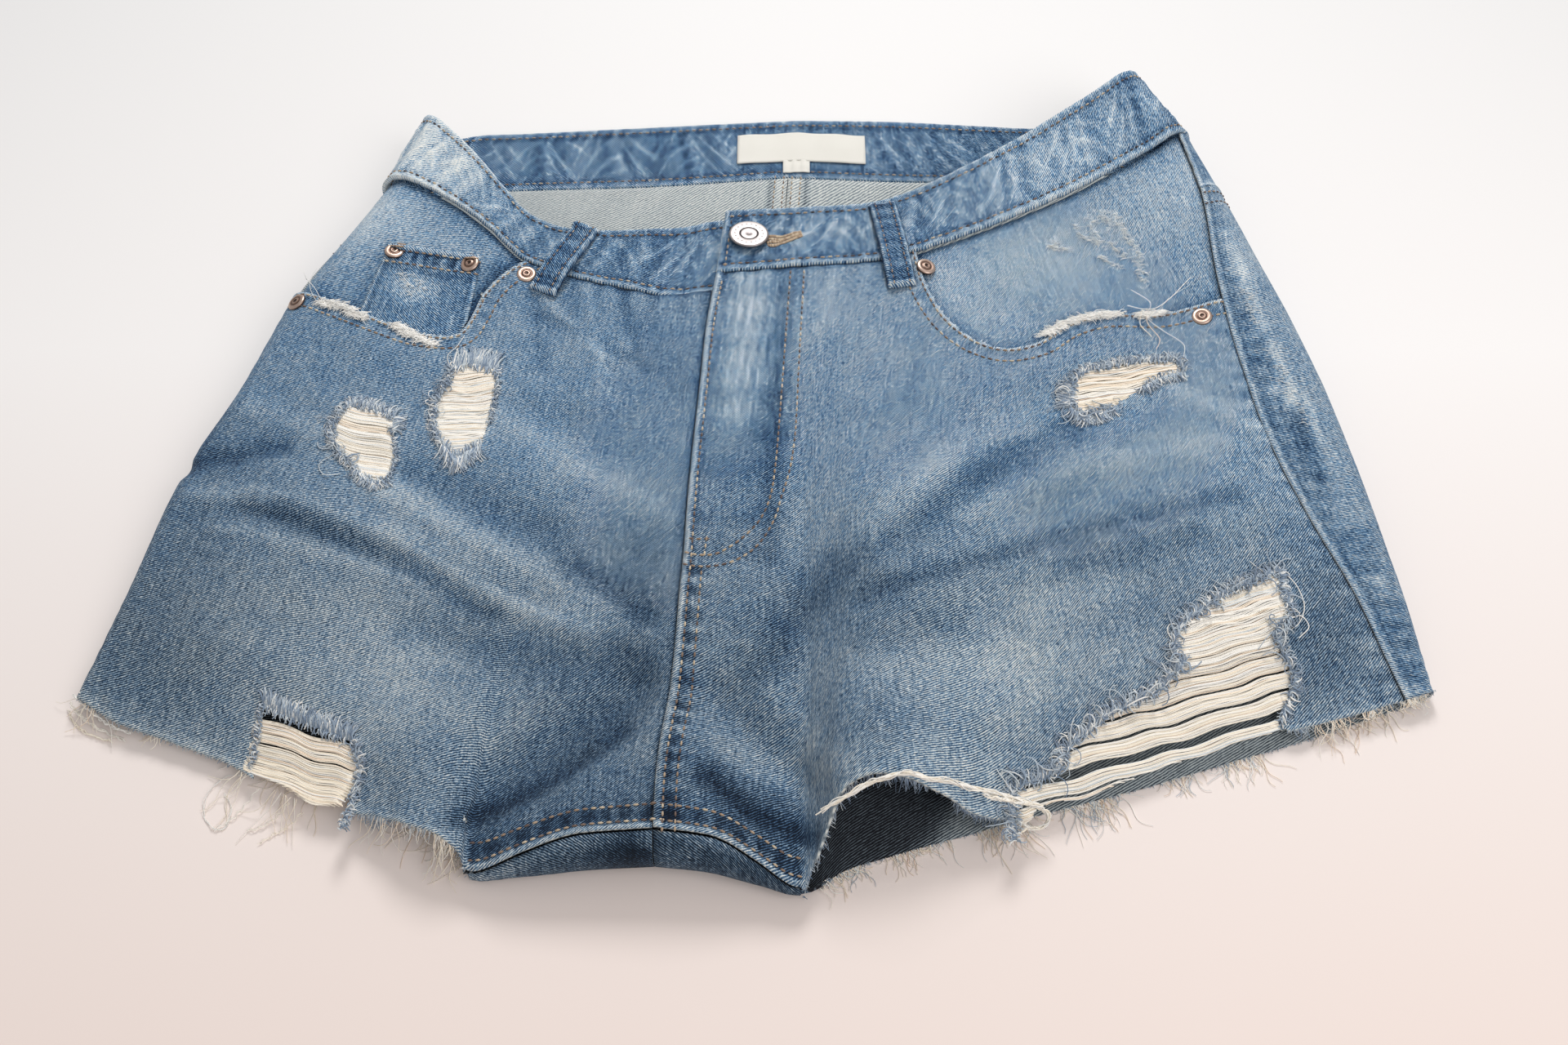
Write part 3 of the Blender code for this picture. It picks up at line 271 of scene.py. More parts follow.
# %% The outer face of the shorts
def bottom_radius(side, layer, u):
    """Radius of the fold along the inseam, and how much of it there is: none along the cut hem."""
    at = corner[side, layer]
    run = (1 - at) * edges[side, layer][1][2]
    radius = read(fold_radius[side], np.clip((u - at) / (1 - at), 0, 1), 2)
    return radius, smooth((u - at) * run / (1 - at) / 1.2 + 1.0)


def under(x, y):
    """How high the back's outer face stands above the table."""
    lift = WAIST_LIFT * smooth((y - 9.0) / 3.5)
    for side in SIDES:
        corners = BACK_POCKETS[side]
        away = np.where(inside(x, y, corners), 0.0, edge_distance(x, y, corners))
        lift = np.maximum(lift, POCKET_LIFT * smooth((4.2 - away) / 2.0))
    return lift


def roll(distance, radius):
    """Plan distance and height round a fold: distance along the cloth from its outermost line."""
    turn = np.clip(np.abs(distance) / radius, 0, math.pi / 2)
    beyond = np.maximum(np.abs(distance) - radius * math.pi / 2, 0.0)
    return radius * (1 - np.cos(turn)) + beyond, radius * (1 + np.sign(distance) * np.sin(turn))


def arc(e, radius):
    """Height of a quarter round at a distance e from its rim."""
    return np.sqrt(np.maximum(radius ** 2 - (radius - e) ** 2, 0.0))


def raised(points, z):
    """Plan points with their heights."""
    return np.concatenate([points, z[..., None]], -1)


def cloth_run(width, radius):
    """A width in plan as a run along the cloth, which rolls a quarter turn at its side."""
    return width - radius + radius * math.pi / 2


def front_height(side, u, s, x, y):
    top, bottom, _, _ = edges[side, "front"]
    inside_z = 2.55 - 0.85 * smooth((-y - 1.0) / 13.0) + 0.15 * np.exp(-((x / 9.0) ** 2))
    inside_z = inside_z + ridges(FOLDS, x, y)
    length = down(side, "front", u)
    e = (1 - s) * length
    radius, share = bottom_radius(side, "front", u)
    edge = read(bottom, u, 2) + share * arc(np.minimum(e, radius), radius)
    z = edge + (inside_z - edge) * smooth(e / 4.5)
    waist = read(top, u, 2)
    return waist + (z - waist) * smooth(s * length / 4.5)


def body(side, s, a):
    """The outer face of the garment at cloth coordinates s and a."""
    s, a = np.broadcast_arrays(np.asarray(s, float), np.asarray(a, float))
    radius = read(outline[side], s, 2)
    d, rolled = roll(a, radius)
    uf = np.clip(d / across(side, "front", s), 0, 1)
    ub = np.clip(d / across(side, "back", s), 0, 1)
    front, back = plan(side, "front", uf, s), plan(side, "back", ub, s)
    fz = front_height(side, uf, s, front[..., 0], front[..., 1])
    fz = np.where(d > radius, 2 * radius + (fz - 2 * radius) * smooth((d - radius) / 5.0), rolled)
    br, share = bottom_radius(side, "back", ub)
    e = np.minimum((1 - s) * down(side, "back", ub), br)
    curl = share * (br - arc(e, br))
    bz = np.maximum(rolled, curl)
    bz = bz + under(back[..., 0], back[..., 1]) * np.clip(1 - bz / radius, 0, 1)
    return np.where((a >= 0)[..., None], raised(front, fz), raised(back, bz))


def centre_run(side, layer, s):
    """Run of cloth from the outermost line to the centre seam."""
    return cloth_run(across(side, layer, s), read(outline[side], s, 2))


def seam_at(side, s):
    """Where the side seam lies, as a run of cloth from the outermost line."""
    return read(outline[side], s, 3)


def inseam_s(side, u):
    """Where the inseam runs on the front, as a share s of column u (1 along the hem)."""
    at = corner[side, "front"]
    e = 0.15 + 0.80 * smooth(np.clip((u - at) / (1 - at), 0, 1) * 1.6)
    return np.where(u > at, 1 - e / down(side, "front", u), 1.0)


middle = body("left", np.array([0.5]), np.array([12.0]))[0]
print("a point of the left front, cm:", middle.round(2))

# %% [markdown]
# ## Cloth helpers
# A panel is drawn as a fine grid. Its points are pushed out or in along the face's own normal by the
# relief of its seams and creases, measured in cloth coordinates. Then it becomes a mesh with a UV map in
# metres, for the weave, and point attributes, for the wash. Solidify gives it the wall of one layer, and
# the inner face takes the second material, which is the undyed side of the twill.


# %% Grids, normals and meshes
pieces = {}
trees = {}
cuts = {}          # of each sheet: its longest run across and down, and its area, in cm


def unit(v):
    return v / np.maximum(np.linalg.norm(v, axis=-1, keepdims=True), 1e-9)


def eased(points):
    """The hips and the two upper corners of the waistband spread a little beyond the plain form."""
    points = np.array(points, float)
    x, y = points[..., 0], points[..., 1]
    right = np.interp(y, (-12, -8, -4, 0, 5, 8, 12, 16), (0, 0.15, 0.3, 0.3, 0.45, 0.5, 0.4, 0.35))
    left = np.interp(y, (-10, -6, -2, 2, 6, 9, 13, 17, 19.5), (0, 0.05, 0.3, 0.45, 0.45, 0.35, 0.3, 0.4, 0.6))
    spread = smooth((np.abs(x) - 8.0) / 10.0)
    up = 0.75 * bump(np.hypot(x - 18.2, y - 19.5), 3.6) + 0.55 * bump(np.hypot(x + 16.3, y - 17.5), 3.2)
    points[..., 0] = x + np.where(x > 0, left, -right) * spread
    points[..., 1] = y + up
    points[..., 2] *= 1.0 + 0.06 * up
    return points


def metres(points):
    return (eased(points) - (0.0, ORIGIN_Y, 0.0)) * CM


def normals(surface, p, q, facing, dp=0.02, dq=0.002):
    n = unit(np.cross(surface(p, q + dp) - surface(p, q - dp), surface(p + dq, q) - surface(p - dq, q)))
    middle = n[n.shape[0] // 2, n.shape[1] // 2, 2]
    return n if middle * facing > 0 else -n


def quads(rows, cols):
    index = np.arange(rows * cols).reshape(rows, cols)
    return np.stack([index[:-1, :-1], index[1:, :-1], index[1:, 1:], index[:-1, 1:]], -1).reshape(-1, 4)


def tree_of(points, faces):
    return BVHTree.FromPolygons([tuple(p) for p in points.reshape(-1, 3)], [tuple(f) for f in faces.tolist()])


def add_object(name, data):
    made = bpy.data.objects.new(name, data)
    bpy.context.scene.collection.objects.link(made)
    return made


def mark_points(mesh, marks):
    """Point attributes: numbers, or directions."""
    for mark, data in marks.items():
        kind, field = ("FLOAT_VECTOR", "vector") if data.ndim == 2 else ("FLOAT", "value")
        mesh.attributes.new(mark, kind, "POINT").data.foreach_set(field, data.astype(np.float32).ravel())


def shell(name, points, outward, flat, marks, materials, wall, keep=None):
    """A thin shell from a grid of points in cm; flat is its pattern in cm, marks its point attributes."""
    rows, cols = points.shape[:2]
    faces = quads(rows, cols)
    i, j = rows // 2, cols // 2
    turn = np.cross(points[i, j] - points[i - 1, j], points[i, j] - points[i, j - 1])
    if np.dot(turn, outward[i, j]) < 0:
        faces = faces[:, ::-1]
    trees[name] = tree_of(points, faces)
    if keep is not None:
        faces = faces[keep.reshape(-1)]
    a, b, c, d = (points.reshape(-1, 3)[faces[:, k]] for k in range(4))
    cuts[name] = (np.linalg.norm(np.diff(points, axis=0), axis=2).sum(axis=0).max(),
                  np.linalg.norm(np.diff(points, axis=1), axis=2).sum(axis=1).max(),
                  0.5 * np.linalg.norm(np.cross(c - a, d - b), axis=1).sum())
    used = np.unique(faces)
    fresh = np.full(rows * cols, -1)
    fresh[used] = np.arange(len(used))
    mesh = bpy.data.meshes.new(name)
    mesh.from_pydata(metres(points.reshape(-1, 3)[used]).tolist(), [], fresh[faces].tolist())
    loops = np.zeros(len(mesh.loops), int)
    mesh.loops.foreach_get("vertex_index", loops)
    uv = mesh.uv_layers.new(name="pattern")
    uv.data.foreach_set("uv", (flat.reshape(-1, 2)[used][loops] * CM).astype(np.float32).ravel())
    mark_points(mesh, {mark: values.reshape(-1)[used] for mark, values in marks.items()})
    for entry in materials:
        mesh.materials.append(entry)
    mesh.shade_smooth()
    pieces[name] = add_object(name, mesh)
    thick = pieces[name].modifiers.new("one layer", "SOLIDIFY")
    thick.thickness = wall * CM
    thick.offset = -1.0
    thick.material_offset = thick.material_offset_rim = len(materials) - 1


def wander(run, pitch, seed):
    """An uneven wave along a seam, from -1 to 1, with one swing in about a pitch."""
    chance = np.random.default_rng(seed)
    knots = np.cumsum(chance.uniform(0.55, 1.45, 400) * pitch / 2) - 30.0
    heights = chance.uniform(0.35, 1.0, 400) * np.where(np.arange(400) % 2, 1, -1)
    place = np.clip(np.searchsorted(knots, run) - 1, 0, 398)
    share = smooth((run - knots[place]) / (knots[place + 1] - knots[place]))
    return heights[place] * (1 - share) + heights[place + 1] * share


def along(x, y, line):
    """Signed distance to a polyline (positive to its left) and the distance run along it."""
    best = np.full(x.shape, 1e9)
    sign, run = np.zeros(x.shape), np.zeros(x.shape)
    done = 0.0
    for (ax, ay), (bx, by) in zip(line[:-1], line[1:]):
        dx, dy = bx - ax, by - ay
        length = math.hypot(dx, dy)
        t = np.clip(((x - ax) * dx + (y - ay) * dy) / length ** 2, 0, 1)
        away = np.hypot(x - ax - t * dx, y - ay - t * dy)
        nearer = away < best
        best = np.where(nearer, away, best)
        run = np.where(nearer, done + t * length, run)
        sign = np.where(nearer, np.sign(dx * (y - ay) - dy * (x - ax)), sign)
        done += length
    return best * np.where(sign < 0, -1.0, 1.0), run


def bump(distance, width):
    return np.exp(-((distance / width) ** 2))


print("helpers ready")

# %% [markdown]
# ## Denim
# Denim is a 3/1 twill of indigo warp and undyed weft: outside, slubby blue yarns run down the leg and are
# crossed by fine diagonal ribs, and inside the pale weft shows. Stone washing rubs the high places pale.
# It could be an image, but the part must be free of images, so the weave is a node group that reads the
# pattern's own UV map in metres. The group gives only masks, which each cloth mixes with its own tones.


# %% Node helpers and the twill group
def srgb(red, green, blue):
    values = np.array([red, green, blue]) / 255.0
    return tuple(np.where(values < 0.04045, values / 12.92, ((values + 0.055) / 1.055) ** 2.4)) + (1.0,)


def node(tree, kind, inputs=(), **settings):
    made = tree.nodes.new(kind)
    for name, value in settings.items():
        setattr(made, name, value)
    for name, value in dict(inputs).items():
        if isinstance(value, bpy.types.NodeSocket):
            tree.links.new(value, made.inputs[name])
        else:
            made.inputs[name].default_value = value
    return made


def maths(tree, operation, *values):
    return node(tree, "ShaderNodeMath", dict(enumerate(values)), operation=operation).outputs[0]


def noise(tree, vector, scale, detail=2.0, roughness=0.5):
    made = node(tree, "ShaderNodeTexNoise", {"Vector": vector, "Scale": scale, "Detail": detail,
                                             "Roughness": roughness})
    return made.outputs["Fac"]


def new_material(name):
    made = bpy.data.materials.new(name)
    made.use_nodes = True
    return made, made.node_tree, made.node_tree.nodes["Principled BSDF"]


def colour_ramp(tree, share, stops):
    """The colour at a share from 0 to 1, between stops of (place, colour)."""
    ramp = node(tree, "ShaderNodeValToRGB", {"Fac": share})
    while len(ramp.color_ramp.elements) < len(stops):
        ramp.color_ramp.elements.new(0.5)
    for stop, (place, colour) in zip(ramp.color_ramp.elements, stops):
        stop.position = place
        stop.color = srgb(*colour)
    return ramp.outputs["Color"]


def mark_of(tree, name):
    return node(tree, "ShaderNodeAttribute", attribute_name=name).outputs["Fac"]


def finish_shader(tree, shader, colour, relief, rough, settings):
    """Joins a colour, a relief (height, strength, metres) and a roughness (mask, lowest, highest)."""
    bumps = node(tree, "ShaderNodeBump", dict(zip(("Height", "Strength", "Distance"), relief)))
    spread = node(tree, "ShaderNodeMapRange", dict(zip(("Value", "To Min", "To Max"), rough)))
    tree.links.new(colour, shader.inputs["Base Color"])
    tree.links.new(bumps.outputs[0], shader.inputs["Normal"])
    tree.links.new(spread.outputs[0], shader.inputs["Roughness"])
    for name, value in settings.items():
        shader.inputs[name].default_value = value


def twill_group():
    """Masks of a twill in millimetres of its pattern: ribs, warp yarns, flecks and wash clouds."""
    tree = bpy.data.node_groups.new("twill_weave", "ShaderNodeTree")
    face = tree.interface
    face.new_socket("Pattern", in_out="INPUT", socket_type="NodeSocketVector")
    for name, value in (("Rib width mm", 1.05), ("Rib lean", 0.8), ("Slub length mm", 15.0)):
        face.new_socket(name, in_out="INPUT", socket_type="NodeSocketFloat").default_value = value
    for name in ("Rib", "Yarn", "Fleck", "Mottle", "Cloud"):
        face.new_socket(name, in_out="OUTPUT", socket_type="NodeSocketFloat")
    given = tree.nodes.new("NodeGroupInput").outputs
    taken = tree.nodes.new("NodeGroupOutput").inputs
    in_mm = node(tree, "ShaderNodeVectorMath", {0: given["Pattern"], 3: 1000.0}, operation="SCALE").outputs[0]
    parts = node(tree, "ShaderNodeSeparateXYZ", {0: in_mm}).outputs
    u, v = parts[0], parts[1]
    # flecks lie along the ribs: longer that way than across
    across_rib = maths(tree, "MULTIPLY_ADD", u, given["Rib lean"], v)
    along_rib = maths(tree, "SUBTRACT", u, maths(tree, "MULTIPLY", v, given["Rib lean"]))
    lain = node(tree, "ShaderNodeCombineXYZ", {0: maths(tree, "MULTIPLY", along_rib, 0.48),
                                               1: maths(tree, "MULTIPLY", across_rib, 1.15)})
    flecks = noise(tree, lain.outputs[0], 1.0, 2.0, 0.7)
    mottle = noise(tree, in_mm, 0.22, 3.0, 0.6)
    wobble = maths(tree, "MULTIPLY", noise(tree, in_mm, 0.40, 2.0), 0.9)
    phase = maths(tree, "DIVIDE", across_rib, given["Rib width mm"])
    wave = maths(tree, "SINE", maths(tree, "MULTIPLY", maths(tree, "ADD", phase, wobble), 2 * math.pi))
    tree.links.new(maths(tree, "MULTIPLY_ADD", wave, 0.5, 0.5), taken["Rib"])
    stretched = node(tree, "ShaderNodeCombineXYZ", {0: maths(tree, "MULTIPLY", u, 1.35),
                                                    1: maths(tree, "DIVIDE", v, given["Slub length mm"])})
    tree.links.new(noise(tree, stretched.outputs[0], 1.0, 3.0, 0.65), taken["Yarn"])
    tree.links.new(flecks, taken["Fleck"])
    tree.links.new(mottle, taken["Mottle"])
    tree.links.new(noise(tree, in_mm, 0.055, 4.0, 0.55), taken["Cloud"])
    return tree


TWILL = twill_group()
print("twill masks:", [s.name for s in TWILL.interface.items_tree if s.in_out == "OUTPUT"])


# %% Washed denim outside, pale twill inside
# Tone ramps from dark to pale; their darkest ends also give the painted shade in the fold troughs of the
# fronts and on the back's inside under the arched hem.
INDIGO = ((0.00, (10, 22, 42)), (0.20, (26, 54, 90)), (0.38, (54, 96, 140)), (0.54, (94, 137, 175)),
    (0.70, (142, 178, 205)), (0.85, (196, 212, 221)), (1.00, (234, 236, 233)))
DUSTY = ((0.00, (16, 26, 38)), (0.20, (38, 58, 80)), (0.38, (73, 97, 120)), (0.54, (112, 134, 153)),
    (0.70, (154, 171, 184)), (0.85, (197, 206, 209)), (1.00, (232, 233, 227)))
UNDYED = ((0.00, (26, 28, 34)), (0.30, (104, 116, 126)), (0.62, (178, 187, 189)), (1.00, (228, 228, 222)))


def woven(tree, rib_width, rib_lean):
    """The twill's masks on a material's own pattern."""
    pattern = node(tree, "ShaderNodeUVMap", uv_map="pattern").outputs[0]
    weave = node(tree, "ShaderNodeGroup", node_tree=TWILL)
    tree.links.new(pattern, weave.inputs["Pattern"])
    weave.inputs["Rib width mm"].default_value = rib_width
    weave.inputs["Rib lean"].default_value = rib_lean
    return weave.outputs


def cloth_material(name, rib, tones, weights, base, bump_strength, wash):
    """A twill cloth: its tone is a point mark of wash and painted shade plus the weave's masks, read off a
    ramp of its own colours.
    """
    made, tree, shader = new_material(name)
    weave = woven(tree, *rib)
    tone = maths(tree, "ADD", mark_of(tree, wash), base)
    for mask, weight in weights.items():
        tone = maths(tree, "MULTIPLY_ADD", maths(tree, "SUBTRACT", weave[mask], 0.5), weight, tone)
    colours = [colour_ramp(tree, tone, scale) for scale in tones]
    # the legs turn dusty toward the hem, and the cloth does so a little in places; on the backs the same mark
    # greys the inseam roll as painted warm light bounced up from the table
    dust_and_bounce_light = maths(tree, "ADD", mark_of(tree, "dust_and_bounce_light"), maths(tree, "MULTIPLY_ADD", weave["Cloud"], 0.8, -0.25))
    mixed = node(tree, "ShaderNodeMix", {0: dust_and_bounce_light, 6: colours[0], 7: colours[-1]}, data_type="RGBA")
    height = maths(tree, "MULTIPLY_ADD", weave["Fleck"], 0.8, maths(tree, "MULTIPLY", weave["Yarn"], 0.5))
    height = maths(tree, "MULTIPLY_ADD", weave["Rib"], 0.55, height)
    finish_shader(tree, shader, mixed.outputs[2], (height, bump_strength, 0.0004),
                  (weave["Fleck"], 0.78, 0.98),
                  {"Sheen Weight": 0.05, "Sheen Roughness": 0.5, "Specular IOR Level": 0.15})
    return made


# Both cloths read their tone from a point mark; besides wash, wear and seams, that mark carries painted shade
# in places.
DENIM = cloth_material("washed_denim", (1.05, 0.8), (INDIGO, DUSTY), {
    "Rib": 0.54, "Yarn": 0.60, "Fleck": 1.42, "Mottle": 0.22, "Cloud": 0.16}, 0.068, 0.7, "fade_and_shade")
DENIM_INSIDE = cloth_material("denim_inside", (1.25, 0.45), (UNDYED,), {
    "Rib": 0.52, "Yarn": 0.30, "Fleck": 0.60, "Cloud": 0.14}, 0.60, 0.5, "shade")
BOTH_FACES = [DENIM, DENIM_INSIDE]
print("cloth materials:", DENIM.name, DENIM_INSIDE.name)

# %% [markdown]
# ## Front panels
# Each front is cut with a scooped pocket mouth at the hip. It is torn through at the thigh and the hem, so
# its grid drops the faces inside the torn outlines, and the grid lines nearest to the pocket mouth are pulled
# onto it. The left front laps over the right one along the fly and the crotch seam, which makes a raised,
# folded and rubbed edge. Creases run from the crotch and from the hips; each is one row of a table, because a
# soft ridge along a given line looks more like a worn crease than noise does.

# %% Lines drawn on the fronts
# Creases: the line of a soft ridge (or of a trough), its height, half width and change of tone. The change of
# tone is partly wear, paler on the ridges, and partly painted shade, darker in the troughs. Most of them fan
# from the crotch to a hip, because that is where a seated wearer folds the cloth.
CREASES = (([(-21.3, 0.9), (-17.8, -0.9)], 0.07, 0.6, 0.05),
    ([(-10.7, -0.2), (-6.9, -2.8), (-3.9, -4.6)], 0.07, 0.7, 0.07),
    ([(-14.7, -3.6), (-11.6, -5.9), (-7.9, -7.9), (-4.3, -10.2)], 0.12, 0.7, 0.09),
    ([(-23.0, -3.5), (-18.2, -4.3), (-14.5, -5.9), (-9.9, -8.6), (-6.4, -10.2)], 0.15, 0.55, 0.08),
    ([(-21.7, -5.1), (-17.2, -6.6), (-12.1, -8.1), (-7.8, -9.7)], 0.06, 0.45, 0.05),
    ([(-20.8, -4.2), (-17.3, -5.5), (-13.6, -7.2), (-10.3, -9.2)], -0.10, 0.5, -0.10),
    ([(-13.3, -9.7), (-8.6, -11.4), (-4.6, -11.0)], -0.14, 1.1, -0.05),
    ([(-14.5, -2.8), (-11.8, -3.9), (-8.1, -5.6)], -0.07, 0.7, -0.07),
    ([(-7.3, -7.2), (-4.4, -9.4)], -0.08, 0.7, -0.10), ([(-23.6, -1.9), (-19.6, -1.4)], -0.14, 0.5, -0.09),
    ([(-4.8, 2.5), (-9.6, 5.6)], -0.06, 0.3, -0.06), ([(-9.8, 6.9), (-6.6, 3.0)], 0.06, 0.3, 0.06),
    ([(-9.9, 6.6), (-9.3, 2.6)], -0.06, 0.35, -0.06), ([(-6.2, 7.0), (-5.2, 3.4)], -0.05, 0.3, -0.05),
    ([(-7.6, 7.0), (-6.6, 1.2)], 0.04, 0.3, 0.05),
    ([(4.7, -5.7), (7.8, -2.3), (12.3, -0.3)], 0.12, 0.8, 0.08),
    ([(8.3, -4.7), (12.7, -2.7), (18.8, -1.3)], 0.08, 0.6, 0.06),
    ([(9.0, -9.3), (13.8, -8.2)], 0.05, 0.8, 0.06), ([(5.4, -11.0), (10.0, -12.6)], 0.03, 2.0, 0.07),
    ([(12.6, -0.7), (10.1, -2.1), (7.6, -4.4), (4.0, -6.6), (1.9, -8.9), (0.0, -11.8)], -0.12, 0.85, -0.10),
    ([(19.3, -3.9), (15.5, -4.8), (11.6, -6.0), (8.3, -7.1), (4.3, -8.2)], -0.12, 0.5, -0.10),
    ([(17.4, -5.8), (12.4, -7.1)], -0.05, 0.7, -0.07), ([(9.8, -9.2), (4.2, -10.4)], -0.06, 0.8, -0.06),
    ([(7.2, 4.6), (6.2, 0.6)], -0.05, 0.3, -0.04), ([(16.2, 2.0), (21.0, -1.0)], 0.06, 0.5, 0.06),
    ([(3.2, 7.6), (2.6, 4.6)], 0.03, 0.3, 0.05),
    ([(-10.8, -17.4), (-8.0, -16.2), (-5.0, -13.9)], -0.10, 0.6, -0.12),
    ([(-1.8, -15.8), (-0.1, -17.3), (2.0, -18.1)], -0.10, 0.5, -0.14),
    ([(3.0, -15.6), (0.2, -12.2)], 0.08, 0.8, 0.06))
# Wash: paler (positive) or darker streaks, a few of them whiskers that run from the crotch to the hip. The
# dark rows along the troughs of the crotch folds, and the one under the tufts of the left hip's hole, are
# painted shade.
WASH_AND_SHADE = table("x0 y0 x1 y1 tone width", (-19.5, 10.0, -18.0, 12.5, 0.16, 1.8),
    (-16.5, -9.0, -15.0, -4.0, 0.05, 3.0), (-13.0, 3.5, -7.0, 4.5, 0.04, 2.4),
    (-12.5, -11.8, -10.5, -13.8, 0.08, 2.2), (-4.4, -12.5, -4.6, -6.0, -0.08, 1.0),
    (-10.2, -16.9, -5.4, -13.2, -0.16, 0.9), (-25.0, -10.0, -22.5, -2.0, -0.09, 2.6),
    (-22.0, -11.5, -18.5, -11.0, -0.06, 2.2), (-23.6, -1.4, -22.8, 0.8, -0.10, 0.8),
    (8.5, -10.5, 11.5, -6.0, 0.05, 3.0), (17.5, -6.0, 19.5, 2.0, 0.03, 2.6),
    (-1.6, -15.6, 1.8, -17.8, -0.18, 0.8), (1.5, 5.0, 6.0, 5.0, 0.03, 2.6),
    (22.0, -10.0, 24.0, -5.0, -0.08, 2.0), (1.0, -14.5, 5.0, -13.6, -0.06, 1.4),
    (-5.5, 5.5, -3.2, 2.0, -0.06, 1.2), (-19.5, -11.5, -14.0, -11.2, 0.09, 2.2),
    (-18.5, -13.4, -14.0, -14.0, 0.06, 1.4), (-0.4, -15.2, 1.0, -15.4, 0.10, 1.0),
    (6.5, -15.4, 9.0, -15.6, 0.12, 1.2), (0.5, -3.0, 0.5, 0.5, -0.08, 1.3),
    (-8.5, -3.4, -6.5, -4.2, 0.05, 1.4), (-18.5, -4.4, -16.0, -5.4, -0.09, 1.0),
    (9.5, -2.2, 12.0, -3.6, -0.08, 1.3), (10.5, -10.8, 15.5, -11.2, 0.09, 1.7),
    (-9.0, 7.6, -7.5, 5.2, -0.07, 1.0), (12.4, -0.3, 13.2, -0.6, -0.10, 0.6),
    (3.4, -9.4, 5.2, -8.8, -0.06, 1.2))
TORN = {
    "hip_outer": ("right", [(-17.1, 0.35), (-16.5, 0.5), (-15.7, 0.2), (-15.0, -0.15), (-14.95, -0.9),
        (-14.75, -2.1), (-14.85, -3.1), (-15.4, -3.3), (-16.35, -2.55), (-17.2, -1.55), (-17.45, -0.6)]),
    "hip_inner": ("right", [(-12.9, 2.5), (-12.2, 2.75), (-11.1, 2.4), (-11.05, 1.2), (-11.2, -0.4),
        (-11.4, -1.5), (-12.3, -2.2), (-12.9, -1.5), (-13.35, -0.5), (-13.35, 0.85), (-12.95, 1.75)]),
    "hip_left": ("left", [(13.1, 1.7), (13.7, 2.25), (15.1, 2.65), (17.4, 2.85), (17.75, 2.3), (16.8, 2.0),
        (15.9, 1.5), (14.6, 0.45), (13.5, 0.0), (12.95, 0.45)]),
    "hem_right": ("right", [(-18.85, -12.65), (-18.05, -13.1), (-15.15, -14.25), (-14.8, -15.3),
        (-15.2, -17.6), (-18.9, -16.6), (-19.0, -14.8)]),
    "hem_left": ("left", [(20.7, -7.3), (18.6, -8.2), (16.7, -9.5), (16.2, -10.3), (16.5, -11.2),
        (15.5, -12.2), (13.6, -13.1), (11.8, -14.45), (11.4, -15.4), (9.7, -16.05), (9.6, -18.0),
        (20.6, -14.4), (20.2, -13.0), (20.7, -12.1), (20.9, -11.2), (20.4, -10.4), (20.2, -9.8),
        (20.9, -9.2), (20.7, -8.4)]),
}


def torn_of(side):
    return [corners for where, corners in TORN.values() if where == side]


print("torn places:", list(TORN))


# %% Build the fronts
ACROSS_STEPS, DOWN_STEPS = 156, 186
PATTERN_WIDTH, PATTERN_LENGTH = 25.0, 30.0


def front_cloth(side):
    """Cloth coordinates of a front's grid: columns from the side seam to the centre, rows from the waist."""
    share = np.linspace(0, 1, ACROSS_STEPS)
    end = np.ones_like(share)
    for _ in range(6):
        first, last = seam_at(side, end) + SEAM, centre_run(side, "front", end) - SEAM
        d = roll(first + share * (last - first), read(outline[side], end, 2))[0]
        end = inseam_s(side, d / across(side, "front", end))
    end = end - np.where(end < 1.0, 2 * SEAM / 22.0, 0.0)
    top = 0.03 / down(side, "front", 0.5)
    s = top + (end - top)[:, None] * np.linspace(0, 1, DOWN_STEPS)[None, :]
    first, last = seam_at(side, s) + SEAM, centre_run(side, "front", s) - SEAM
    return s, first + share[:, None] * (last - first), end[:, None] - s


def scoop_points(side, count=60):
    return [tuple(p) for p in read(curve(SCOOP[side]), np.linspace(0, 1, count))]


def pocket_mouth(side):
    """The line of a pocket mouth, and the outline of all the plan beyond it."""
    line = scoop_points(side)
    out = -27.0 if side == "right" else 27.0
    return line, line + [(out, line[-1][1]), (out, 22.0), (line[0][0], 22.0)]


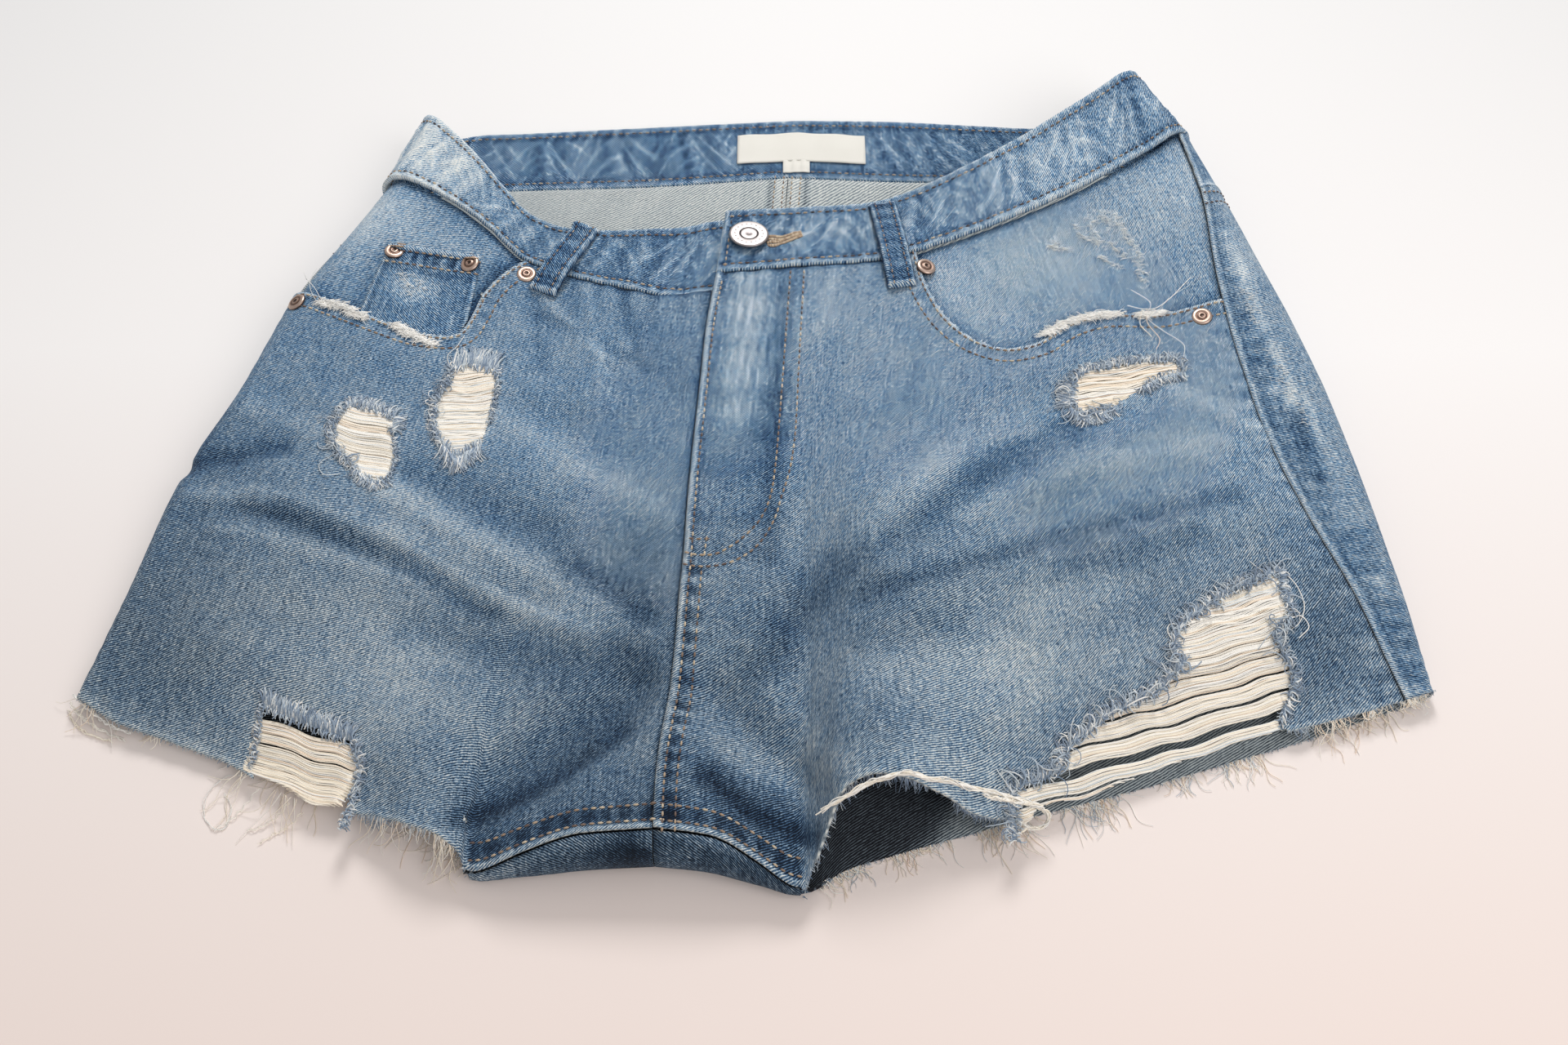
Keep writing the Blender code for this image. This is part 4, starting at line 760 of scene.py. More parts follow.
def front_relief(side, x, y, s, a, to_bottom):
    """How far the cloth stands off the plain form, and how its tone changes there: wash, wear, and painted
    shade.
    """
    length = down(side, "front", 0.5)
    to_waist, to_hem = s * length, to_bottom * length
    to_centre = centre_run(side, "front", s) - a
    to_side = a - seam_at(side, s)
    rise, tone = np.zeros_like(x), 0.39 + ridges(WASH_AND_SHADE, x, y)
    if side == "left":
        tone += 0.02 + 0.05 * smooth((y + 9.0) / 5.0) - 0.03 * bump(np.hypot(x - 2.0, y + 10.0), 4.0)
    else:
        tone += 0.02 - 0.05 * bump(np.hypot(x + 7.5, y + 11.5), 5.0)
    for line, height, width, change in CREASES:
        near = bump(along(x, y, line)[0], width * (1 + 0.25 * wander(x + 2 * y, 2.6, 2)))
        rise += 1.35 * height * near
        tone += 1.6 * change * near
    # the lapped fly and crotch edge: the left front lies over the right, and a painted shadow darkens the
    # right front along its centre, under that edge
    run = -y
    if side == "left":
        rise += (0.13 * smooth((0.42 - to_centre) / 0.25)
                 + 0.015 * wander(run, 0.9, 3) * bump(to_centre - 0.5, 0.6))
        rise -= 0.11 * smooth((0.05 - to_centre) / 0.05)
        tone += 0.36 * bump(to_centre - 0.10, 0.12) - 0.20 * bump(to_centre - 0.36, 0.10)
        patch = smooth((y + 7.6) / 0.8) * smooth((4.2 - to_centre) / 0.8)
        streak = np.maximum(wander(to_centre + 0.12 * np.sin(y * 0.9), 0.42, 5), 0)
        groove = np.maximum(-wander(to_centre + 0.05 * y, 0.30, 6), 0)
        tone += patch * (0.16 * bump(to_centre - 1.7, 0.9) * smooth((y + 2.5) / 3.0) - 0.07
                         + 0.32 * streak * smooth((y + 1.5) / 3.0) * (0.6 + 0.4 * wander(run, 2.6, 7))
                         - 0.12 * groove * smooth((y + 3.0) / 3.0)
                         - 0.10 * bump(to_centre - 3.4, 0.5) + 0.04 * wander(run, 1.7, 8))
    else:
        rise -= 0.03 * smooth((0.3 - to_centre) / 0.3)
        tone -= 0.22 * bump(to_centre, 0.16)
    # seam allowances under the crotch, the inseam and the sides make uneven ropes
    below_fly = smooth((-6.6 - y) / 0.8)
    band, rope = bump(to_centre - 0.55, 0.38) if side == "left" else 0.0, wander(run, 0.85, 11)
    tone += band * below_fly * (-0.13 + 0.24 * rope)
    rise += band * below_fly * 0.03 * rope
    on_inseam = smooth((x + 10.5) / 0.3) if side == "right" else smooth((1.9 - x) / 0.3)
    rope = wander(x, 0.8, 13)
    rise += on_inseam * (0.07 * smooth((0.30 - to_hem) / 0.2) + 0.03 * bump(to_hem - 0.55, 0.35) * rope)
    # toward the inseam the cloth is also a little darker over a few centimetres, besides its pale edge, a
    # dark line and the rope
    tone += on_inseam * (0.34 * bump(to_hem - 0.08, 0.13) - 0.12 * bump(to_hem - 0.3, 0.1)
                         + bump(to_hem - 0.62, 0.36) * (-0.24 + 0.22 * rope) - 0.12 * bump(to_hem - 1.2, 1.6))
    ropes, twist = bump(to_side - 0.35, 0.45), wander(run, 0.9, 17 - TURN[side])
    rise += ropes * 0.03 * twist - 0.05 * smooth((0.10 - to_side) / 0.06)
    tone += ropes * (0.02 + 0.12 * twist) - 0.12 * bump(to_side - 0.03, 0.08)
    # pulled cloth under the waistband, and a painted shadow along the cloth just under the band's edge
    pull = wander(x, 1.1, 23)
    rise += 0.035 * bump(to_waist, 1.2) * pull
    tone += bump(to_waist, 1.4) * (0.08 * pull) - 0.30 * bump(to_waist, 0.16)
    # the pocket mouth is folded under and stitched twice
    mouth, _ = pocket_mouth(side)
    away, along_mouth = along(x, y, mouth)
    away, rope = np.abs(away), wander(along_mouth, 0.8, 29)
    rise += (0.07 * smooth((0.24 - away) / 0.16) - 0.03 * bump(away, 0.05)
             + 0.02 * bump(away - 0.5, 0.3) * rope)
    tone += (0.26 * bump(away - 0.10, 0.12) - 0.14 * bump(away - 0.26, 0.07)
             + bump(away - 0.55, 0.35) * (-0.02 + 0.11 * rope))
    # rubbed and bruised cloth round the torn places, and pale raw hems
    for corners in torn_of(side):
        near = edge_distance(x, y, corners)
        tone += 0.10 * bump(near, 0.35)
        rise += 0.03 * bump(near, 0.3) * wander(x + y, 0.7, 31)
    raw = 1 - on_inseam
    tone += raw * (0.20 * bump(to_hem, 0.16) + 0.04 * bump(to_hem, 0.7))
    rise += raw * 0.05 * bump(to_hem, 0.8) * wander(x, 1.3, 37)
    return rise, tone


def snap(points, line, reach):
    """Pulls the grid's points that lie within reach of a line onto it, in plan."""
    start, end = np.array(line[:-1]), np.array(line[1:])
    best, target = np.full(points.shape[:2], 1e9), points[..., :2].copy()
    for p, q in zip(start, end):
        d = q - p
        t = np.clip(((points[..., :2] - p) @ d) / (d @ d), 0, 1)
        spot = p + t[..., None] * d
        away = np.linalg.norm(points[..., :2] - spot, axis=-1)
        target = np.where((away < best)[..., None], spot, target)
        best = np.minimum(best, away)
    points[..., :2] = np.where((best < reach)[..., None], target, points[..., :2])


def face_middles(points):
    return (points[:-1, :-1] + points[1:, :-1] + points[1:, 1:] + points[:-1, 1:]) / 4


def build_front(side):
    s, a, to_bottom = front_cloth(side)
    form = body(side, s, a)
    outward = normals(lambda p, q: body(side, p, q), s, a, 1)
    rise, tone = front_relief(side, form[..., 0], form[..., 1], s, a, to_bottom)
    points = form + outward * rise[..., None]
    mouth, region = pocket_mouth(side)
    snap(points, mouth, 0.09)
    centre = face_middles(points)
    keep = ~inside(centre[..., 0], centre[..., 1], region)
    for corners in torn_of(side):
        keep &= ~inside(centre[..., 0], centre[..., 1], corners)
    share = np.linspace(0, 1, ACROSS_STEPS)[:, None]
    flat = np.stack([TURN[side] * (share * PATTERN_WIDTH + 0 * s), -s * PATTERN_LENGTH], -1)
    dust_and_bounce_light = 0.08 + 0.50 * smooth((-1.0 - form[..., 1]) / 8.0)
    dust_and_bounce_light += 0.18 * smooth((-form[..., 0] - 10.0) / 8.0) * smooth((5.0 - form[..., 1]) / 6.0)
    marks = {"fade_and_shade": tone, "dust_and_bounce_light": dust_and_bounce_light}
    shell("front_%s_cloth" % side, points, outward, flat, marks, BOTH_FACES, CLOTH, keep)


for side in SIDES:
    build_front(side)
    print("front", side, len(pieces["front_%s_cloth" % side].data.polygons), "faces")

# %% [markdown]
# ## Backs and yokes
# The backs lie underneath and are seen through the waist, at the torn hem, round the side at the wearer's
# left and along the crotch. They use the same body function with negative distances. Each back rolls
# round the inseam fold and ends at its stitching in front, just as the flat-felled seam of real shorts
# brings the back panel forward.

# %% Build the backs and yokes
BACK_COLUMNS, BACK_ROWS, YOKE_ROWS, YOKE_LENGTH = 104, 112, 24, 4.5


def yoke_s(share):
    return 0.115 + 0.095 * share


def back_at(side, s, share):
    """A back's outer face at a share of its width from the side seam to the centre."""
    first, last = seam_at(side, s) + 0.03, -centre_run(side, "back", s) + SEAM
    return body(side, s, first + share * (last - first))


def back_point(side, share, q):
    """A back's outer face; past its hem line, where the inseam is, the cloth goes on over the front."""
    at, front_at = corner[side, "back"], corner[side, "front"]
    share, q = np.broadcast_arrays(np.asarray(share, float), np.asarray(q, float))
    first = yoke_s(share) + SEAM / BACK_LENGTH
    start, stop = seam_at(side, 1.0) + 0.03, -centre_run(side, "back", 1.0) + SEAM
    a = start + share * (stop - start)
    u = np.minimum(roll(a, read(outline[side], 1.0, 2))[0] / across(side, "back", 1.0), 1 - SEAM / 23)
    t = np.clip((u - at) / (1 - at), 0, 1)
    radius = bottom_radius(side, "back", u)[0]
    reach = 0.15 + 0.80 * smooth(t * 1.6) - 2.5 * SEAM
    over = radius * np.arccos(1 - np.minimum(reach, radius) / radius)
    length = down(side, "back", u)
    total = cloth_run(length * (1 - first), radius)
    run = -total + (total + over) * q
    e = roll(run, radius)[0]
    plain = (a > 0) | (u <= at)
    behind = back_at(side, np.where(plain, first + (1 - first) * q, 1 - e / length), share)
    fu = front_at + t * (1 - front_at)
    fs = 1 - e / down(side, "front", fu)
    ahead = plan(side, "front", fu, fs)
    z = front_height(side, fu, fs, ahead[..., 0], ahead[..., 1])
    over_front = (~plain & (run > 0))[..., None]
    return np.where(over_front, raised(ahead, z), behind)


def back_share(count):
    return np.interp(np.linspace(0, 1, count), (0, 0.42, 1), (0, 0.20, 1))


def back_tone(x, y, share, seed):
    from_seam = share * PATTERN_WIDTH
    tone = 0.42 + 0.10 * bump(np.hypot(x - np.where(x > 0, 10.5, -10.0), y - 1.0), 5.0)
    tone = tone + ridges(WASH_BACK, x, y)
    tone += (bump(from_seam - 0.75, 0.45) * (-0.05 + 0.12 * wander(-y, 0.85, seed))
             + 0.20 * bump(from_seam - 0.10, 0.10))
    tone -= 0.12 * bump(from_seam - 0.34, 0.10)
    worn_line = from_seam - 1.2 - 0.5 * wander(-y, 2.3, seed + 6)
    worn = smooth(wander(0.5 * from_seam - y, 3.1, seed + 5)) * bump(worn_line, 0.5)
    tone += worn * (0.16 + 0.12 * wander(from_seam - 0.3 * y, 0.7, seed + 7))
    return tone + bump(1 - share, 0.03) * (0.04 + 0.12 * wander(-y, 0.9, seed + 1))


# Paler or darker lines of the backs: worn lines along the left side seam, bands across the legs, and, in the
# last two rows, a darker inseam roll at the crotch.
WASH_BACK = table("x0 y0 x1 y1 tone width", (22.6, 8.5, 23.8, -4.0, 0.08, 1.2),
    (20.6, 12.5, 21.6, 8.0, 0.10, 0.7), (20.6, 9.5, 21.4, 4.5, 0.20, 0.35),
    (21.7, 3.6, 22.2, 0.9, 0.22, 0.30), (22.3, -0.2, 22.9, -2.8, -0.22, 0.40),
    (22.7, 1.0, 23.2, -1.0, 0.18, 0.20), (-8.0, -12.5, -18.0, -9.5, 0.07, 0.7),
    (5.0, -12.5, 17.0, -9.5, 0.07, 0.7), (-7.0, -9.0, -18.5, -7.0, -0.06, 0.9),
    (4.0, -9.2, 18.0, -7.0, -0.06, 0.9), (-10.0, -18.6, -4.5, -18.7, -0.34, 0.9),
    (-4.5, -18.6, 1.6, -19.6, -0.30, 0.9))


def inner_fell(share):
    """The seam allowance inside the centre back: a paler strip with dark edges."""
    away = (1 - share) * PATTERN_WIDTH
    return 0.12 * bump(away, 0.7) - 0.34 * bump(away - 0.95, 0.10) - 0.14 * bump(away - 0.2, 0.05)


def build_back(side, seed):
    share, q = back_share(BACK_COLUMNS)[:, None], np.linspace(0, 1, BACK_ROWS)[None, :] ** 0.9
    form = back_point(side, share, q)
    outward = normals(lambda p, r: back_point(side, r, p), q + 0 * share, share + 0 * q, -1, 0.002, 0.003)
    share, q = np.broadcast_arrays(share, q)
    x, y = form[..., 0], form[..., 1]
    from_seam = share * PATTERN_WIDTH
    rise = 0.05 * bump(from_seam - 0.75, 0.45) * wander(-y, 0.85, seed)
    rise = rise + 0.05 * smooth((0.30 - from_seam) / 0.16)
    rise += 0.05 * smooth((0.012 - q) / 0.008)
    rise = np.where(form[..., 2] < 0.35, np.minimum(rise, 0.0), rise)
    tone = back_tone(x, y, share, seed) + 0.20 * bump(q - 0.99, 0.012) * (x * TURN[side] > 3)
    flat = np.stack([share * PATTERN_WIDTH * TURN[side], -q * PATTERN_LENGTH], -1)
    # The inside is darker: painted shade under the arched hem of the left leg and behind its torn hem, where
    # little light gets in; on the right it is darker toward the hem.
    if side == "left":
        shade = -0.64 * smooth((8.8 - np.hypot(x - 0.5, y + 13.0)) / 1.8)
        shade = np.minimum(shade, -0.24 * smooth((-8.0 - y) / 1.5) * smooth((x - 5.0) / 2.0))
    else:
        shade = -0.5 * smooth((-9.0 - y) / 1.5)
    # greyer toward the bottom, as painted warm light bounced up from the table, mostly seen on the inseam
    # roll
    dust_and_bounce_light = 0.2 + 0.8 * smooth((-15.0 - y) / 3.0)
    shell("back_%s_cloth" % side, form + outward * rise[..., None], outward, flat,
          {"fade_and_shade": tone, "shade": shade + inner_fell(share), "dust_and_bounce_light": dust_and_bounce_light}, BOTH_FACES, CLOTH)


def build_yoke(side, seed):
    share, q = back_share(BACK_COLUMNS)[:, None], np.linspace(0, 1, YOKE_ROWS)[None, :]
    top = 0.03 / down(side, "back", 0.5)

    def face(r, p):
        return back_at(side, top + (yoke_s(r) - SEAM / BACK_LENGTH - top) * p, r)

    form = face(share, q)
    outward = normals(lambda p, r: face(r, p), q + 0 * share, share + 0 * q, -1, 0.002, 0.01)
    share, q = np.broadcast_arrays(share, q)
    rise = 0.06 * smooth((q - 0.93) / 0.04) + 0.03 * bump(share, 0.03) * wander(-form[..., 1], 0.8, seed)
    rise = np.where(form[..., 2] < 0.5, np.minimum(rise, 0.0), rise)
    tone = back_tone(form[..., 0], form[..., 1], share, seed)
    tone = tone + 0.24 * bump(q - 0.96, 0.03) - 0.30 * bump(q - 1.0, 0.02)
    tone += bump(q - 0.80, 0.14) * (0.02 + 0.12 * wander(form[..., 0], 0.8, seed + 2))
    flat = np.stack([share * PATTERN_WIDTH * TURN[side], -q * YOKE_LENGTH], -1)
    shell("yoke_%s_cloth" % side, form + outward * rise[..., None], outward, flat,
          {"fade_and_shade": tone, "shade": inner_fell(share)}, BOTH_FACES, CLOTH)


for seed, side in enumerate(SIDES, 41):
    build_back(side, seed)
    build_yoke(side, seed + 10)
    print("back", side, len(pieces["back_%s_cloth" % side].data.polygons), "faces")

# %% [markdown]
# ## Waistband
# The waistband is a straight strip, folded double and sewn on like a ring that laps at the centre front.
# It stands up in front as a stiff, wavy hoop. It is drawn round the ring, `w`, from the end under the
# button (0) over the sides (1 and 3) and the centre back (2) to the lapping end (4). Diagonal pulls
# between its rows of stitches, the roping of a washed waistband, are its most telling detail.

# %% Build the waistband
BAND_STEPS, BAND_ROWS, BAND_WIDTH = 620, 30, 4.0
band_lines = {(s, layer, end): curve(tables[s]) for s in SIDES for layer, end, tables in (
    ("front", 0, WAIST_FRONT), ("front", 1, TOP_FRONT), ("back", 0, WAIST_BACK), ("back", 1, TOP_BACK))}


def band_radius(side, h):
    lower = outline[side][1][0, 2]
    return lower + (TOP_RADIUS[side] - lower) * h


def band(side, h, a):
    """The waistband's middle face: h from the seam (0) to the top (1), a as on the body."""
    h, a = np.broadcast_arrays(np.asarray(h, float), np.asarray(a, float))
    radius = band_radius(side, h)
    d, z = roll(a, radius)
    out = np.zeros(a.shape + (3,))
    for layer in ("front", "back"):
        lo, hi = band_lines[side, layer, 0], band_lines[side, layer, 1]
        u = d / (lo[2] + (hi[2] - lo[2]) * h)
        point = read(lo, u) * (1 - h[..., None]) + read(hi, u) * h[..., None]
        point[..., 0] -= np.maximum(u - 1, 0.0) * lo[2] * TURN[side]
        if layer == "front":
            flat_z = read(lo, u, 2) * (1 - h) + read(hi, u, 2) * h
            dip = -0.34 * smooth((point[..., 0] + 5.5) / 2.5) if side == "right" else 0.0
            level = 2 * radius + (flat_z - 2 * radius) * smooth((d - radius) / 5.0) + dip
            height = np.where(d > radius, level, z)
        else:
            height = z + WAIST_LIFT * np.clip(1 - z / radius, 0, 1)
        here = (a >= 0) if layer == "front" else (a < 0)
        out[here] = raised(point, height)[here]
    return out


def band_run(side, layer, h):
    length = band_lines[side, layer, 0][2] * (1 - h) + band_lines[side, layer, 1][2] * h
    return cloth_run(length, band_radius(side, h))


def band_at(w, h):
    w, h = np.broadcast_arrays(np.clip(w, 0, 4), h)
    out = np.zeros(w.shape + (3,))
    for side, here in (("right", w < 2), ("left", w >= 2)):
        near_end = w <= 1 if side == "right" else w >= 3
        front_run = band_run(side, "front", h)
        ahead = (1 - w) * (front_run + UNDERLAP) if side == "right" else (w - 3) * front_run
        a = np.where(near_end, ahead, (np.abs(w - 2) - 1) * band_run(side, "back", h))
        out[here] = band(side, h, a)[here]
    return out


def band_normals(w, h):
    round_it = band_at(w + 1e-3, h) - band_at(w - 1e-3, h)
    return unit(np.cross(round_it, band_at(w, h + 1e-3) - band_at(w, h - 1e-3)))


def band_relief(form, h):
    """Edges swell, stitch rows sink, and the cloth between them pulls into slanting ripples."""
    step = np.linalg.norm(np.diff(form[:, 0], axis=0), axis=1)
    run = np.concatenate([[0.0], np.cumsum(step)])[:, None] + 0 * h
    waver = wander(run + 2.0 * h, 3.1, 60)
    first = wander(run + 3.4 * h + 0.5 * waver, 1.5, 61)
    second = wander(run - 2.6 * h - 0.4 * waver, 1.9, 62)
    veins = 0.75 * bump(first, 0.24) * smooth(0.5 + waver)
    veins = veins + 0.65 * bump(second, 0.20) * smooth(0.8 - 0.9 * waver)
    between = bump(h - 0.50, 0.42)
    ripple = wander(run + 1.2 * h + 0.4 * waver, 1.25, 63)
    fine = wander(run - 0.8 * h, 0.62, 67)
    rise = between * (0.06 * ripple + 0.07 * (veins - 0.4)) + 0.025 * fine * bump(h - 0.9, 0.3)
    rise += -0.04 * bump(h - 0.90, 0.035) - 0.03 * bump(h - 0.10, 0.035)
    rise += 0.03 * bump(h - 0.02, 0.05) + 0.02 * bump(h - 1.0, 0.06)
    front = smooth((form[..., 2] - 1.2) / 0.6)
    rise = rise * np.where(form[..., 2] < 0.7, 0.3, 1.0)
    tone = 0.32 + between * (0.14 * ripple + 0.36 * veins) + 0.14 * fine * bump(h - 0.93, 0.18)
    tone += 0.24 * bump(h - 1.0, 0.03) + 0.26 * bump(h - 0.01, 0.05) - 0.14 * bump(h - 0.88, 0.03)
    tone += -0.12 * bump(h - 0.13, 0.03) + 0.12 * fine * bump(h - 0.08, 0.10)
    x, y = form[..., 0], form[..., 1]
    tone += 0.10 * front * bump(np.hypot(x - 4.5, y - 11.4), 2.0)
    peaks = bump(np.hypot(x + 15.2, y - 14.4), 3.7) + 0.36 * bump(np.hypot(x - 12.6, y - 13.2), 4.0)
    tone += 0.44 * front * peaks
    tone += 0.10 * front * bump(np.hypot(x - 15.0, y - 15.4), 3.0) * wander(run * 1.7 + 5 * h, 0.6, 69)
    tone -= 0.05 * (1 - front)
    return rise, tone, run


def build_waistband():
    # the columns stand closer together where the strip turns round a side
    w = np.interp(np.linspace(0, 1, BAND_STEPS), (0, 0.17, 0.31, 0.5, 0.66, 0.80, 1),
                  (0, 0.80, 1.16, 2, 2.84, 3.2, 4))
    w, h = np.meshgrid(w, np.linspace(0.008, 1, BAND_ROWS), indexing="ij")
    form = band_at(w, h)
    outward = band_normals(w, h)
    ring = np.searchsorted(w[:, 0], 2.0)
    if outward[ring, BAND_ROWS // 2, 2] > 0:
        outward = -outward
    rise, tone, run = band_relief(form, h)
    # the lapping end is folded in, so it is rounder and paler at its edge
    end = np.minimum(run[-1] - run, run)
    tone = tone + 0.30 * bump(end - 0.06, 0.10) - 0.10 * bump(end - 0.30, 0.08)
    rise = rise + BAND_OUT - 0.05 * smooth((0.10 - end) / 0.1)
    flat = np.stack([run, h * BAND_WIDTH], -1)
    points = form + outward * rise[..., None]
    shell("waistband_cloth", points, outward, flat, {"fade_and_shade": tone}, [DENIM], BAND_WALL)
    print("waistband length, cm:", run[-1, 0].round(1))


build_waistband()

# %% [markdown]
# ## Pocket facings, coin pocket and patch pockets
# Inside each pocket mouth lies a facing, sewn to the side and the waist. The coin pocket is a small patch
# on the right facing. The two patch pockets are under the garment, where it rests on them.

# %% Build the pocket pieces
FACING_COLUMNS, FACING_ROWS = 72, 64
COIN_WIDTH, PATCH_WIDTH, PATCH_LENGTH = 4.2, 12.0, 11.0
# Scratches of stone washing on the left facing
SCRATCHES = table("x0 y0 x1 y1 tone width", (14.7, 10.7, 15.1, 9.3, 0.42, 0.10),
    (15.3, 11.0, 15.5, 10.1, 0.40, 0.09), (15.8, 10.9, 16.2, 10.1, 0.40, 0.10),
    (16.2, 10.1, 16.7, 9.2, 0.38, 0.10), (16.7, 9.2, 16.8, 7.3, 0.30, 0.12),
    (12.9, 9.2, 13.7, 9.1, 0.36, 0.12), (13.2, 9.6, 13.0, 9.0, 0.26, 0.10),
    (14.9, 9.0, 15.9, 8.3, 0.25, 0.09), (15.6, 9.6, 16.3, 8.8, 0.26, 0.08),
    (14.0, 10.3, 14.6, 9.5, 0.20, 0.10))


def build_facing(side):
    mouth, region = pocket_mouth(side)
    top = 0.03 / down(side, "front", 0.5)
    reach = abs(SCOOP[side]["x"][0] - OUTLINE[side]["x"][0]) * 1.16 + 1.0 - float(seam_at(side, 0.0))
    share, trial = np.linspace(0, 1, FACING_COLUMNS), np.linspace(0.0, 0.6, 121)
    grid_s, grid_share = np.meshgrid(trial, share)
    reached = body(side, grid_s, seam_at(side, grid_s) + SEAM + grid_share * reach)
    held = inside(reached[..., 0], reached[..., 1], region)
    low = np.where(held.any(axis=1), trial[held.shape[1] - 1 - np.argmax(held[:, ::-1], axis=1)], 0.0)
    s = top + (low + 0.9 / FRONT_LENGTH - top)[:, None] * np.linspace(0, 1, FACING_ROWS)[None, :]
    a = seam_at(side, s) + SEAM + share[:, None] * reach
    form = body(side, s, a)
    outward = normals(lambda p, q: body(side, p, q), s, a, 1)
    x, y = form[..., 0], form[..., 1]
    away = np.abs(along(x, y, mouth)[0])
    to_waist = s * FRONT_LENGTH
    tone = 0.50 if side == "left" else 0.43
    tone = tone + 0.10 * smooth((to_waist - 0.2) / 1.5) * bump(to_waist - 2.2, 2.4)
    # painted shade beside the pocket mouth, where the front's edge stands over the facing, and just under the
    # waistband
    tone -= 0.20 * bump(away, 0.45) + 0.22 * bump(to_waist, 0.30)
    rise = 0.02 * wander(x, 1.2, 71) * bump(to_waist, 1.4)
    if side == "left":
        scratch = ridges(SCRATCHES, x, y)
        tone -= 0.07 * bump(np.hypot(x - 16.0, y - 7.4), 1.8)
        tone += 0.45 * scratch
        rise += 0.02 * scratch
    else:
        tone += (0.12 * bump(np.hypot(x + 18.4, y - 10.9), 1.9)
                 + 0.14 * bump(np.hypot(x + 17.0, y - 12.4), 1.6))
        # the shade at both sides of the coin pocket
        tone -= (0.10 * bump(distance_to(x, y, -17.2, 6.4, -16.4, 9.4), 0.35)
                 + 0.26 * bump(distance_to(x, y, -12.4, 5.2, -11.6, 8.0), 0.60))
    flat = np.stack([a * TURN[side], -s * PATTERN_LENGTH], -1)
    shell("facing_%s_cloth" % side, form + outward * (rise - FACING_DEPTH)[..., None], outward, flat,
          {"fade_and_shade": tone}, BOTH_FACES, CLOTH)


for side in SIDES:
    build_facing(side)


def drop(names, x, y, from_above=True):
    """The highest (or lowest) point over each plan point, with the cloth's normal there."""
    x, y = np.broadcast_arrays(np.asarray(x, float), np.asarray(y, float))
    start, way = (9.0, -1.0) if from_above else (-1.0, 1.0)
    points, outward = np.zeros(x.shape + (3,)), np.zeros(x.shape + (3,))
    for index in np.ndindex(x.shape):
        best = None
        for name in names:
            hit, normal, _, _ = trees[name].ray_cast((x[index], y[index], start), (0, 0, way))
            if hit is not None and (best is None or (hit.z - best[0].z) * way < 0):
                best = (hit, normal)
        if best is None:
            hit, normal, _, _ = trees[names[0]].find_nearest((x[index], y[index], 2.0 if from_above else 0.0))
            best = (hit, normal)
        points[index] = best[0]
        outward[index] = best[1] if best[1].z * way < 0 else -best[1]
    points[..., 0], points[..., 1] = x, y
    return points, outward


def build_coin_pocket():
    scoop = curve(SCOOP["right"])
    order = np.argsort(scoop[1][:, 0])
    (x0, y0), (x1, y1) = COIN["top"]
    t = np.linspace(0, 1, 44)
    head_x, head_y = x0 + (x1 - x0) * t, y0 + (y1 - y0) * t
    foot_x = COIN["outer"][0] + (COIN["inner"][0] - COIN["outer"][0]) * t
    foot_y = np.interp(foot_x, scoop[1][order, 0], scoop[1][order, 1]) - 0.35
    q = np.linspace(0, 1, 34)[None, :]
    x = head_x[:, None] * (1 - q) + foot_x[:, None] * q
    y = head_y[:, None] * (1 - q) + foot_y[:, None] * q
    points, outward = drop(["facing_right_cloth"], x, y)
    length = np.linalg.norm(points[:, -1] - points[:, 0], axis=1).mean()
    from_top, across_it = q * length + 0 * x, t[:, None] * COIN_WIDTH + 0 * x
    rows = bump(from_top - 0.55, 0.28)
    pucker = wander(across_it, 0.62, 73)
    rise = 0.16 + 0.09 * smooth((0.26 - from_top) / 0.14) + 0.06 * rows * pucker
    rise += 0.03 * smooth((1.15 - from_top) / 0.10)
    side_edge = np.minimum(across_it, COIN_WIDTH - across_it)
    rise -= 0.05 * smooth((0.12 - side_edge) / 0.12) + 0.02 * bump(from_top - 0.3, 0.05)
    tone = 0.37 + 0.30 * bump(from_top - 0.08, 0.13) - 0.24 * bump(from_top - 0.30, 0.08)
    tone += rows * (-0.12 + 0.38 * pucker) + 0.26 * bump(side_edge - 0.06, 0.08)
    tone -= 0.16 * bump(from_top - 1.22, 0.12) + 0.16 * bump(side_edge - 0.24, 0.08)
    rubbed_middle = 0.30 * bump(np.hypot(across_it - 1.6, from_top - 2.1), 0.80)
    tone += rubbed_middle * (1 + 0.7 * wander(x * 1.7 + y, 0.3, 79))
    shell("coin_pocket_cloth", points + outward * rise[..., None], outward,
          np.stack([across_it, -from_top], -1), {"fade_and_shade": tone}, BOTH_FACES, 0.09)


def build_patch_pocket(side, seed):
    (ax, ay), (bx, by), (cx, cy), (dx, dy), (ex, ey) = BACK_POCKETS[side]
    u, v = np.meshgrid(np.linspace(0, 1, 60), np.linspace(0, 1, 56), indexing="ij")
    foot_x = np.interp(u, (0, 0.5, 1), (ex, dx, cx))
    foot_y = np.interp(u, (0, 0.5, 1), (ey, dy, cy))
    x = (ax + (bx - ax) * u) * (1 - v) + foot_x * v
    y = (ay + (by - ay) * u) * (1 - v) + foot_y * v
    width, length = u * PATCH_WIDTH, v * PATCH_LENGTH
    edge = np.minimum.reduce([width, (1 - u) * PATCH_WIDTH, length, (1 - v) * PATCH_LENGTH])
    pucker = wander(width + length, 0.8, seed)
    z = 0.02 + 0.05 * smooth((0.15 - edge) / 0.15) + 0.012 * bump(edge - 0.45, 0.3) * (1 + pucker)
    points = np.stack([x, y, z], -1)
    tone = 0.42 + 0.26 * bump(edge, 0.12) + bump(edge - 0.45, 0.3) * 0.10 * pucker
    tone += 0.10 * bump(np.hypot(u - 0.5, v - 0.45), 0.4)
    shell("patch_pocket_%s_cloth" % side, points, np.zeros_like(points) + (0.0, 0.0, -1.0),
          np.stack([width, -length], -1), {"fade_and_shade": tone}, BOTH_FACES, 0.11)


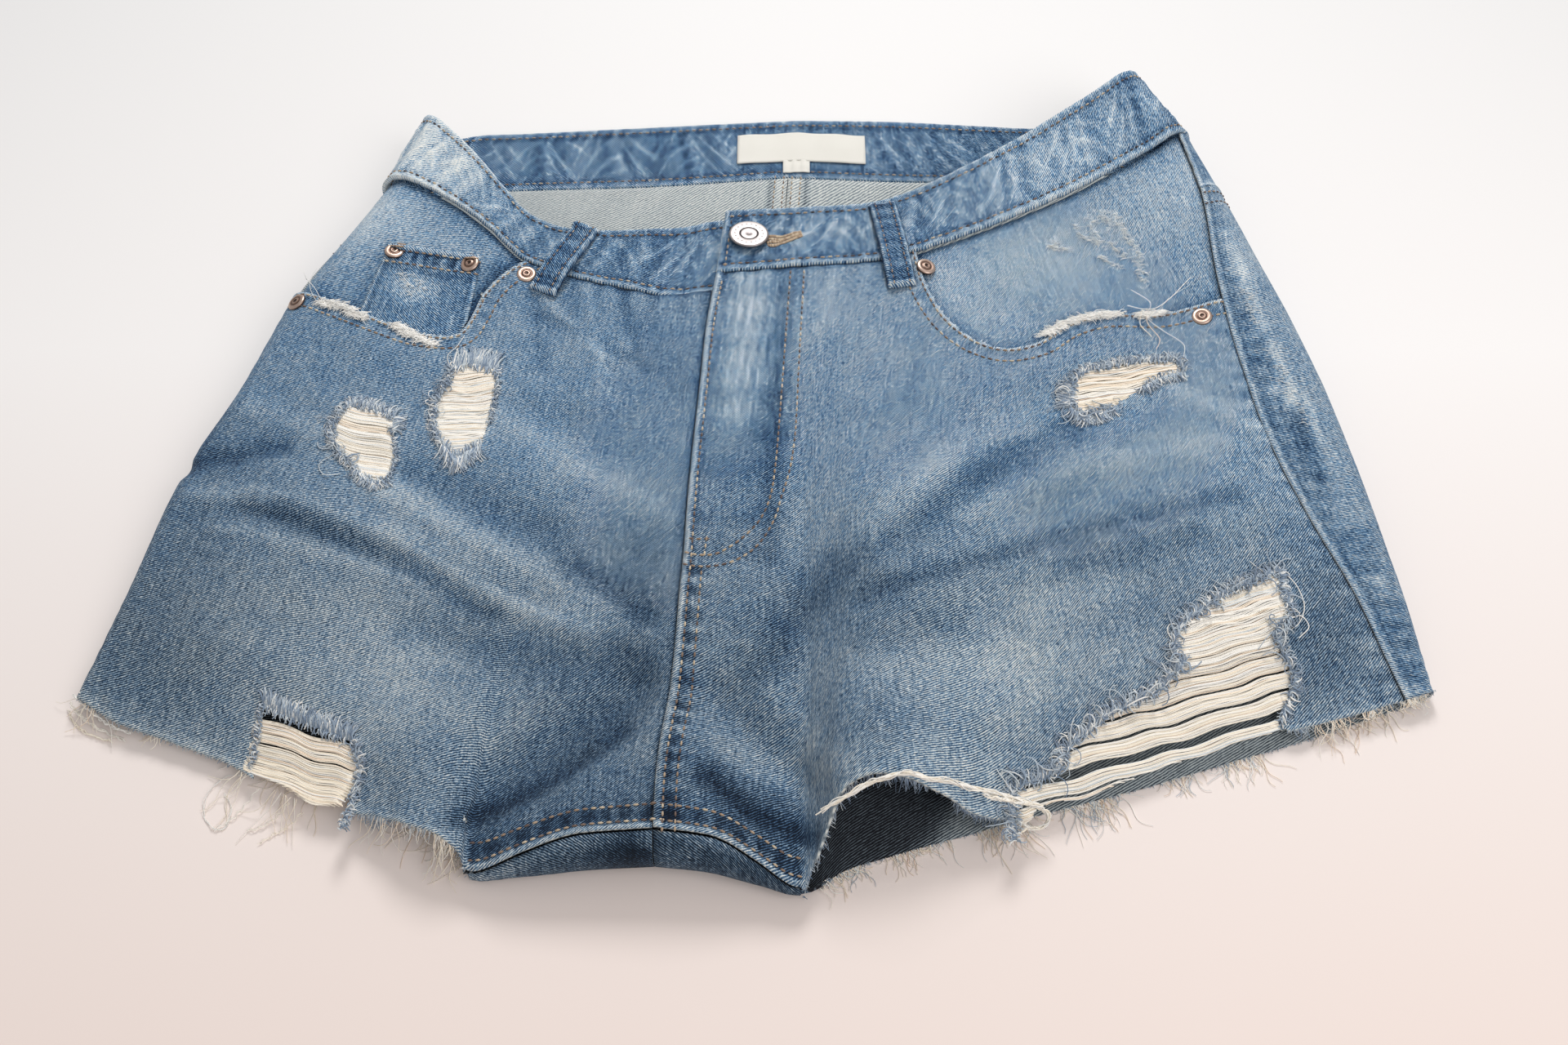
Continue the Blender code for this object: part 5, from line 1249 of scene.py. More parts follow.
build_coin_pocket()
for seed, side in enumerate(SIDES, 83):
    build_patch_pocket(side, seed)
print("pocket pieces built")

# %% [markdown]
# ## Belt loops and the label
# A belt loop is a strip folded in three, with its edges meeting behind, sewn down at its folded ends. The
# front loops arch over the waistband. The label is a soft, blank, woven tape at the centre back inside.

# %% Build the loops and the label
FRONT_LOOPS = {"right": ((-7.9, 10.9), (-9.6, 6.75)), "left": ((5.6, 12.15), (6.35, 6.95))}
BACK_LOOPS = (-9.5, 1.5, 11.0)
LOOP_WIDTH, LOOP_LENGTH = 1.3, 4.1
ON_TOP = ["front_right_cloth", "front_left_cloth", "waistband_cloth"]


def loop_tone(t, cross, length, seed):
    from_end = np.minimum(t, 1 - t) * length
    edge = (0.5 - np.abs(cross)) * LOOP_WIDTH
    # painted shade at the very edges, where the strip rounds down to the cloth; just inside them the folded
    # edges are rubbed pale
    tone = 0.29 + 0.28 * bump(edge - 0.10, 0.08) - 0.22 * bump(edge, 0.04)
    tone = tone + 0.12 * wander(t * length, 0.8, seed)
    tone -= 0.16 * bump(edge - 0.30, 0.06)
    tone += 0.05 * wander(t * length + 3, 0.35, seed + 1) * bump(edge - 0.3, 0.2)
    return tone + 0.34 * bump(from_end - 0.08, 0.12) - 0.24 * bump(from_end - 0.36, 0.10)


def loop_lift(t, cross, length):
    """A pillowed strip: thick folded edges, a flat middle and a rounded end at each bar of stitches."""
    edge = (0.5 - np.abs(cross)) * LOOP_WIDTH
    from_end = np.minimum(t, 1 - t) * length
    round_off = np.minimum(smooth(edge / 0.13), smooth(from_end / 0.10 + 0.15))
    return -0.20 * (1 - round_off) + 0.045 * bump(edge - 0.15, 0.10) - 0.05 * bump(from_end - 0.62, 0.10)


def on_strip(side, t, cross):
    """Plan points of a front loop at shares of its length and width, and its length."""
    (x0, y0), (x1, y1) = FRONT_LOOPS[side]
    length = math.hypot(x1 - x0, y1 - y0)
    ux, uy = (x1 - x0) / length, (y1 - y0) / length
    return x0 + (x1 - x0) * t - uy * cross * LOOP_WIDTH, y0 + (y1 - y0) * t + ux * cross * LOOP_WIDTH, length


def build_front_loop(side, number):
    t, cross = np.meshgrid(np.linspace(0, 1, 52), np.linspace(-0.5, 0.5, 17), indexing="ij")
    x, y, length = on_strip(side, t, cross)
    points, _ = drop(ON_TOP, x, y)
    # the strip spans small dips: its height is a smooth line along the middle of what it crosses
    line = points[:, 8, 2]
    for _ in range(6):
        line = np.convolve(np.pad(line, 2, mode="edge"), np.ones(5) / 5, mode="valid")
    height = np.maximum(line[:, None], points[..., 2] - 0.05)
    seat = np.interp(t, (0, 0.08, 0.5, 0.80, 0.93, 1), (0.14, 0.34, 0.44, 0.46, 0.34, 0.28))
    points[..., 2] = height + seat + loop_lift(t, cross, length)
    outward = unit(np.cross(np.gradient(points, axis=0), np.gradient(points, axis=1)))
    outward = outward * np.sign(outward[26, 8, 2])
    flat = np.stack([cross * LOOP_WIDTH, -t * length], -1)
    tone = loop_tone(t, cross, length, 90 + number)
    shell("belt_loop_%d_cloth" % number, points, outward, flat, {"fade_and_shade": tone}, [DENIM], 0.16)


def build_back_loop(x_middle, number):
    y0 = float(np.interp(x_middle, (-14, 1.5, 14), (14.7, 15.9, 15.6))) - 0.9
    t, cross = np.meshgrid(np.linspace(0, 1, 44), np.linspace(-0.5, 0.5, 15), indexing="ij")
    height = 0.02 - loop_lift(t, cross, LOOP_LENGTH)
    points = np.stack([x_middle + cross * LOOP_WIDTH, y0 + t * LOOP_LENGTH, height], -1)
    flat = np.stack([cross * LOOP_WIDTH, t * LOOP_LENGTH], -1)
    tone = loop_tone(t, cross, LOOP_LENGTH, 90 + number)
    shell("belt_loop_%d_cloth" % number, points, np.zeros_like(points) + (0.0, 0.0, -1.0), flat,
          {"fade_and_shade": tone}, [DENIM], 0.12)


for number, side in enumerate(SIDES, 1):
    build_front_loop(side, number)
for number, x_middle in enumerate(BACK_LOOPS, 3):
    build_back_loop(x_middle, number)


def label_material():
    """Fine satin tape: cream, with a tight crossing weave."""
    made, tree, shader = new_material("label_cream")
    weave = woven(tree, 0.35, 0.1)
    tone = maths(tree, "MULTIPLY_ADD", weave["Cloud"], 0.5, maths(tree, "MULTIPLY", weave["Rib"], 0.3))
    finish_shader(tree, shader, colour_ramp(tree, tone, ((0.0, (222, 220, 211)), (1.0, (241, 239, 232)))),
                  (weave["Rib"], 0.4, 0.0002), (weave["Fleck"], 0.45, 0.7), {"Sheen Weight": 0.1})
    return made


LABEL_CREAM = label_material()


def build_label(name, x_range, y_range, lift):
    u, v = np.meshgrid(np.linspace(0, 1, 40), np.linspace(0, 1, 16), indexing="ij")
    x = x_range[0] + (x_range[1] - x_range[0]) * u
    y = y_range[0] + (y_range[1] - y_range[0]) * v
    slope = np.interp(x, (-1.2, 1.9, 5.1), (-0.10, 0.10, -0.12))
    seat = WAIST_LIFT + 0.15 + lift
    z = seat + 0.05 * np.sin(u * math.pi * 3.0 + 0.6) ** 2 * (0.4 + 0.6 * v) + 0.03 * bump(v - 0.5, 0.3)
    points = np.stack([x, y + slope, z], -1)
    outward = np.zeros_like(points) + (0.0, 0.0, 1.0)
    shell(name, points, outward, np.stack([x, y], -1), {}, [LABEL_CREAM], 0.045)


build_label("label_tape", (-1.2, 5.1), (16.85, 18.75), 0.06)
build_label("label_tab_tape", (1.05, 2.35), (16.1, 16.9), 0.05)
print("loops and label built")

# %% [markdown]
# ## Stitches
# The sewing is a lockstitch: short grains of tobacco-brown thread with gaps between them, sunk at both ends.
# A texture of dashes would lie flat, so each stitch is a small rounded grain. A Geometry Nodes tree walks
# along rows drawn on the cloth, sets one grain at each step along the row, and gives it a chance tint.

# %% Thread materials
def thread_material(name, tones):
    """Spun cotton: its tint attribute picks the colour, with small fibres along it."""
    made, tree, shader = new_material(name)
    place = node(tree, "ShaderNodeTexCoord").outputs["Object"]
    fibres = noise(tree, place, 2600.0, 2.0, 0.6)
    tone = maths(tree, "MULTIPLY_ADD", maths(tree, "SUBTRACT", fibres, 0.5), 0.22, mark_of(tree, "tint"))
    finish_shader(tree, shader, colour_ramp(tree, tone, tones), (fibres, 0.5, 0.0001), (fibres, 0.75, 1.0),
                  {"Sheen Weight": 0.25, "Specular IOR Level": 0.2})
    return made


SEWING = thread_material("sewing_thread", (
    (0.0, (52, 48, 54)), (0.35, (112, 94, 86)), (0.7, (168, 144, 120)), (1.0, (212, 197, 172))))
RAW = thread_material("raw_cotton", (
    (0.0, (84, 106, 134)), (0.25, (150, 168, 188)), (0.42, (204, 214, 220)), (0.58, (254, 252, 247)),
    (0.78, (253, 243, 224)), (1.0, (244, 220, 198))))
print("threads:", SEWING.name, RAW.name)


# %% Trees of nodes: stitches along a row, threads along a line
def new_tree(name, sizes):
    tree = bpy.data.node_groups.new(name, "GeometryNodeTree")
    tree.interface.new_socket("Geometry", in_out="INPUT", socket_type="NodeSocketGeometry")
    for label, kind, value in sizes:
        entry = tree.interface.new_socket(label, in_out="INPUT", socket_type=kind)
        if value is not None:
            entry.default_value = value
    tree.interface.new_socket("Geometry", in_out="OUTPUT", socket_type="NodeSocketGeometry")
    return tree, tree.nodes.new("NodeGroupInput").outputs, tree.nodes.new("NodeGroupOutput").inputs


def named(tree, name, kind):
    return node(tree, "GeometryNodeInputNamedAttribute", {"Name": name}, data_type=kind).outputs[0]


def turned_to(tree, vector, axis, **settings):
    """A rotation that points an axis along a vector."""
    inputs = {"Vector": vector, **settings.pop("inputs", {})}
    return node(tree, "FunctionNodeAlignRotationToVector", inputs, axis=axis, **settings).outputs[0]


def end_tree(tree, taken, geometry, material):
    """Every tree ends in real geometry with its material."""
    real = node(tree, "GeometryNodeRealizeInstances", {0: geometry}).outputs[0]
    done = node(tree, "GeometryNodeSetMaterial", {"Geometry": real, "Material": material}).outputs[0]
    tree.links.new(done, taken[0])
    return tree


def stitch_tree():
    """Sets one grain of thread at each step along the rows, turned along the row and off the cloth."""
    tree, given, taken = new_tree("stitch_rows", (
        ("Pitch", "NodeSocketFloat", 0.003), ("Stitch length", "NodeSocketFloat", 0.0023),
        ("Thread width", "NodeSocketFloat", 0.0007), ("Tint from", "NodeSocketFloat", 0.0),
        ("Tint to", "NodeSocketFloat", 1.0), ("Chance seed", "NodeSocketInt", 1),
        ("Thread", "NodeSocketMaterial", None)))
    rows = node(tree, "GeometryNodeMeshToCurve", {"Mesh": given["Geometry"]}).outputs[0]
    steps = node(tree, "GeometryNodeResampleCurve", {"Curve": rows, "Length": given["Pitch"]}, mode="LENGTH")
    grain = node(tree, "GeometryNodeMeshUVSphere", {"Segments": 5, "Rings": 3, "Radius": 0.5}).outputs[0]
    tangent = node(tree, "GeometryNodeInputTangent").outputs[0]
    turn = turned_to(tree, tangent, "X")
    turn = turned_to(tree, named(tree, "facing", "FLOAT_VECTOR"), "Z",
                     inputs={"Rotation": turn}, pivot_axis="X")
    size = node(tree, "ShaderNodeCombineXYZ", {0: given["Stitch length"], 1: given["Thread width"],
                                               2: given["Thread width"]}).outputs[0]
    grains = node(tree, "GeometryNodeInstanceOnPoints", {
        "Points": steps.outputs[0], "Instance": grain, "Rotation": turn, "Scale": size}).outputs[0]
    chance = node(tree, "FunctionNodeRandomValue", {
        2: given["Tint from"], 3: given["Tint to"], "Seed": given["Chance seed"]},
        data_type="FLOAT").outputs[1]
    tinted = node(tree, "GeometryNodeStoreNamedAttribute", {
        "Geometry": grains, "Name": "tint", "Value": chance}, data_type="FLOAT", domain="INSTANCE").outputs[0]
    return end_tree(tree, taken, tinted, given["Thread"])


def thread_tree():
    """Gives each line its thickness, from its half_width attribute."""
    tree, given, taken = new_tree("cotton_threads", (
        ("Thread sides", "NodeSocketInt", 4), ("Thickness", "NodeSocketFloat", 1.0),
        ("Thread", "NodeSocketMaterial", None)))
    lines = node(tree, "GeometryNodeMeshToCurve", {"Mesh": given["Geometry"]}).outputs[0]
    radius = maths(tree, "MULTIPLY", named(tree, "half_width", "FLOAT"), given["Thickness"])
    lines = node(tree, "GeometryNodeSetCurveRadius", {"Curve": lines, "Radius": radius}).outputs[0]
    section = node(tree, "GeometryNodeCurvePrimitiveCircle", {
        "Resolution": given["Thread sides"], "Radius": 1.0}).outputs[0]
    tubes = node(tree, "GeometryNodeCurveToMesh", {
        "Curve": lines, "Profile Curve": section, "Fill Caps": True})
    # where the node has a size of its own, it reads the thickness there and not from the curve
    if "Scale" in tubes.inputs:
        tree.links.new(radius, tubes.inputs["Scale"])
    return end_tree(tree, taken, tubes.outputs[0], given["Thread"])


STITCH_ROWS, COTTON = stitch_tree(), thread_tree()


def grow(name, lines, marks, tree, values):
    """Runs a tree over polylines (cm) and keeps the result as a plain mesh."""
    points = np.concatenate(lines)
    starts = np.cumsum([0] + [len(line) for line in lines])
    links = [(i, i + 1) for start, stop in zip(starts[:-1], starts[1:]) for i in range(start, stop - 1)]
    mesh = bpy.data.meshes.new(name + "_lines")
    mesh.from_pydata(metres(points).tolist(), links, [])
    mark_points(mesh, {mark: np.concatenate(data) for mark, data in marks.items()})
    source = add_object(name + "_lines", mesh)
    modifier = source.modifiers.new("nodes", "NODES")
    modifier.node_group = tree
    for entry in tree.interface.items_tree:
        if entry.in_out == "INPUT" and entry.name in values:
            modifier[entry.identifier] = values[entry.name]
    bpy.context.view_layer.update()
    graph = bpy.context.evaluated_depsgraph_get()
    plain = bpy.data.meshes.new_from_object(source.evaluated_get(graph))
    plain.name = name
    bpy.data.objects.remove(source)
    plain.shade_smooth()
    pieces[name] = add_object(name, plain)
    print(name, len(plain.polygons), "faces")


# %% Rows of stitches drawn on the cloth
def even(line, step=0.15):
    """A polyline resampled to an even step."""
    line = np.asarray(line, float)
    run = np.concatenate([[0.0], np.cumsum(np.linalg.norm(np.diff(line, axis=0), axis=1))])
    spots = np.linspace(0, run[-1], max(int(run[-1] / step), 2) + 1)
    return np.stack([np.interp(spots, run, line[:, i]) for i in range(line.shape[1])], -1)


def leftward(line):
    """Unit steps sideways, to the left of a line."""
    way = unit(np.gradient(line, axis=0))
    return np.stack([-way[:, 1], way[:, 0]], -1)


def shifted(line, distance):
    """The same line, moved sideways to its left."""
    line = even(line)
    return line + distance * leftward(line)


def row_on(names, line, lift=0.015, from_above=True, step=0.15):
    line = even(line, step)
    points, outward = drop(names, line[:, 0], line[:, 1], from_above)
    return points + outward * lift, outward


def row_near(names, form, lift=0.02):
    """A row laid on the nearest cloth, above or below the garment."""
    points, facing = np.zeros_like(form), np.zeros_like(form)
    for i, spot in enumerate(form):
        hits = [trees[name].find_nearest(tuple(spot)) for name in names]
        hit = min(hits, key=lambda h: h[3])
        normal = np.array(hit[1])
        away = (0.6 * np.sign(spot[0]), 0.0, 1.0 if spot[2] > 1.3 else -1.0)
        normal = normal if normal @ away > 0 else -normal
        points[i], facing[i] = np.array(hit[0]) + normal * lift, normal
    return points, facing


def smooth_line(spots, count=60):
    return read(curve(table("x y", *spots)), np.linspace(0, 1, count))


FRONTS = ["front_right_cloth", "front_left_cloth"]
UNDERNEATH = ["back_right_cloth", "back_left_cloth", "yoke_right_cloth", "yoke_left_cloth"]


def part_of(line, top, bottom):
    return line[(line[:, 1] <= top) & (line[:, 1] >= bottom)]


COIN_HEM = np.array([[(0.1, -0.28), (-0.1, -0.28)], [(0.05, -0.95), (-0.15, -0.95)]])  # off the pocket's top
J_INNER = [(1.39, 8.0), (1.1, 2.94), (0.92, -0.1), (0.73, -2.74), (0.55, -4.0), (0.18, -5.0), (-0.45, -5.8),
    (-1.18, -6.4), (-1.72, -6.66), (-2.75, -6.62)]
J_OUTER = [(2.0, 8.05), (1.75, 2.94), (1.54, -1.25), (1.3, -2.93), (0.97, -4.12), (0.74, -5.0),
    (0.01, -6.3), (-0.81, -6.95), (-1.71, -7.2), (-2.8, -7.17)]
centre_seam = read(edges["left", "front"][3], np.linspace(0, 1, 90))
scoop_right, scoop_left = np.array(scoop_points("right")), np.array(scoop_points("left"))


def inseam_row(side, away):
    """A row along the inseam of a front, at a distance from its edge."""
    s, a, _ = front_cloth(side)
    rows = s[:, -1] - away / down(side, "front", 0.5)
    runs = np.array([np.interp(row, s[i], a[i]) for i, row in enumerate(rows)])
    line = body(side, rows, runs)[:, :2]
    line = line[line[:, 0] > -10.35] if side == "right" else line[line[:, 0] < 1.75]
    return row_on(["front_%s_cloth" % side], line)


front_rows = [row_on([bed + "_cloth"], line) for bed, line in (
    ("front_left", shifted(part_of(centre_seam, 7.6, -18.3), 0.33)),
    ("front_left", shifted(part_of(centre_seam, -7.3, -18.2), 0.80)),
    ("front_left", [(-2.62, -5.95), (-2.0, -5.93)]), ("front_left", [(-2.0, -5.93), (-2.06, -6.6)]),
    ("front_left", smooth_line(J_INNER)), ("front_left", smooth_line(J_OUTER)),
    ("front_right", shifted(scoop_right[:54], 0.14)), ("front_right", shifted(scoop_right[:55], 0.72)),
    ("front_left", shifted(scoop_left[:54], -0.14)), ("front_left", shifted(scoop_left[:54], -0.72)),
    ("coin_pocket", COIN["top"] + COIN_HEM[0]), ("coin_pocket", COIN["top"] + COIN_HEM[1]))]
front_rows += [inseam_row(side, away) for side in SIDES for away in (0.30, 0.92)]


def sew(name, rows, seed, tint_range, pitch=0.0031, width=0.0008, stitch=0.0024):
    lines, facing = [r[0] for r in rows], [r[1] for r in rows]
    grow(name, lines, {"facing": facing}, STITCH_ROWS, {
        "Pitch": pitch, "Stitch length": stitch, "Thread width": width, "Tint from": tint_range[0],
        "Tint to": tint_range[1], "Chance seed": seed, "Thread": SEWING})


sew("stitches_front", front_rows, 3, (0.25, 1.0), 0.0031, 0.00100, 0.0026)

# Lines of dense stitches: the bar tacks at the coin pocket's corners, and the two lips of the buttonhole
BARS = [(-16.15, 9.35), (-15.6, 9.28)], [(-12.95, 8.72), (-12.4, 8.66)]
BUTTONHOLE = ([(0.35, 10.06), (0.75, 10.08), (1.20, 10.14), (1.90, 10.34)],
    [(0.35, 9.66), (0.75, 9.74), (1.20, 9.92), (1.90, 10.24)])


def bar(name, line, width, step=0.028):
    """Short stitches side by side across a line."""
    spots = even(line, step)
    rows = []
    for k, (spot, aside) in enumerate(zip(spots, leftward(spots))):
        ends = np.stack([spot - aside * width, spot + aside * width])
        rows.append(row_on([name], ends, 0.02 + 0.01 * (k % 2), True, 0.5))
    return rows


bar_rows = [row for line in BARS for row in bar("coin_pocket_cloth", line, 0.12)]
sew("stitches_bars", bar_rows, 4, (0.35, 0.85), 0.5, 0.0005, 0.0026)
hole_rows = [row for line in BUTTONHOLE for row in bar("waistband_cloth", smooth_line(line, 30), 0.09)]
sew("stitches_buttonhole", hole_rows, 6, (0.55, 1.0), 0.5, 0.0005, 0.0021)

# %% Rows round the waistband, on the loops and underneath
def band_row(h, w_from, w_to, inner=False):
    """A row round the waistband at height h of its outer (or inner) face."""
    w = np.linspace(w_from, w_to, int(abs(w_to - w_from) * 130) + 8)
    form = band_at(w, np.full_like(w, h))
    tree = trees["waistband_cloth"]
    points, facing = np.zeros_like(form), np.zeros_like(form)
    way = band_normals(w, h)
    ahead = 1.0 if way[len(w) // 2] @ (form[len(w) // 2] - (1.5, 13.5, 1.2)) > 0 else -1.0
    for i, (spot, outward) in enumerate(zip(form, way * ahead)):
        hit, normal, _, _ = tree.find_nearest(tuple(spot + outward * BAND_OUT))
        normal = np.array(normal) * (1.0 if np.dot(normal, outward) > 0 else -1.0)
        points[i] = np.array(hit) + normal * (-BAND_WALL - 0.015 if inner else 0.015)
        facing[i] = -normal if inner else normal
    return points, facing


outside_rows = [band_row(0.905, 0.02, 3.985), band_row(0.105, 0.02, 3.985)]
lap = band_at(np.full(12, 3.985), np.linspace(0.1, 0.9, 12))
outside_rows.append(row_on(["waistband_cloth"], lap[:, :2]))
sew("stitches_waistband", outside_rows, 5, (0.05, 0.98), 0.0034, 0.00092, 0.0026)
inside_rows = [band_row(0.905, 0.9, 3.1, True), band_row(0.105, 0.9, 3.1, True)]
centre_back = read(edges["left", "back"][3], np.linspace(0.0, 0.5, 40))
for away in (-0.62, -0.20, 0.20, 0.62):
    inside_rows.append(row_on(UNDERNEATH[::-1], shifted(centre_back, away), CLOTH + 0.02))
sew("stitches_inside", inside_rows, 7, (0.35, 0.9), 0.0033, 0.0008)
loop_rows = []
for number, side in enumerate(SIDES, 1):
    for cross in (-0.27, 0.27):
        line = np.stack(on_strip(side, np.array([0.03, 0.97]), cross)[:2], -1)
        loop_rows.append(row_on(["belt_loop_%d_cloth" % number], line, 0.012))
sew("stitches_loops", loop_rows, 9, (0.2, 0.8), 0.0029, 0.0007, 0.0021)
hidden_rows = []
for side in SIDES:
    for q in (0.010, 0.034):
        felled = back_point(side, np.linspace(0.004, 0.985, 60), np.full(60, q))
        hidden_rows.append(row_near(UNDERNEATH, felled))
    corners = BACK_POCKETS[side]
    middle_x, middle_y = np.mean([c[0] for c in corners]), np.mean([c[1] for c in corners])
    for inset in (0.035, 0.085):
        ring = [(x + (middle_x - x) * inset, y + (middle_y - y) * inset) for x, y in corners]
        mouth = [(x0 + (x1 - x0) * 0.03, y0 - 9 * inset + 0.05)
                 for (x0, y0), (x1, _) in (corners[:2], corners[1::-1])]
        for line in ([ring[0]] + ring[4:1:-1] + [ring[1]], mouth):
            hidden_rows.append(row_on(["patch_pocket_%s_cloth" % side], line, 0.015, False))
centre_back = read(edges["left", "back"][3], np.linspace(0.02, 0.9, 120))
hidden_rows += [row_on(UNDERNEATH, shifted(centre_back, away), 0.02, False) for away in (0.12, 0.70)]
sew("stitches_back", hidden_rows, 8, (0.1, 0.8))
print("rows sewn")

# %% [markdown]
# ## Loose cotton
# Where the indigo warp is worn through, only the undyed weft is left: soft cream threads that cross the hole
# in uneven bundles, and short blue warp ends that curl round its edges. Raw hems shed the same thread. Each
# thread is a line drawn over the cloth; one Geometry Nodes tree gives all of them their thickness.

# %% Weft threads across the torn places
THREAD = 0.025          # half width of a weft thread, cm
# What the threads fill, where that is less than the hole: they stop above the cut hem.
FILLED = {
    "hem_right": [
        (-19.1, -12.95), (-17.9, -13.45), (-15.1, -14.4), (-14.8, -15.2), (-15.5, -16.6), (-16.5, -16.45),
        (-17.7, -15.75), (-19.4, -15.0)],
    "hem_left": TORN["hem_left"][1][:11] + [
        (10.4, -16.65), (12.4, -16.15), (14.6, -15.3), (16.9, -14.4), (18.9, -13.8),
        (20.3, -13.35)] + TORN["hem_left"][1][13:],
}
# Each field of threads: its direction in degrees, its tints, and its gaps, from its foot (0) to its head (1)
WEFT = {
    "hip_outer": (-17.0, (0.60, 0.72), ()),
    "hip_inner": (2.0, (0.58, 0.72), ((0.42, 0.428),)),
    "hip_left": (10.0, (0.66, 0.80), ()),
    "hem_right": (-19.0, (0.72, 0.84), ((0.97, 1.0), (0.62, 0.635), (0.40, 0.405))),
    "hem_left": (17.0, (0.64, 0.84),
        ((0.06, 0.085), (0.155, 0.175), (0.25, 0.29), (0.375, 0.39), (0.47, 0.482), (0.57, 0.578),
        (0.66, 0.664))),
}


def crossings(corners, angle, level):
    """Where a line at a level across the direction angle cuts an outline, as distances along it."""
    c, s = math.cos(angle), math.sin(angle)
    spots = []
    for (ax, ay), (bx, by) in sides_of(corners):
        a_level, b_level = -s * ax + c * ay, -s * bx + c * by
        if (a_level > level) != (b_level > level):
            t = (level - a_level) / (b_level - a_level)
            spots.append(c * (ax + (bx - ax) * t) + s * (ay + (by - ay) * t))
    return sorted(spots)


def height_over(bed, rise=0.0):
    """The height of a bed, or a little more, at plan points."""
    return lambda x, y: drop([bed], x, y)[0][..., 2] + rise


def put(stores, item):
    for store, part in zip(stores, item):
        store.append(part)


def build_weft(name, seed):
    side, corners = TORN[name]
    corners = FILLED.get(name, corners)
    degrees, tints, gaps = WEFT[name]
    angle = math.radians(degrees)
    c, s = math.cos(angle), math.sin(angle)
    chance = np.random.default_rng(seed)
    height = height_over("front_%s_cloth" % side)
    levels = [-s * x + c * y for x, y in corners]
    low, high = min(levels) + 0.02, max(levels) - 0.02
    made = [], [], []
    level = low
    while level < high:
        level += THREAD * 1.5 * chance.uniform(0.8, 1.2)
        share = (level - low) / (high - low)
        if any(first < share < last for first, last in gaps):
            continue
        near_gap = min([abs(share - edge) for gap in gaps for edge in gap] + [1.0]) * (high - low)
        spots = crossings(corners, angle, level)
        for start, stop in zip(spots[0::2], spots[1::2]):
            if stop - start < 0.25:
                continue
            start, stop = start - chance.uniform(0.08, 0.22), stop + chance.uniform(0.08, 0.22)
            count = max(int((stop - start) / 0.20), 5)
            t = np.linspace(0, 1, count)
            run = start + (stop - start) * t
            bow = np.sin(math.pi * t)
            free = np.minimum(bow * 3, 1)
            swing = 0.010 * wander(run + 9.0 * chance.random(), 1.5, int(chance.integers(1, 10 ** 6)))
            swing += (0.07 * wander(run + 0.5 * level, 2.6, seed + 17)
                      + 0.03 * wander(run + 3 * level, 1.1, seed + 18))
            off = level + swing * free - 0.05 * bow
            x, y = c * run - s * off, s * run + c * off
            z = height(x, y) + 0.01 - 0.03 * bow + 0.025 * chance.uniform(-1, 1) * free
            z -= 0.10 * (1 - np.minimum(bow * 7, 1)) + 0.03 * bump(near_gap, 0.08)
            half = np.full(count, THREAD * CM * chance.uniform(0.9, 1.25))
            shade = chance.uniform(*tints) + 0.05 * wander(np.array([level * 3.0]), 0.8, seed)[0]
            shade += chance.choice((0.0, 0.0, 0.0, 0.16, -0.14))
            put(made, (np.stack([x, y, z], -1), half, np.full(count, min(shade, 1.0))))
    return made


# %% Warp ends that curl round the edges
# First and last corner of an edge, reach of its ends (cm), how loose they are, ends per cm
FRAYS = {
    "hip_outer": ((0, 4, 0.62, 0.5, 84), (4, 7, 0.26, 1.0, 30), (8, 11, 0.50, 1.1, 60),
        (6, 8, 0.62, 0.6, 84), (8, 10, 1.1, 2.4, 8)),
    "hip_inner": ((0, 2, 1.05, 0.26, 120), (2, 4, 0.32, 1.1, 30), (5, 7, 0.90, 0.45, 110),
        (7, 11, 0.42, 1.1, 50), (8, 10, 1.0, 2.4, 8)),
    "hip_left": ((7, 10, 0.72, 0.6, 120), (3, 6, 0.55, 0.8, 84), (0, 3, 0.50, 0.8, 74),
        (7, 10, 1.2, 2.3, 12)),
    "hem_right": ((0, 2, 0.72, 0.45, 110), (2, 4, 0.42, 1.1, 60), (6, 7, 0.36, 1.1, 40),
        (2, 3, 1.0, 2.4, 9)),
    "hem_left": ((0, 10, 0.60, 0.8, 72), (12, 19, 0.50, 1.0, 62), (0, 10, 1.3, 2.4, 9),
        (13, 18, 1.1, 2.2, 8)),
}


def walk(start, heading, reach):
    """Plan points of a thread of a given length that takes even steps, each with its own heading."""
    step = reach / (len(heading) - 1)
    return [first + np.concatenate([[0], np.cumsum(way(heading[1:]) * step)])
            for first, way in zip(start, (np.cos, np.sin))]


def curl(chance, start, way, reach, height, tint, width, loose):
    """One short thread: it leaves its edge, bends to a side and settles on the cloth."""
    count = 7
    t = np.linspace(0, 1, count)
    bend = chance.uniform(-1, 1) * 2.4 * loose
    heading = math.atan2(way[1], way[0]) + chance.uniform(-0.6, 0.6) * loose + bend * t ** 1.5
    x, y = walk(start, heading, reach)
    z = height(x, y) + 0.03 + (0.03 + 0.10 * loose) * chance.random() * np.sin(math.pi * t)
    z = z + 0.02 * chance.random()
    z[0] -= 0.06
    half = width * CM * (1 - 0.45 * t)
    return np.stack([x, y, z], -1), half, np.full(count, tint)


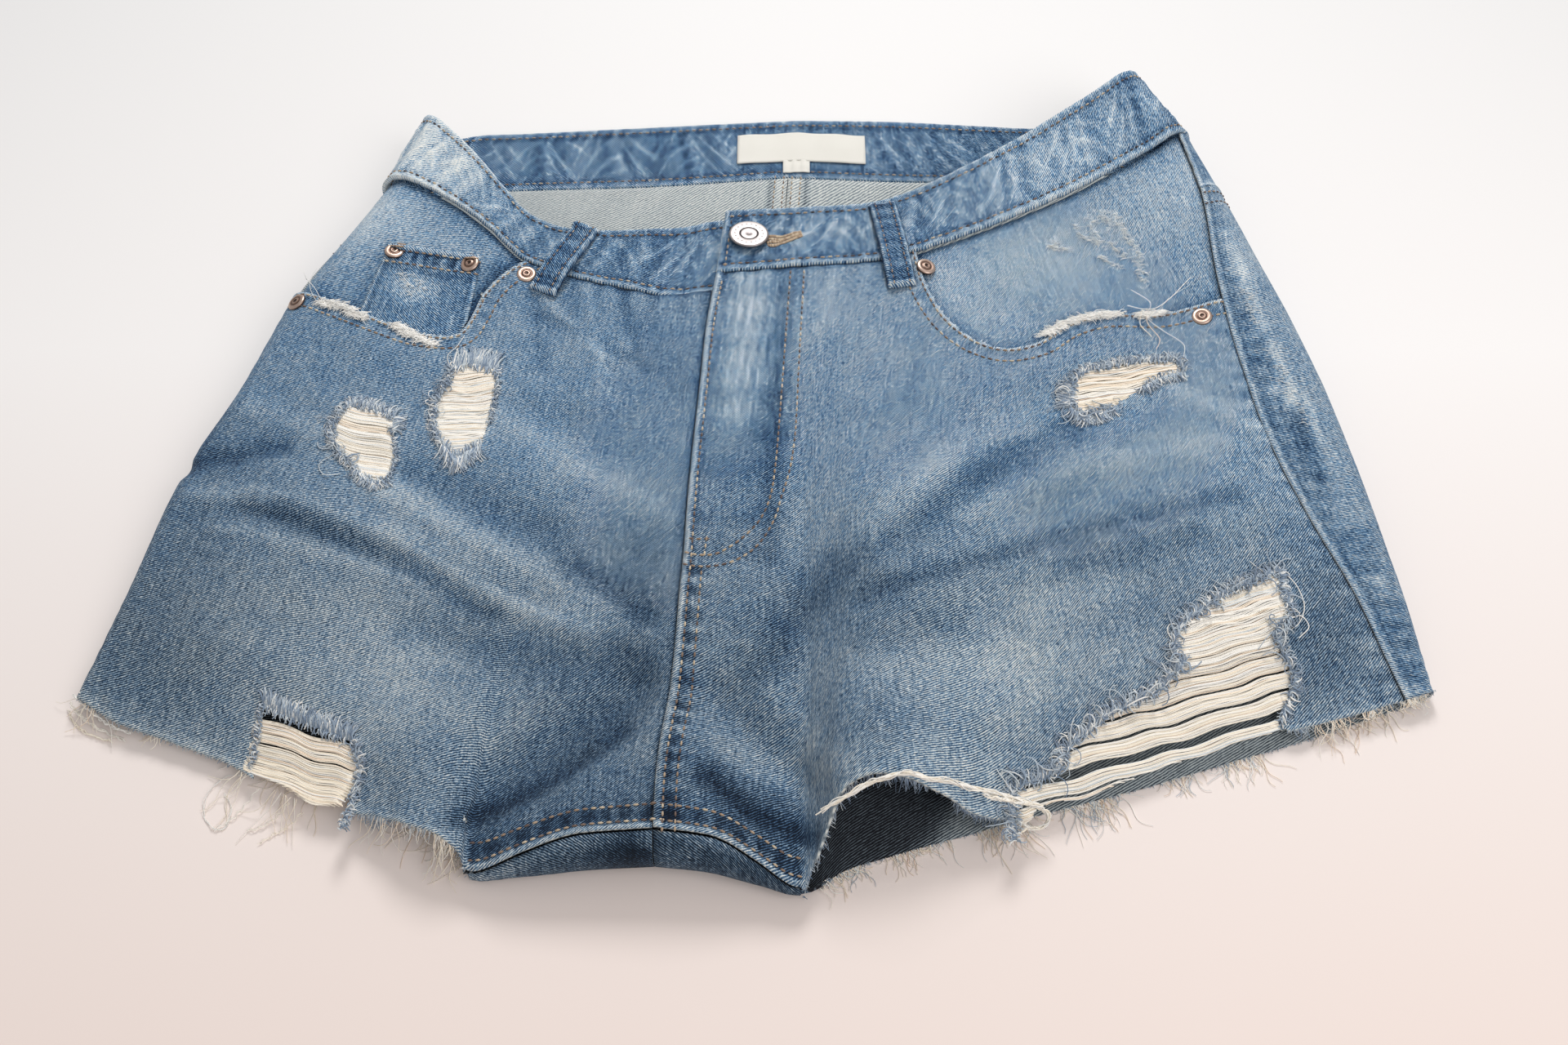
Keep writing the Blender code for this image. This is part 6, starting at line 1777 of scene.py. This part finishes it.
def build_fray(name, seed):
    side, corners = TORN[name]
    chance = np.random.default_rng(seed)
    height = height_over("front_%s_cloth" % side)
    area = sum(a[0] * b[1] - b[0] * a[1] for a, b in sides_of(corners))
    made = [], [], []
    for first, last, reach, loose, density in FRAYS[name]:
        edge = even([corners[i % len(corners)] for i in range(first, last + 1)], 1.0 / density)
        for spot, outward in zip(edge, leftward(edge) * (-1 if area > 0 else 1)):
            # warp ends stand up or down the leg, whatever way their edge runs
            up = np.array([0.10, 1.0 if outward[1] > 0 else -1.0]) if abs(outward[1]) > 0.45 else outward
            over = chance.random() < 0.80
            heading = up if over else -up
            long = reach * chance.uniform(0.55, 1.0) * (1.0 if over else 0.45)
            shade = chance.uniform(0.12, 0.42) if chance.random() < 0.78 else chance.uniform(0.42, 0.62)
            put(made, curl(chance, spot + chance.normal(0, 0.025, 2), heading, long, height, shade,
                           chance.uniform(0.028, 0.044), loose))
    return made


def spin(name, bundles, thickness=1.0):
    lines, widths, tint = ([item for bundle in bundles for item in bundle[i]] for i in range(3))
    grow(name, lines, {"half_width": widths, "tint": tint}, COTTON, {
        "Thread sides": 3, "Thickness": thickness, "Thread": RAW})


for seed, name in enumerate(TORN, 201):
    spin("threads_" + name, [build_weft(name, seed), build_fray(name, seed + 50)])
print("torn places threaded")

# %% Fringe of the raw hems
HEM_RUNS = {"%s_%s" % (layer, side): hems[side] for layer, hems in (("front", HEM_FRONT), ("back", HEM_BACK))
            for side in SIDES}
# Tufts of each hem: the x of the middle, half width, threads, shortest and longest (cm), looseness and tints
TUFTS = {
    "front_right": ((-25.7, 0.7, 12, 0.6, 1.9, 0.7, (0.62, 0.95)),
        (-23.1, 0.3, 6, 0.3, 0.8, 0.7, (0.62, 0.95)), (-19.3, 0.3, 7, 0.8, 2.6, 1.0, (0.60, 0.85)),
        (-17.6, 0.6, 9, 1.2, 3.0, 0.5, (0.62, 0.90)), (-14.0, 0.9, 90, 0.15, 0.55, 1.4, (0.08, 0.42)),
        (-13.6, 1.0, 16, 0.5, 1.6, 0.8, (0.56, 0.95)), (-12.0, 0.8, 40, 0.15, 0.6, 1.4, (0.30, 0.70)),
        (-11.2, 0.4, 26, 0.4, 1.7, 0.8, (0.56, 0.95))),
    "front_left": ((25.6, 0.7, 60, 0.25, 0.9, 1.8, (0.50, 0.95)),
        (24.0, 0.8, 34, 0.25, 1.0, 1.5, (0.55, 0.98)), (22.2, 0.8, 26, 0.4, 1.5, 1.0, (0.60, 0.98)),
        (21.0, 0.4, 30, 0.2, 0.6, 1.5, (0.10, 0.50)), (8.2, 1.2, 90, 0.12, 0.38, 1.2, (0.02, 0.40)),
        (5.2, 1.4, 100, 0.12, 0.38, 1.2, (0.02, 0.34)), (3.0, 0.8, 80, 0.15, 0.45, 1.2, (0.02, 0.50))),
    "back_right": ((-24.0, 2.0, 14, 0.5, 1.6, 0.9, (0.60, 0.95)),
        (-17.0, 2.2, 30, 0.6, 2.2, 0.8, (0.60, 0.95)), (-12.0, 1.2, 50, 0.6, 2.4, 0.8, (0.56, 0.98)),
        (-10.8, 0.3, 20, 0.5, 1.8, 0.8, (0.56, 0.90))),
    "back_left": ((23.6, 2.0, 30, 0.5, 1.5, 1.0, (0.60, 0.98)),
        (18.6, 1.0, 40, 0.5, 1.7, 1.0, (0.30, 0.95)), (16.2, 0.9, 22, 0.4, 1.2, 1.0, (0.30, 0.95)),
        (12.6, 1.4, 70, 0.5, 1.9, 0.9, (0.30, 0.98)), (9.4, 1.2, 60, 0.5, 2.0, 0.9, (0.45, 0.98)),
        (6.0, 1.5, 50, 0.4, 1.4, 1.0, (0.45, 0.98)), (3.2, 1.0, 60, 0.3, 1.2, 1.2, (0.30, 0.95))),
}


def build_fringe(name, seed):
    """Fuzz along the whole cut edge, and tufts of longer threads where the weave has let go."""
    layer, side = name.split("_")
    upper = layer == "front"
    chance = np.random.default_rng(seed)
    hem_line = curve(HEM_RUNS[name])
    inward = -TURN[side]
    torn = torn_of(side) if upper else []
    picks = [(share, chance.uniform(0.06, 0.20), 1.2, chance.uniform(0.05, 0.45))
             for share in chance.random(int(hem_line[2] * 16))]
    for middle_x, half, count, shortest, longest, loose, tints in TUFTS[name]:
        for _ in range(count):
            x = middle_x + half * chance.uniform(-1, 1) * chance.random() ** 0.3
            share = float(np.interp(inward * x, inward * hem_line[1][:, 0], hem_line[0]))
            reach = shortest + (longest - shortest) * chance.random() ** 2
            picks.append((share, reach, loose, chance.uniform(*tints)))
    made = [], [], []
    for share, reach, loose, shade in picks:
        spot = read(hem_line, share)
        way = unit(read(hem_line, min(share + 0.004, 1)) - read(hem_line, max(share - 0.004, 0)))
        out = np.array([way[1], -way[0]])
        out = out if out[1] < 0 else -out
        if reach < 0.5 and any(inside(spot[0], spot[1] + 0.15, corners) for corners in torn):
            continue
        count = 6 if reach < 0.6 else 13
        t = np.linspace(0, 1, count)
        turn = math.atan2(out[1], out[0]) + chance.normal(0, 0.35) + chance.normal(0, 0.8) * loose * t
        if reach > 0.4:
            turn = turn + 0.5 * loose * np.sin(t * chance.uniform(3, 9) + chance.uniform(0, 6))
        start = spot - out * 0.06
        x, y = walk(start, turn, reach)
        base = drop([name + "_cloth"], [start[0]], [start[1]], upper)[0][0, 2] + (-0.05 if upper else 0.05)
        fall = base * np.exp(-(t * reach / 0.9) ** 1.3) + 0.03 * chance.random()
        z = np.maximum(fall, 0.03 + 0.02 * chance.random())
        half = chance.uniform(0.020, 0.030) * CM * (1 - 0.45 * t)
        put(made, (np.stack([x, y, z], -1), half, np.full(count, shade)))
    return made


for seed, name in enumerate(HEM_RUNS, 301):
    spin("fringe_%s_threads" % name, [build_fringe(name, seed)], 0.8)


# %% White frays at the pocket mouths, and threads that came loose
# Worn lines at the pocket mouths, where the fold has worn through to the weft
PATCHES = {
    "right": ([(-18.9, 6.2), (-17.9, 5.9), (-16.9, 5.2)], [(-15.5, 4.9), (-14.8, 4.3), (-13.8, 3.75)]),
    "left": ([(12.2, 4.3), (13.1, 4.9), (14.2, 5.25), (15.4, 5.35)], [(16.2, 5.3), (17.2, 5.5)]),
}
# Long loose threads: side, plan points, height over the front, half width, tint
LOOSE = (("right", [(-20.2, 8.6), (-19.7, 7.6), (-19.2, 6.9), (-18.8, 6.2)], 0.10, 0.016, 0.55),
    ("right", [(-19.4, 8.3), (-19.5, 7.2), (-18.9, 6.1), (-18.0, 5.9)], 0.08, 0.014, 0.56),
    ("right", [(-12.6, 4.3), (-12.8, 3.7), (-13.15, 3.1), (-13.0, 2.5), (-12.9, 2.1)], 0.06, 0.020, 0.57),
    ("left", [(18.6, 6.9), (17.6, 6.2), (16.9, 5.4), (16.3, 4.9)], 0.14, 0.018, 0.40),
    ("left", [(16.1, 6.9), (16.8, 6.0), (16.5, 5.2), (17.1, 4.4), (17.9, 3.6), (17.8, 3.0)],
     0.12, 0.018, 0.55),
    ("left", [(15.8, 5.9), (16.7, 5.6), (17.5, 6.1), (18.7, 7.3)], 0.16, 0.018, 0.60),
    ("left", [(16.4, 5.7), (16.2, 4.7), (16.6, 4.1)], 0.10, 0.020, 0.74),
    ("left", [(16.6, 5.8), (16.5, 4.8), (16.9, 3.9), (16.7, 3.4)], 0.12, 0.018, 0.95),
    ("left", [(20.75, -7.2), (21.3, -7.9), (21.5, -8.8), (21.2, -9.5), (20.9, -9.7)], 0.10, 0.022, 0.62),
    ("left", [(20.7, -9.4), (21.3, -9.2), (21.6, -9.6), (21.2, -10.0)], 0.12, 0.024, 0.58),
    ("right", [(-17.2, 0.1), (-17.6, -0.3), (-17.4, -0.9), (-17.1, -1.2)], 0.10, 0.020, 0.52),
    ("right", [(-17.3, -2.0), (-17.7, -2.5), (-17.4, -3.0), (-16.8, -2.9)], 0.08, 0.022, 0.45))
# Threads that lie on the table: those of the cut edge, and the long ones under the torn hem
LYING = ([(-26.6, -11.9, 0.6), (-25.9, -12.5, 0.50), (-25.0, -13.1, 0.35), (-23.9, -13.5, 0.30)],
    [(-26.8, -12.1, 0.3), (-26.1, -12.8, 0.25), (-25.2, -13.3, 0.12), (-24.2, -13.7, 0.10)],
    [(-26.4, -11.8, 0.7), (-25.5, -12.4, 0.62), (-24.6, -12.9, 0.55), (-23.6, -13.3, 0.45)],
    [(-26.9, -12.3, 0.1), (-26.4, -13.0, 0.05), (-25.5, -13.5, 0.05), (-24.7, -13.7, 0.12)])
LOOPED = ([(-18.7, -15.2, 0.5), (-19.5, -15.1, 0.25), (-20.4, -15.3, 0.06), (-20.8, -16.1, 0.05),
    (-20.5, -17.0, 0.05), (-19.9, -17.2, 0.05), (-19.7, -16.5, 0.05), (-20.1, -15.8, 0.05)],
    [(-18.9, -14.9, 0.5), (-19.6, -14.8, 0.3), (-20.1, -14.7, 0.15), (-20.6, -14.9, 0.06)],
    [(-18.6, -15.6, 0.5), (-19.1, -16.2, 0.15), (-19.6, -16.8, 0.05), (-20.2, -17.3, 0.05)],
    [(-17.4, -16.3, 0.5), (-18.0, -16.8, 0.10), (-18.6, -17.2, 0.05), (-19.2, -17.3, 0.05)],
    [(-16.8, -16.6, 0.5), (-17.4, -17.1, 0.10), (-17.9, -17.4, 0.05), (-18.6, -17.9, 0.05)])


def white_fibre(chance, spot, height, spread, lean, reach, tints, halves, loose):
    """One short fibre that lies across the leg where the cloth was rubbed."""
    start = spot + chance.normal(0, spread, 2)
    way = np.array([chance.choice((-1.0, 1.0)), chance.uniform(-lean, lean)])
    return curl(chance, start, way, reach[0] * chance.uniform(*reach[1:]), height, chance.uniform(*tints),
                chance.uniform(*halves), loose)


def worn_patch(bed, line, seed):
    """White fibres along a fold that is worn through."""
    chance = np.random.default_rng(seed)
    made = [], [], []
    for spot in np.repeat(even(line, 0.018), 3, axis=0):
        put(made, white_fibre(chance, spot, height_over(bed, 0.015), 0.075, 0.5, (1.0, 0.15, 0.40),
                              (0.52, 0.62), (0.020, 0.032), 0.45))
    return made


def rubbed(bed, lines, count, reach, seed):
    """Short white fibres that stand where the cloth was scratched."""
    chance = np.random.default_rng(seed)
    made = [], [], []
    for x0, y0, x1, y1 in lines:
        for share in chance.random(int(count * math.hypot(x1 - x0, y1 - y0))):
            spot = np.array([x0 + (x1 - x0) * share, y0 + (y1 - y0) * share])
            put(made, white_fibre(chance, spot, height_over(bed, -0.01), 0.04, 0.4, (reach, 0.5, 1.2),
                                  (0.42, 0.58), (0.012, 0.020), 0.25))
    return made


def even_thread(points, half, tint):
    return [points], [np.full(len(points), half * CM)], [np.full(len(points), tint)]


def loose_thread(side, spots, rise, half, tint):
    """A long thread that arches over the front between its ends."""
    line = smooth_line(spots, 26)
    points, _ = drop(["front_%s_cloth" % side], line[:, 0], line[:, 1])
    t = np.linspace(0, 1, len(line))
    points[:, 2] += 0.02 + rise * np.sin(math.pi * t) + 0.02 * np.sin(9 * t)
    return even_thread(points, half, tint)


bundles = [worn_patch("front_%s_cloth" % side, line, 401 + 7 * i) for side in SIDES
           for i, line in enumerate(PATCHES[side])]
bundles += [loose_thread(*entry) for entry in LOOSE]
# where the left facing, the coin pocket and the left back are rubbed: lines, fibres per cm, reach and seed
bundles += [rubbed(bed + "_cloth", *entry) for bed, *entry in (
    ("facing_left", zip(*list(SCRATCHES.values())[:4]), 26, 0.30, 431),
    ("coin_pocket", [(-15.6, 8.0, -15.0, 6.6), (-15.0, 7.7, -14.6, 6.9)], 18, 0.28, 432),
    ("back_left", [(20.9, 6.5, 21.2, 4.6), (21.8, 2.6, 22.1, 1.0), (22.5, 0.6, 22.7, -0.4)], 14, 0.3, 433))]
spin("threads_pockets", bundles)

# %% The thick strands that hang across the arched hem
STRAND_POINTS = 60
ARCH = [(2.2, -17.5, 2.1), (2.9, -17.2, 2.6), (3.9, -16.75, 3.0), (5.2, -16.35, 3.3), (6.7, -16.4, 2.8),
    (8.3, -16.5, 2.15), (9.5, -16.6, 1.65), (10.7, -16.8, 1.2)]
EAR = [(8.4, -16.7, 2.05), (9.6, -16.75, 1.6), (10.5, -16.8, 1.25), (10.9, -17.1, 0.9), (10.5, -17.45, 0.7),
    (9.7, -17.3, 1.0)]


def strand(line, seed, half, tint, loose):
    """One thread of a thick, loose strand along a line of points in space."""
    chance = np.random.default_rng(seed)
    share, fine, _ = curve(table("x y z", *line))
    t = np.linspace(chance.uniform(0, 0.12), 1.0 - chance.uniform(0, 0.12), STRAND_POINTS)
    points = np.stack([np.interp(t, share, fine[:, i]) for i in range(3)], -1)
    for axis in range(3):
        run = t * 9.0 + 7.0 * chance.random()
        points[:, axis] += loose * wander(run, 1.6, int(chance.integers(1, 10 ** 6)))
    points[:, 2] = np.maximum(points[:, 2] + 0.04 * chance.random(), 0.04)
    return even_thread(points, half, tint)


bundles = [strand(ARCH, 500 + i, 0.030, 0.58 + 0.04 * (i % 5), 0.06 if i < 9 else 0.13) for i in range(13)]
bundles += [strand(EAR, 520 + i, 0.030, 0.58 + 0.05 * (i % 4), 0.09) for i in range(14)]
bundles += [strand(LYING[i % 4], 540 + i, 0.024, 0.58 + 0.05 * (i % 4), 0.06) for i in range(14)]
bundles += [strand(line, 560 + i + 10 * k, 0.016, 0.56 + 0.04 * i, 0.05) for i, line in enumerate(LOOPED)
            for k in range(2)]
spin("threads_arch", bundles)

# %% [markdown]
# ## Metal
# The shank button and the six burr rivets are turned forms, so each is a profile spun round its axis. The
# button carries a ring of plain dots between two beads where real ones have words. One rivet is spun and a
# Geometry Nodes tree sets it on six points, each turned to the cloth's own normal.

# %% Metal materials and turned forms
def metal_material(name, bright, dull, dark):
    """Plated metal: bright on the raised parts, dull and stained where a thumb does not reach."""
    made, tree, shader = new_material(name)
    place = node(tree, "ShaderNodeTexCoord").outputs["Object"]
    stain = noise(tree, place, 900.0, 4.0, 0.6)
    grain = noise(tree, place, 6000.0, 2.0, 0.5)
    hollow = maths(tree, "MULTIPLY", mark_of(tree, "hollow"), 0.75)
    tone = maths(tree, "ADD", hollow, maths(tree, "MULTIPLY", stain, 0.35))
    finish_shader(tree, shader, colour_ramp(tree, tone, ((0.12, bright), (0.45, dull), (0.95, dark))),
                  (grain, 0.15, 0.0001), (stain, 0.28, 0.50), {"Metallic": 0.85})
    return made


NICKEL = metal_material("worn_nickel", (176, 170, 168), (140, 133, 133), (40, 36, 38))
COPPER = metal_material("worn_copper", (206, 184, 170), (150, 122, 108), (62, 50, 46))


def turned(profile, sides):
    """A profile of (radius, height, hollow) spun round z: points, faces and the hollow mark."""
    profile = np.array(profile, float)
    angle = np.arange(sides) / sides * 2 * math.pi
    rings = [np.stack([r * np.cos(angle), r * np.sin(angle), np.full(sides, z)], -1) for r, z, _ in profile]
    points = np.concatenate(rings + [[[0, 0, profile[-1, 1]]], [[0, 0, profile[0, 1]]]])
    last = (len(profile) - 1) * sides
    turns = [(k, (k + 1) % sides) for k in range(sides)]
    faces = [(low + k, low + n, low + sides + n, low + sides + k) for low in range(0, last, sides)
             for k, n in turns]
    faces += [(last + k, last + n, len(points) - 2) for k, n in turns]
    faces += [(n, k, len(points) - 1) for k, n in turns]
    hollow = np.concatenate([np.repeat(profile[:, 2], sides), [profile[-1, 2], profile[0, 2]]])
    return points, faces, hollow


def frame_at(axis):
    """Three axes at right angles, the last one along an axis."""
    axis = axis / np.linalg.norm(axis)
    across_axis = unit(np.cross((0.0, 1.0, 0.0), axis))
    return np.stack([across_axis, np.cross(axis, across_axis), axis])


def add_solid(name, points, faces, hollow, material):
    mesh = bpy.data.meshes.new(name)
    mesh.from_pydata(metres(points).tolist(), [], faces)
    mark_points(mesh, {"hollow": hollow})
    mesh.materials.append(material)
    mesh.shade_smooth()
    return add_object(name, mesh)


# %% Button with a ring of dots
BUTTON_AT = (-0.5, 10.1)
DOTS, DOT_RING = 18, 0.64
DOT_PROFILE = ((0.042, -0.01, 0.9), (0.036, 0.008, 0.6), (0.020, 0.016, 0.2))
BUTTON_PROFILE = ((0.50, 0.00, 0.9), (0.50, 0.10, 0.9), (0.82, 0.105, 0.9), (0.885, 0.13, 0.8),
    (0.905, 0.17, 0.5), (0.895, 0.215, 0.1), (0.86, 0.245, 0.0), (0.80, 0.255, 0.0), (0.60, 0.250, 0.05),
    (0.46, 0.250, 0.0), (0.43, 0.244, 0.35), (0.415, 0.226, 1.0), (0.395, 0.224, 1.0), (0.38, 0.242, 0.35),
    (0.34, 0.250, 0.0), (0.20, 0.250, 0.05), (0.13, 0.242, 0.3), (0.06, 0.226, 0.6))


def build_button():
    centre, outward = drop(["waistband_cloth"], [BUTTON_AT[0]], [BUTTON_AT[1]])
    points, faces, hollow = turned(BUTTON_PROFILE, 48)
    dot, dot_faces, dot_hollow = turned(DOT_PROFILE, 8)
    for k in range(DOTS):
        angle = 2 * math.pi * k / DOTS
        place = (DOT_RING * math.cos(angle), DOT_RING * math.sin(angle), 0.250)
        faces = faces + [tuple(i + len(points) for i in face) for face in dot_faces]
        points, hollow = np.concatenate([points, dot + place]), np.concatenate([hollow, dot_hollow])
    points = centre[0] - outward[0] * 0.02 + points @ frame_at(outward[0])
    pieces["button_cap"] = add_solid("button_cap", points, faces, hollow, NICKEL)


build_button()

# %% Rivets on six points
# Bed, plan place, and how far it is sunk in, cm
RIVETS = (("front_right", -20.0, 6.35, 0.0), ("coin_pocket", -16.0, 9.0, 0.03),
    ("coin_pocket", -12.75, 8.3, 0.03), ("front_right", -10.35, 7.85, 0.0), ("front_left", 7.45, 8.1, 0.0),
    ("front_left", 18.9, 5.2, 0.0))
RIVET_PROFILE = ((0.44, -0.03, 0.9), (0.44, 0.03, 0.5), (0.425, 0.06, 0.0), (0.375, 0.092, 0.0),
    (0.30, 0.100, 0.1), (0.25, 0.086, 0.6), (0.205, 0.080, 0.9), (0.165, 0.112, 0.3), (0.12, 0.13, 0.1),
    (0.085, 0.115, 0.9), (0.03, 0.100, 1.0))


def rivet_tree():
    tree, given, taken = new_tree("rivets_on_points", (("Rivet", "NodeSocketObject", None),
                                                       ("Metal", "NodeSocketMaterial", None)))
    rivet = node(tree, "GeometryNodeObjectInfo", {"Object": given["Rivet"]}).outputs["Geometry"]
    turn = turned_to(tree, named(tree, "facing", "FLOAT_VECTOR"), "Z")
    places = node(tree, "GeometryNodeMeshToPoints", {"Mesh": given["Geometry"]}).outputs[0]
    rivets = node(tree, "GeometryNodeInstanceOnPoints", {
        "Points": places, "Instance": rivet, "Rotation": turn})
    return end_tree(tree, taken, rivets.outputs[0], given["Metal"])


def build_rivets():
    points, faces, hollow = turned(RIVET_PROFILE, 28)
    pattern = add_solid("rivet_form", points + (0.0, ORIGIN_Y, 0.0), faces, hollow, COPPER)
    spots, facing = [], []
    for bed, x, y, sunk in RIVETS:
        spot, outward = drop([bed + "_cloth"], [x], [y])
        put((spots, facing), (spot - outward * sunk, outward))
    grow("rivets", spots, {"facing": facing}, rivet_tree(), {"Rivet": pattern, "Metal": COPPER})
    bpy.data.objects.remove(pattern)


build_rivets()
print("metal built")

# %% [markdown]
# ## Camera, light and floor
# The shorts lie on a pale table. A lamp behind them rakes over the folds; a wide one in front, at the
# right, and a pale room keep the shade soft.

# %% Camera, floor and light
def add_camera():
    data = bpy.data.cameras.new("camera")
    data.lens, data.sensor_width = 35.0, 36.0
    made = add_object("camera", data)
    made.location = (0.011, -0.37108, 0.545)
    made.rotation_euler = (math.radians(32.0), 0.0, 0.0)
    bpy.context.scene.camera = made


def add_light(name, place, size, power, colour):
    """A soft round lamp that looks at the middle of the garment."""
    data = bpy.data.lights.new(name, "AREA")
    data.shape, data.size, data.energy, data.color = "DISK", size, power, colour
    made = add_object(name, data)
    made.location = place
    made.rotation_euler = (-Vector(place)).to_track_quat("-Z", "Y").to_euler()


def add_floor():
    mesh = bpy.data.meshes.new("table_top")
    mesh.from_pydata([(-2, -1.6, 0), (2, -1.6, 0), (2, 2.4, 0), (-2, 2.4, 0)], [], [(0, 1, 2, 3)])
    paint, tree, shader = new_material("table_white")
    place = node(tree, "ShaderNodeTexCoord").outputs["Object"]
    forward = node(tree, "ShaderNodeSeparateXYZ", {0: place}).outputs["Y"]
    share = node(tree, "ShaderNodeMapRange", {"Value": forward, "From Min": -0.36, "From Max": 0.32})
    # painted light: the table turns pinkish toward the front, as warm light falling on it, and greyer toward
    # the back
    colour = colour_ramp(tree, share.outputs[0], (
        (0.0, (243, 224, 215)), (0.62, (243, 241, 240)), (1.0, (226, 226, 226))))
    tree.links.new(colour, shader.inputs["Base Color"])
    shader.inputs["Roughness"].default_value = 0.6
    shader.inputs["Specular IOR Level"].default_value = 0.2
    mesh.materials.append(paint)
    add_object("table_top", mesh)


def add_world():
    world = bpy.data.worlds.new("soft_room")
    world.use_nodes = True
    glow = world.node_tree.nodes["Background"].inputs
    glow["Color"].default_value = (1.0, 0.985, 0.98, 1.0)
    glow["Strength"].default_value = 0.42
    bpy.context.scene.world = world


add_camera()
add_floor()
add_world()
add_light("window", (0.05, 1.0, 0.95), 0.50, 11.6, (1.0, 0.99, 0.98))
add_light("room_fill", (0.9, -0.8, 1.3), 1.4, 11.0, (1.0, 0.96, 0.94))
bpy.context.scene.view_settings.view_transform = "Standard"
print("camera at", tuple(bpy.context.scene.camera.location))

# %% [markdown]
# ## Bodies, replaced solids and cuts
# Each piece rides on the root body and hides the solids it stands for, and each sheet prints the size that
# its cloth was cut to.

# %% Ride, replace and print the cuts
LOOP_CLOTHS = ["belt_loop_%d" % n for n in range(1, 6)]
REPLACES = {"label_tape": ["label"], "label_tab_tape": ["label_tab"], "button_cap": ["button"],
            "rivets": ["rivet_%d" % n for n in range(1, 7)]}
SHEETS = {"waistband_cloth": ["yoke_right_cloth", "yoke_left_cloth"] + FRONTS,
          "coin_pocket_cloth": ["facing_right_cloth"],
          "label_tape": ["waistband_cloth"], "label_tab_tape": ["waistband_cloth"]}
for name in ["waistband", "coin_pocket"] + LOOP_CLOTHS:
    REPLACES[name + "_cloth"] = [name]
for name in LOOP_CLOTHS:
    SHEETS[name + "_cloth"] = ["waistband_cloth"]
for name in HEM_RUNS:
    REPLACES["fringe_%s_threads" % name] = ["fringe_" + name]
for side in SIDES:
    front, back, yoke, facing, patch = ("%s_%s_cloth" % (part, side) for part in (
        "front", "back", "yoke", "facing", "patch_pocket"))
    REPLACES.update({front: ["front_" + side], back: ["back_" + side], yoke: ["yoke_" + side],
                     facing: ["pocket_facing_" + side], patch: ["back_pocket_" + side]})
    SHEETS.update({front: [facing, back], back: ["table_top", patch], yoke: [back], facing: [back],
                   patch: ["table_top"]})
SHEETS["front_left_cloth"].append("front_right_cloth")
SEWN_UNDER = 0.25        # cm of the label's tab that lie hidden behind the label


def finish_of(name):
    """The name of a piece's finish."""
    if name.startswith("label"):
        return "label_cloth"
    if name.endswith("_cloth"):
        return "denim"
    return {"button_cap": "nickel", "rivets": "copper"}.get(name, "cream_thread")


for name, made in pieces.items():
    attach(made, "root")
    finish_of(name)
    if name in REPLACES:
        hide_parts(*REPLACES[name])
    if name in SHEETS:
        width, length, area = cuts[name]
        if name == "label_tab_tape":
            length, area = length + SEWN_UNDER, area + SEWN_UNDER * width
        area = min(area, width * length)
        print("%-26s cut %.1f x %.1f cm, %.0f cm2" % (name, width, length, area))
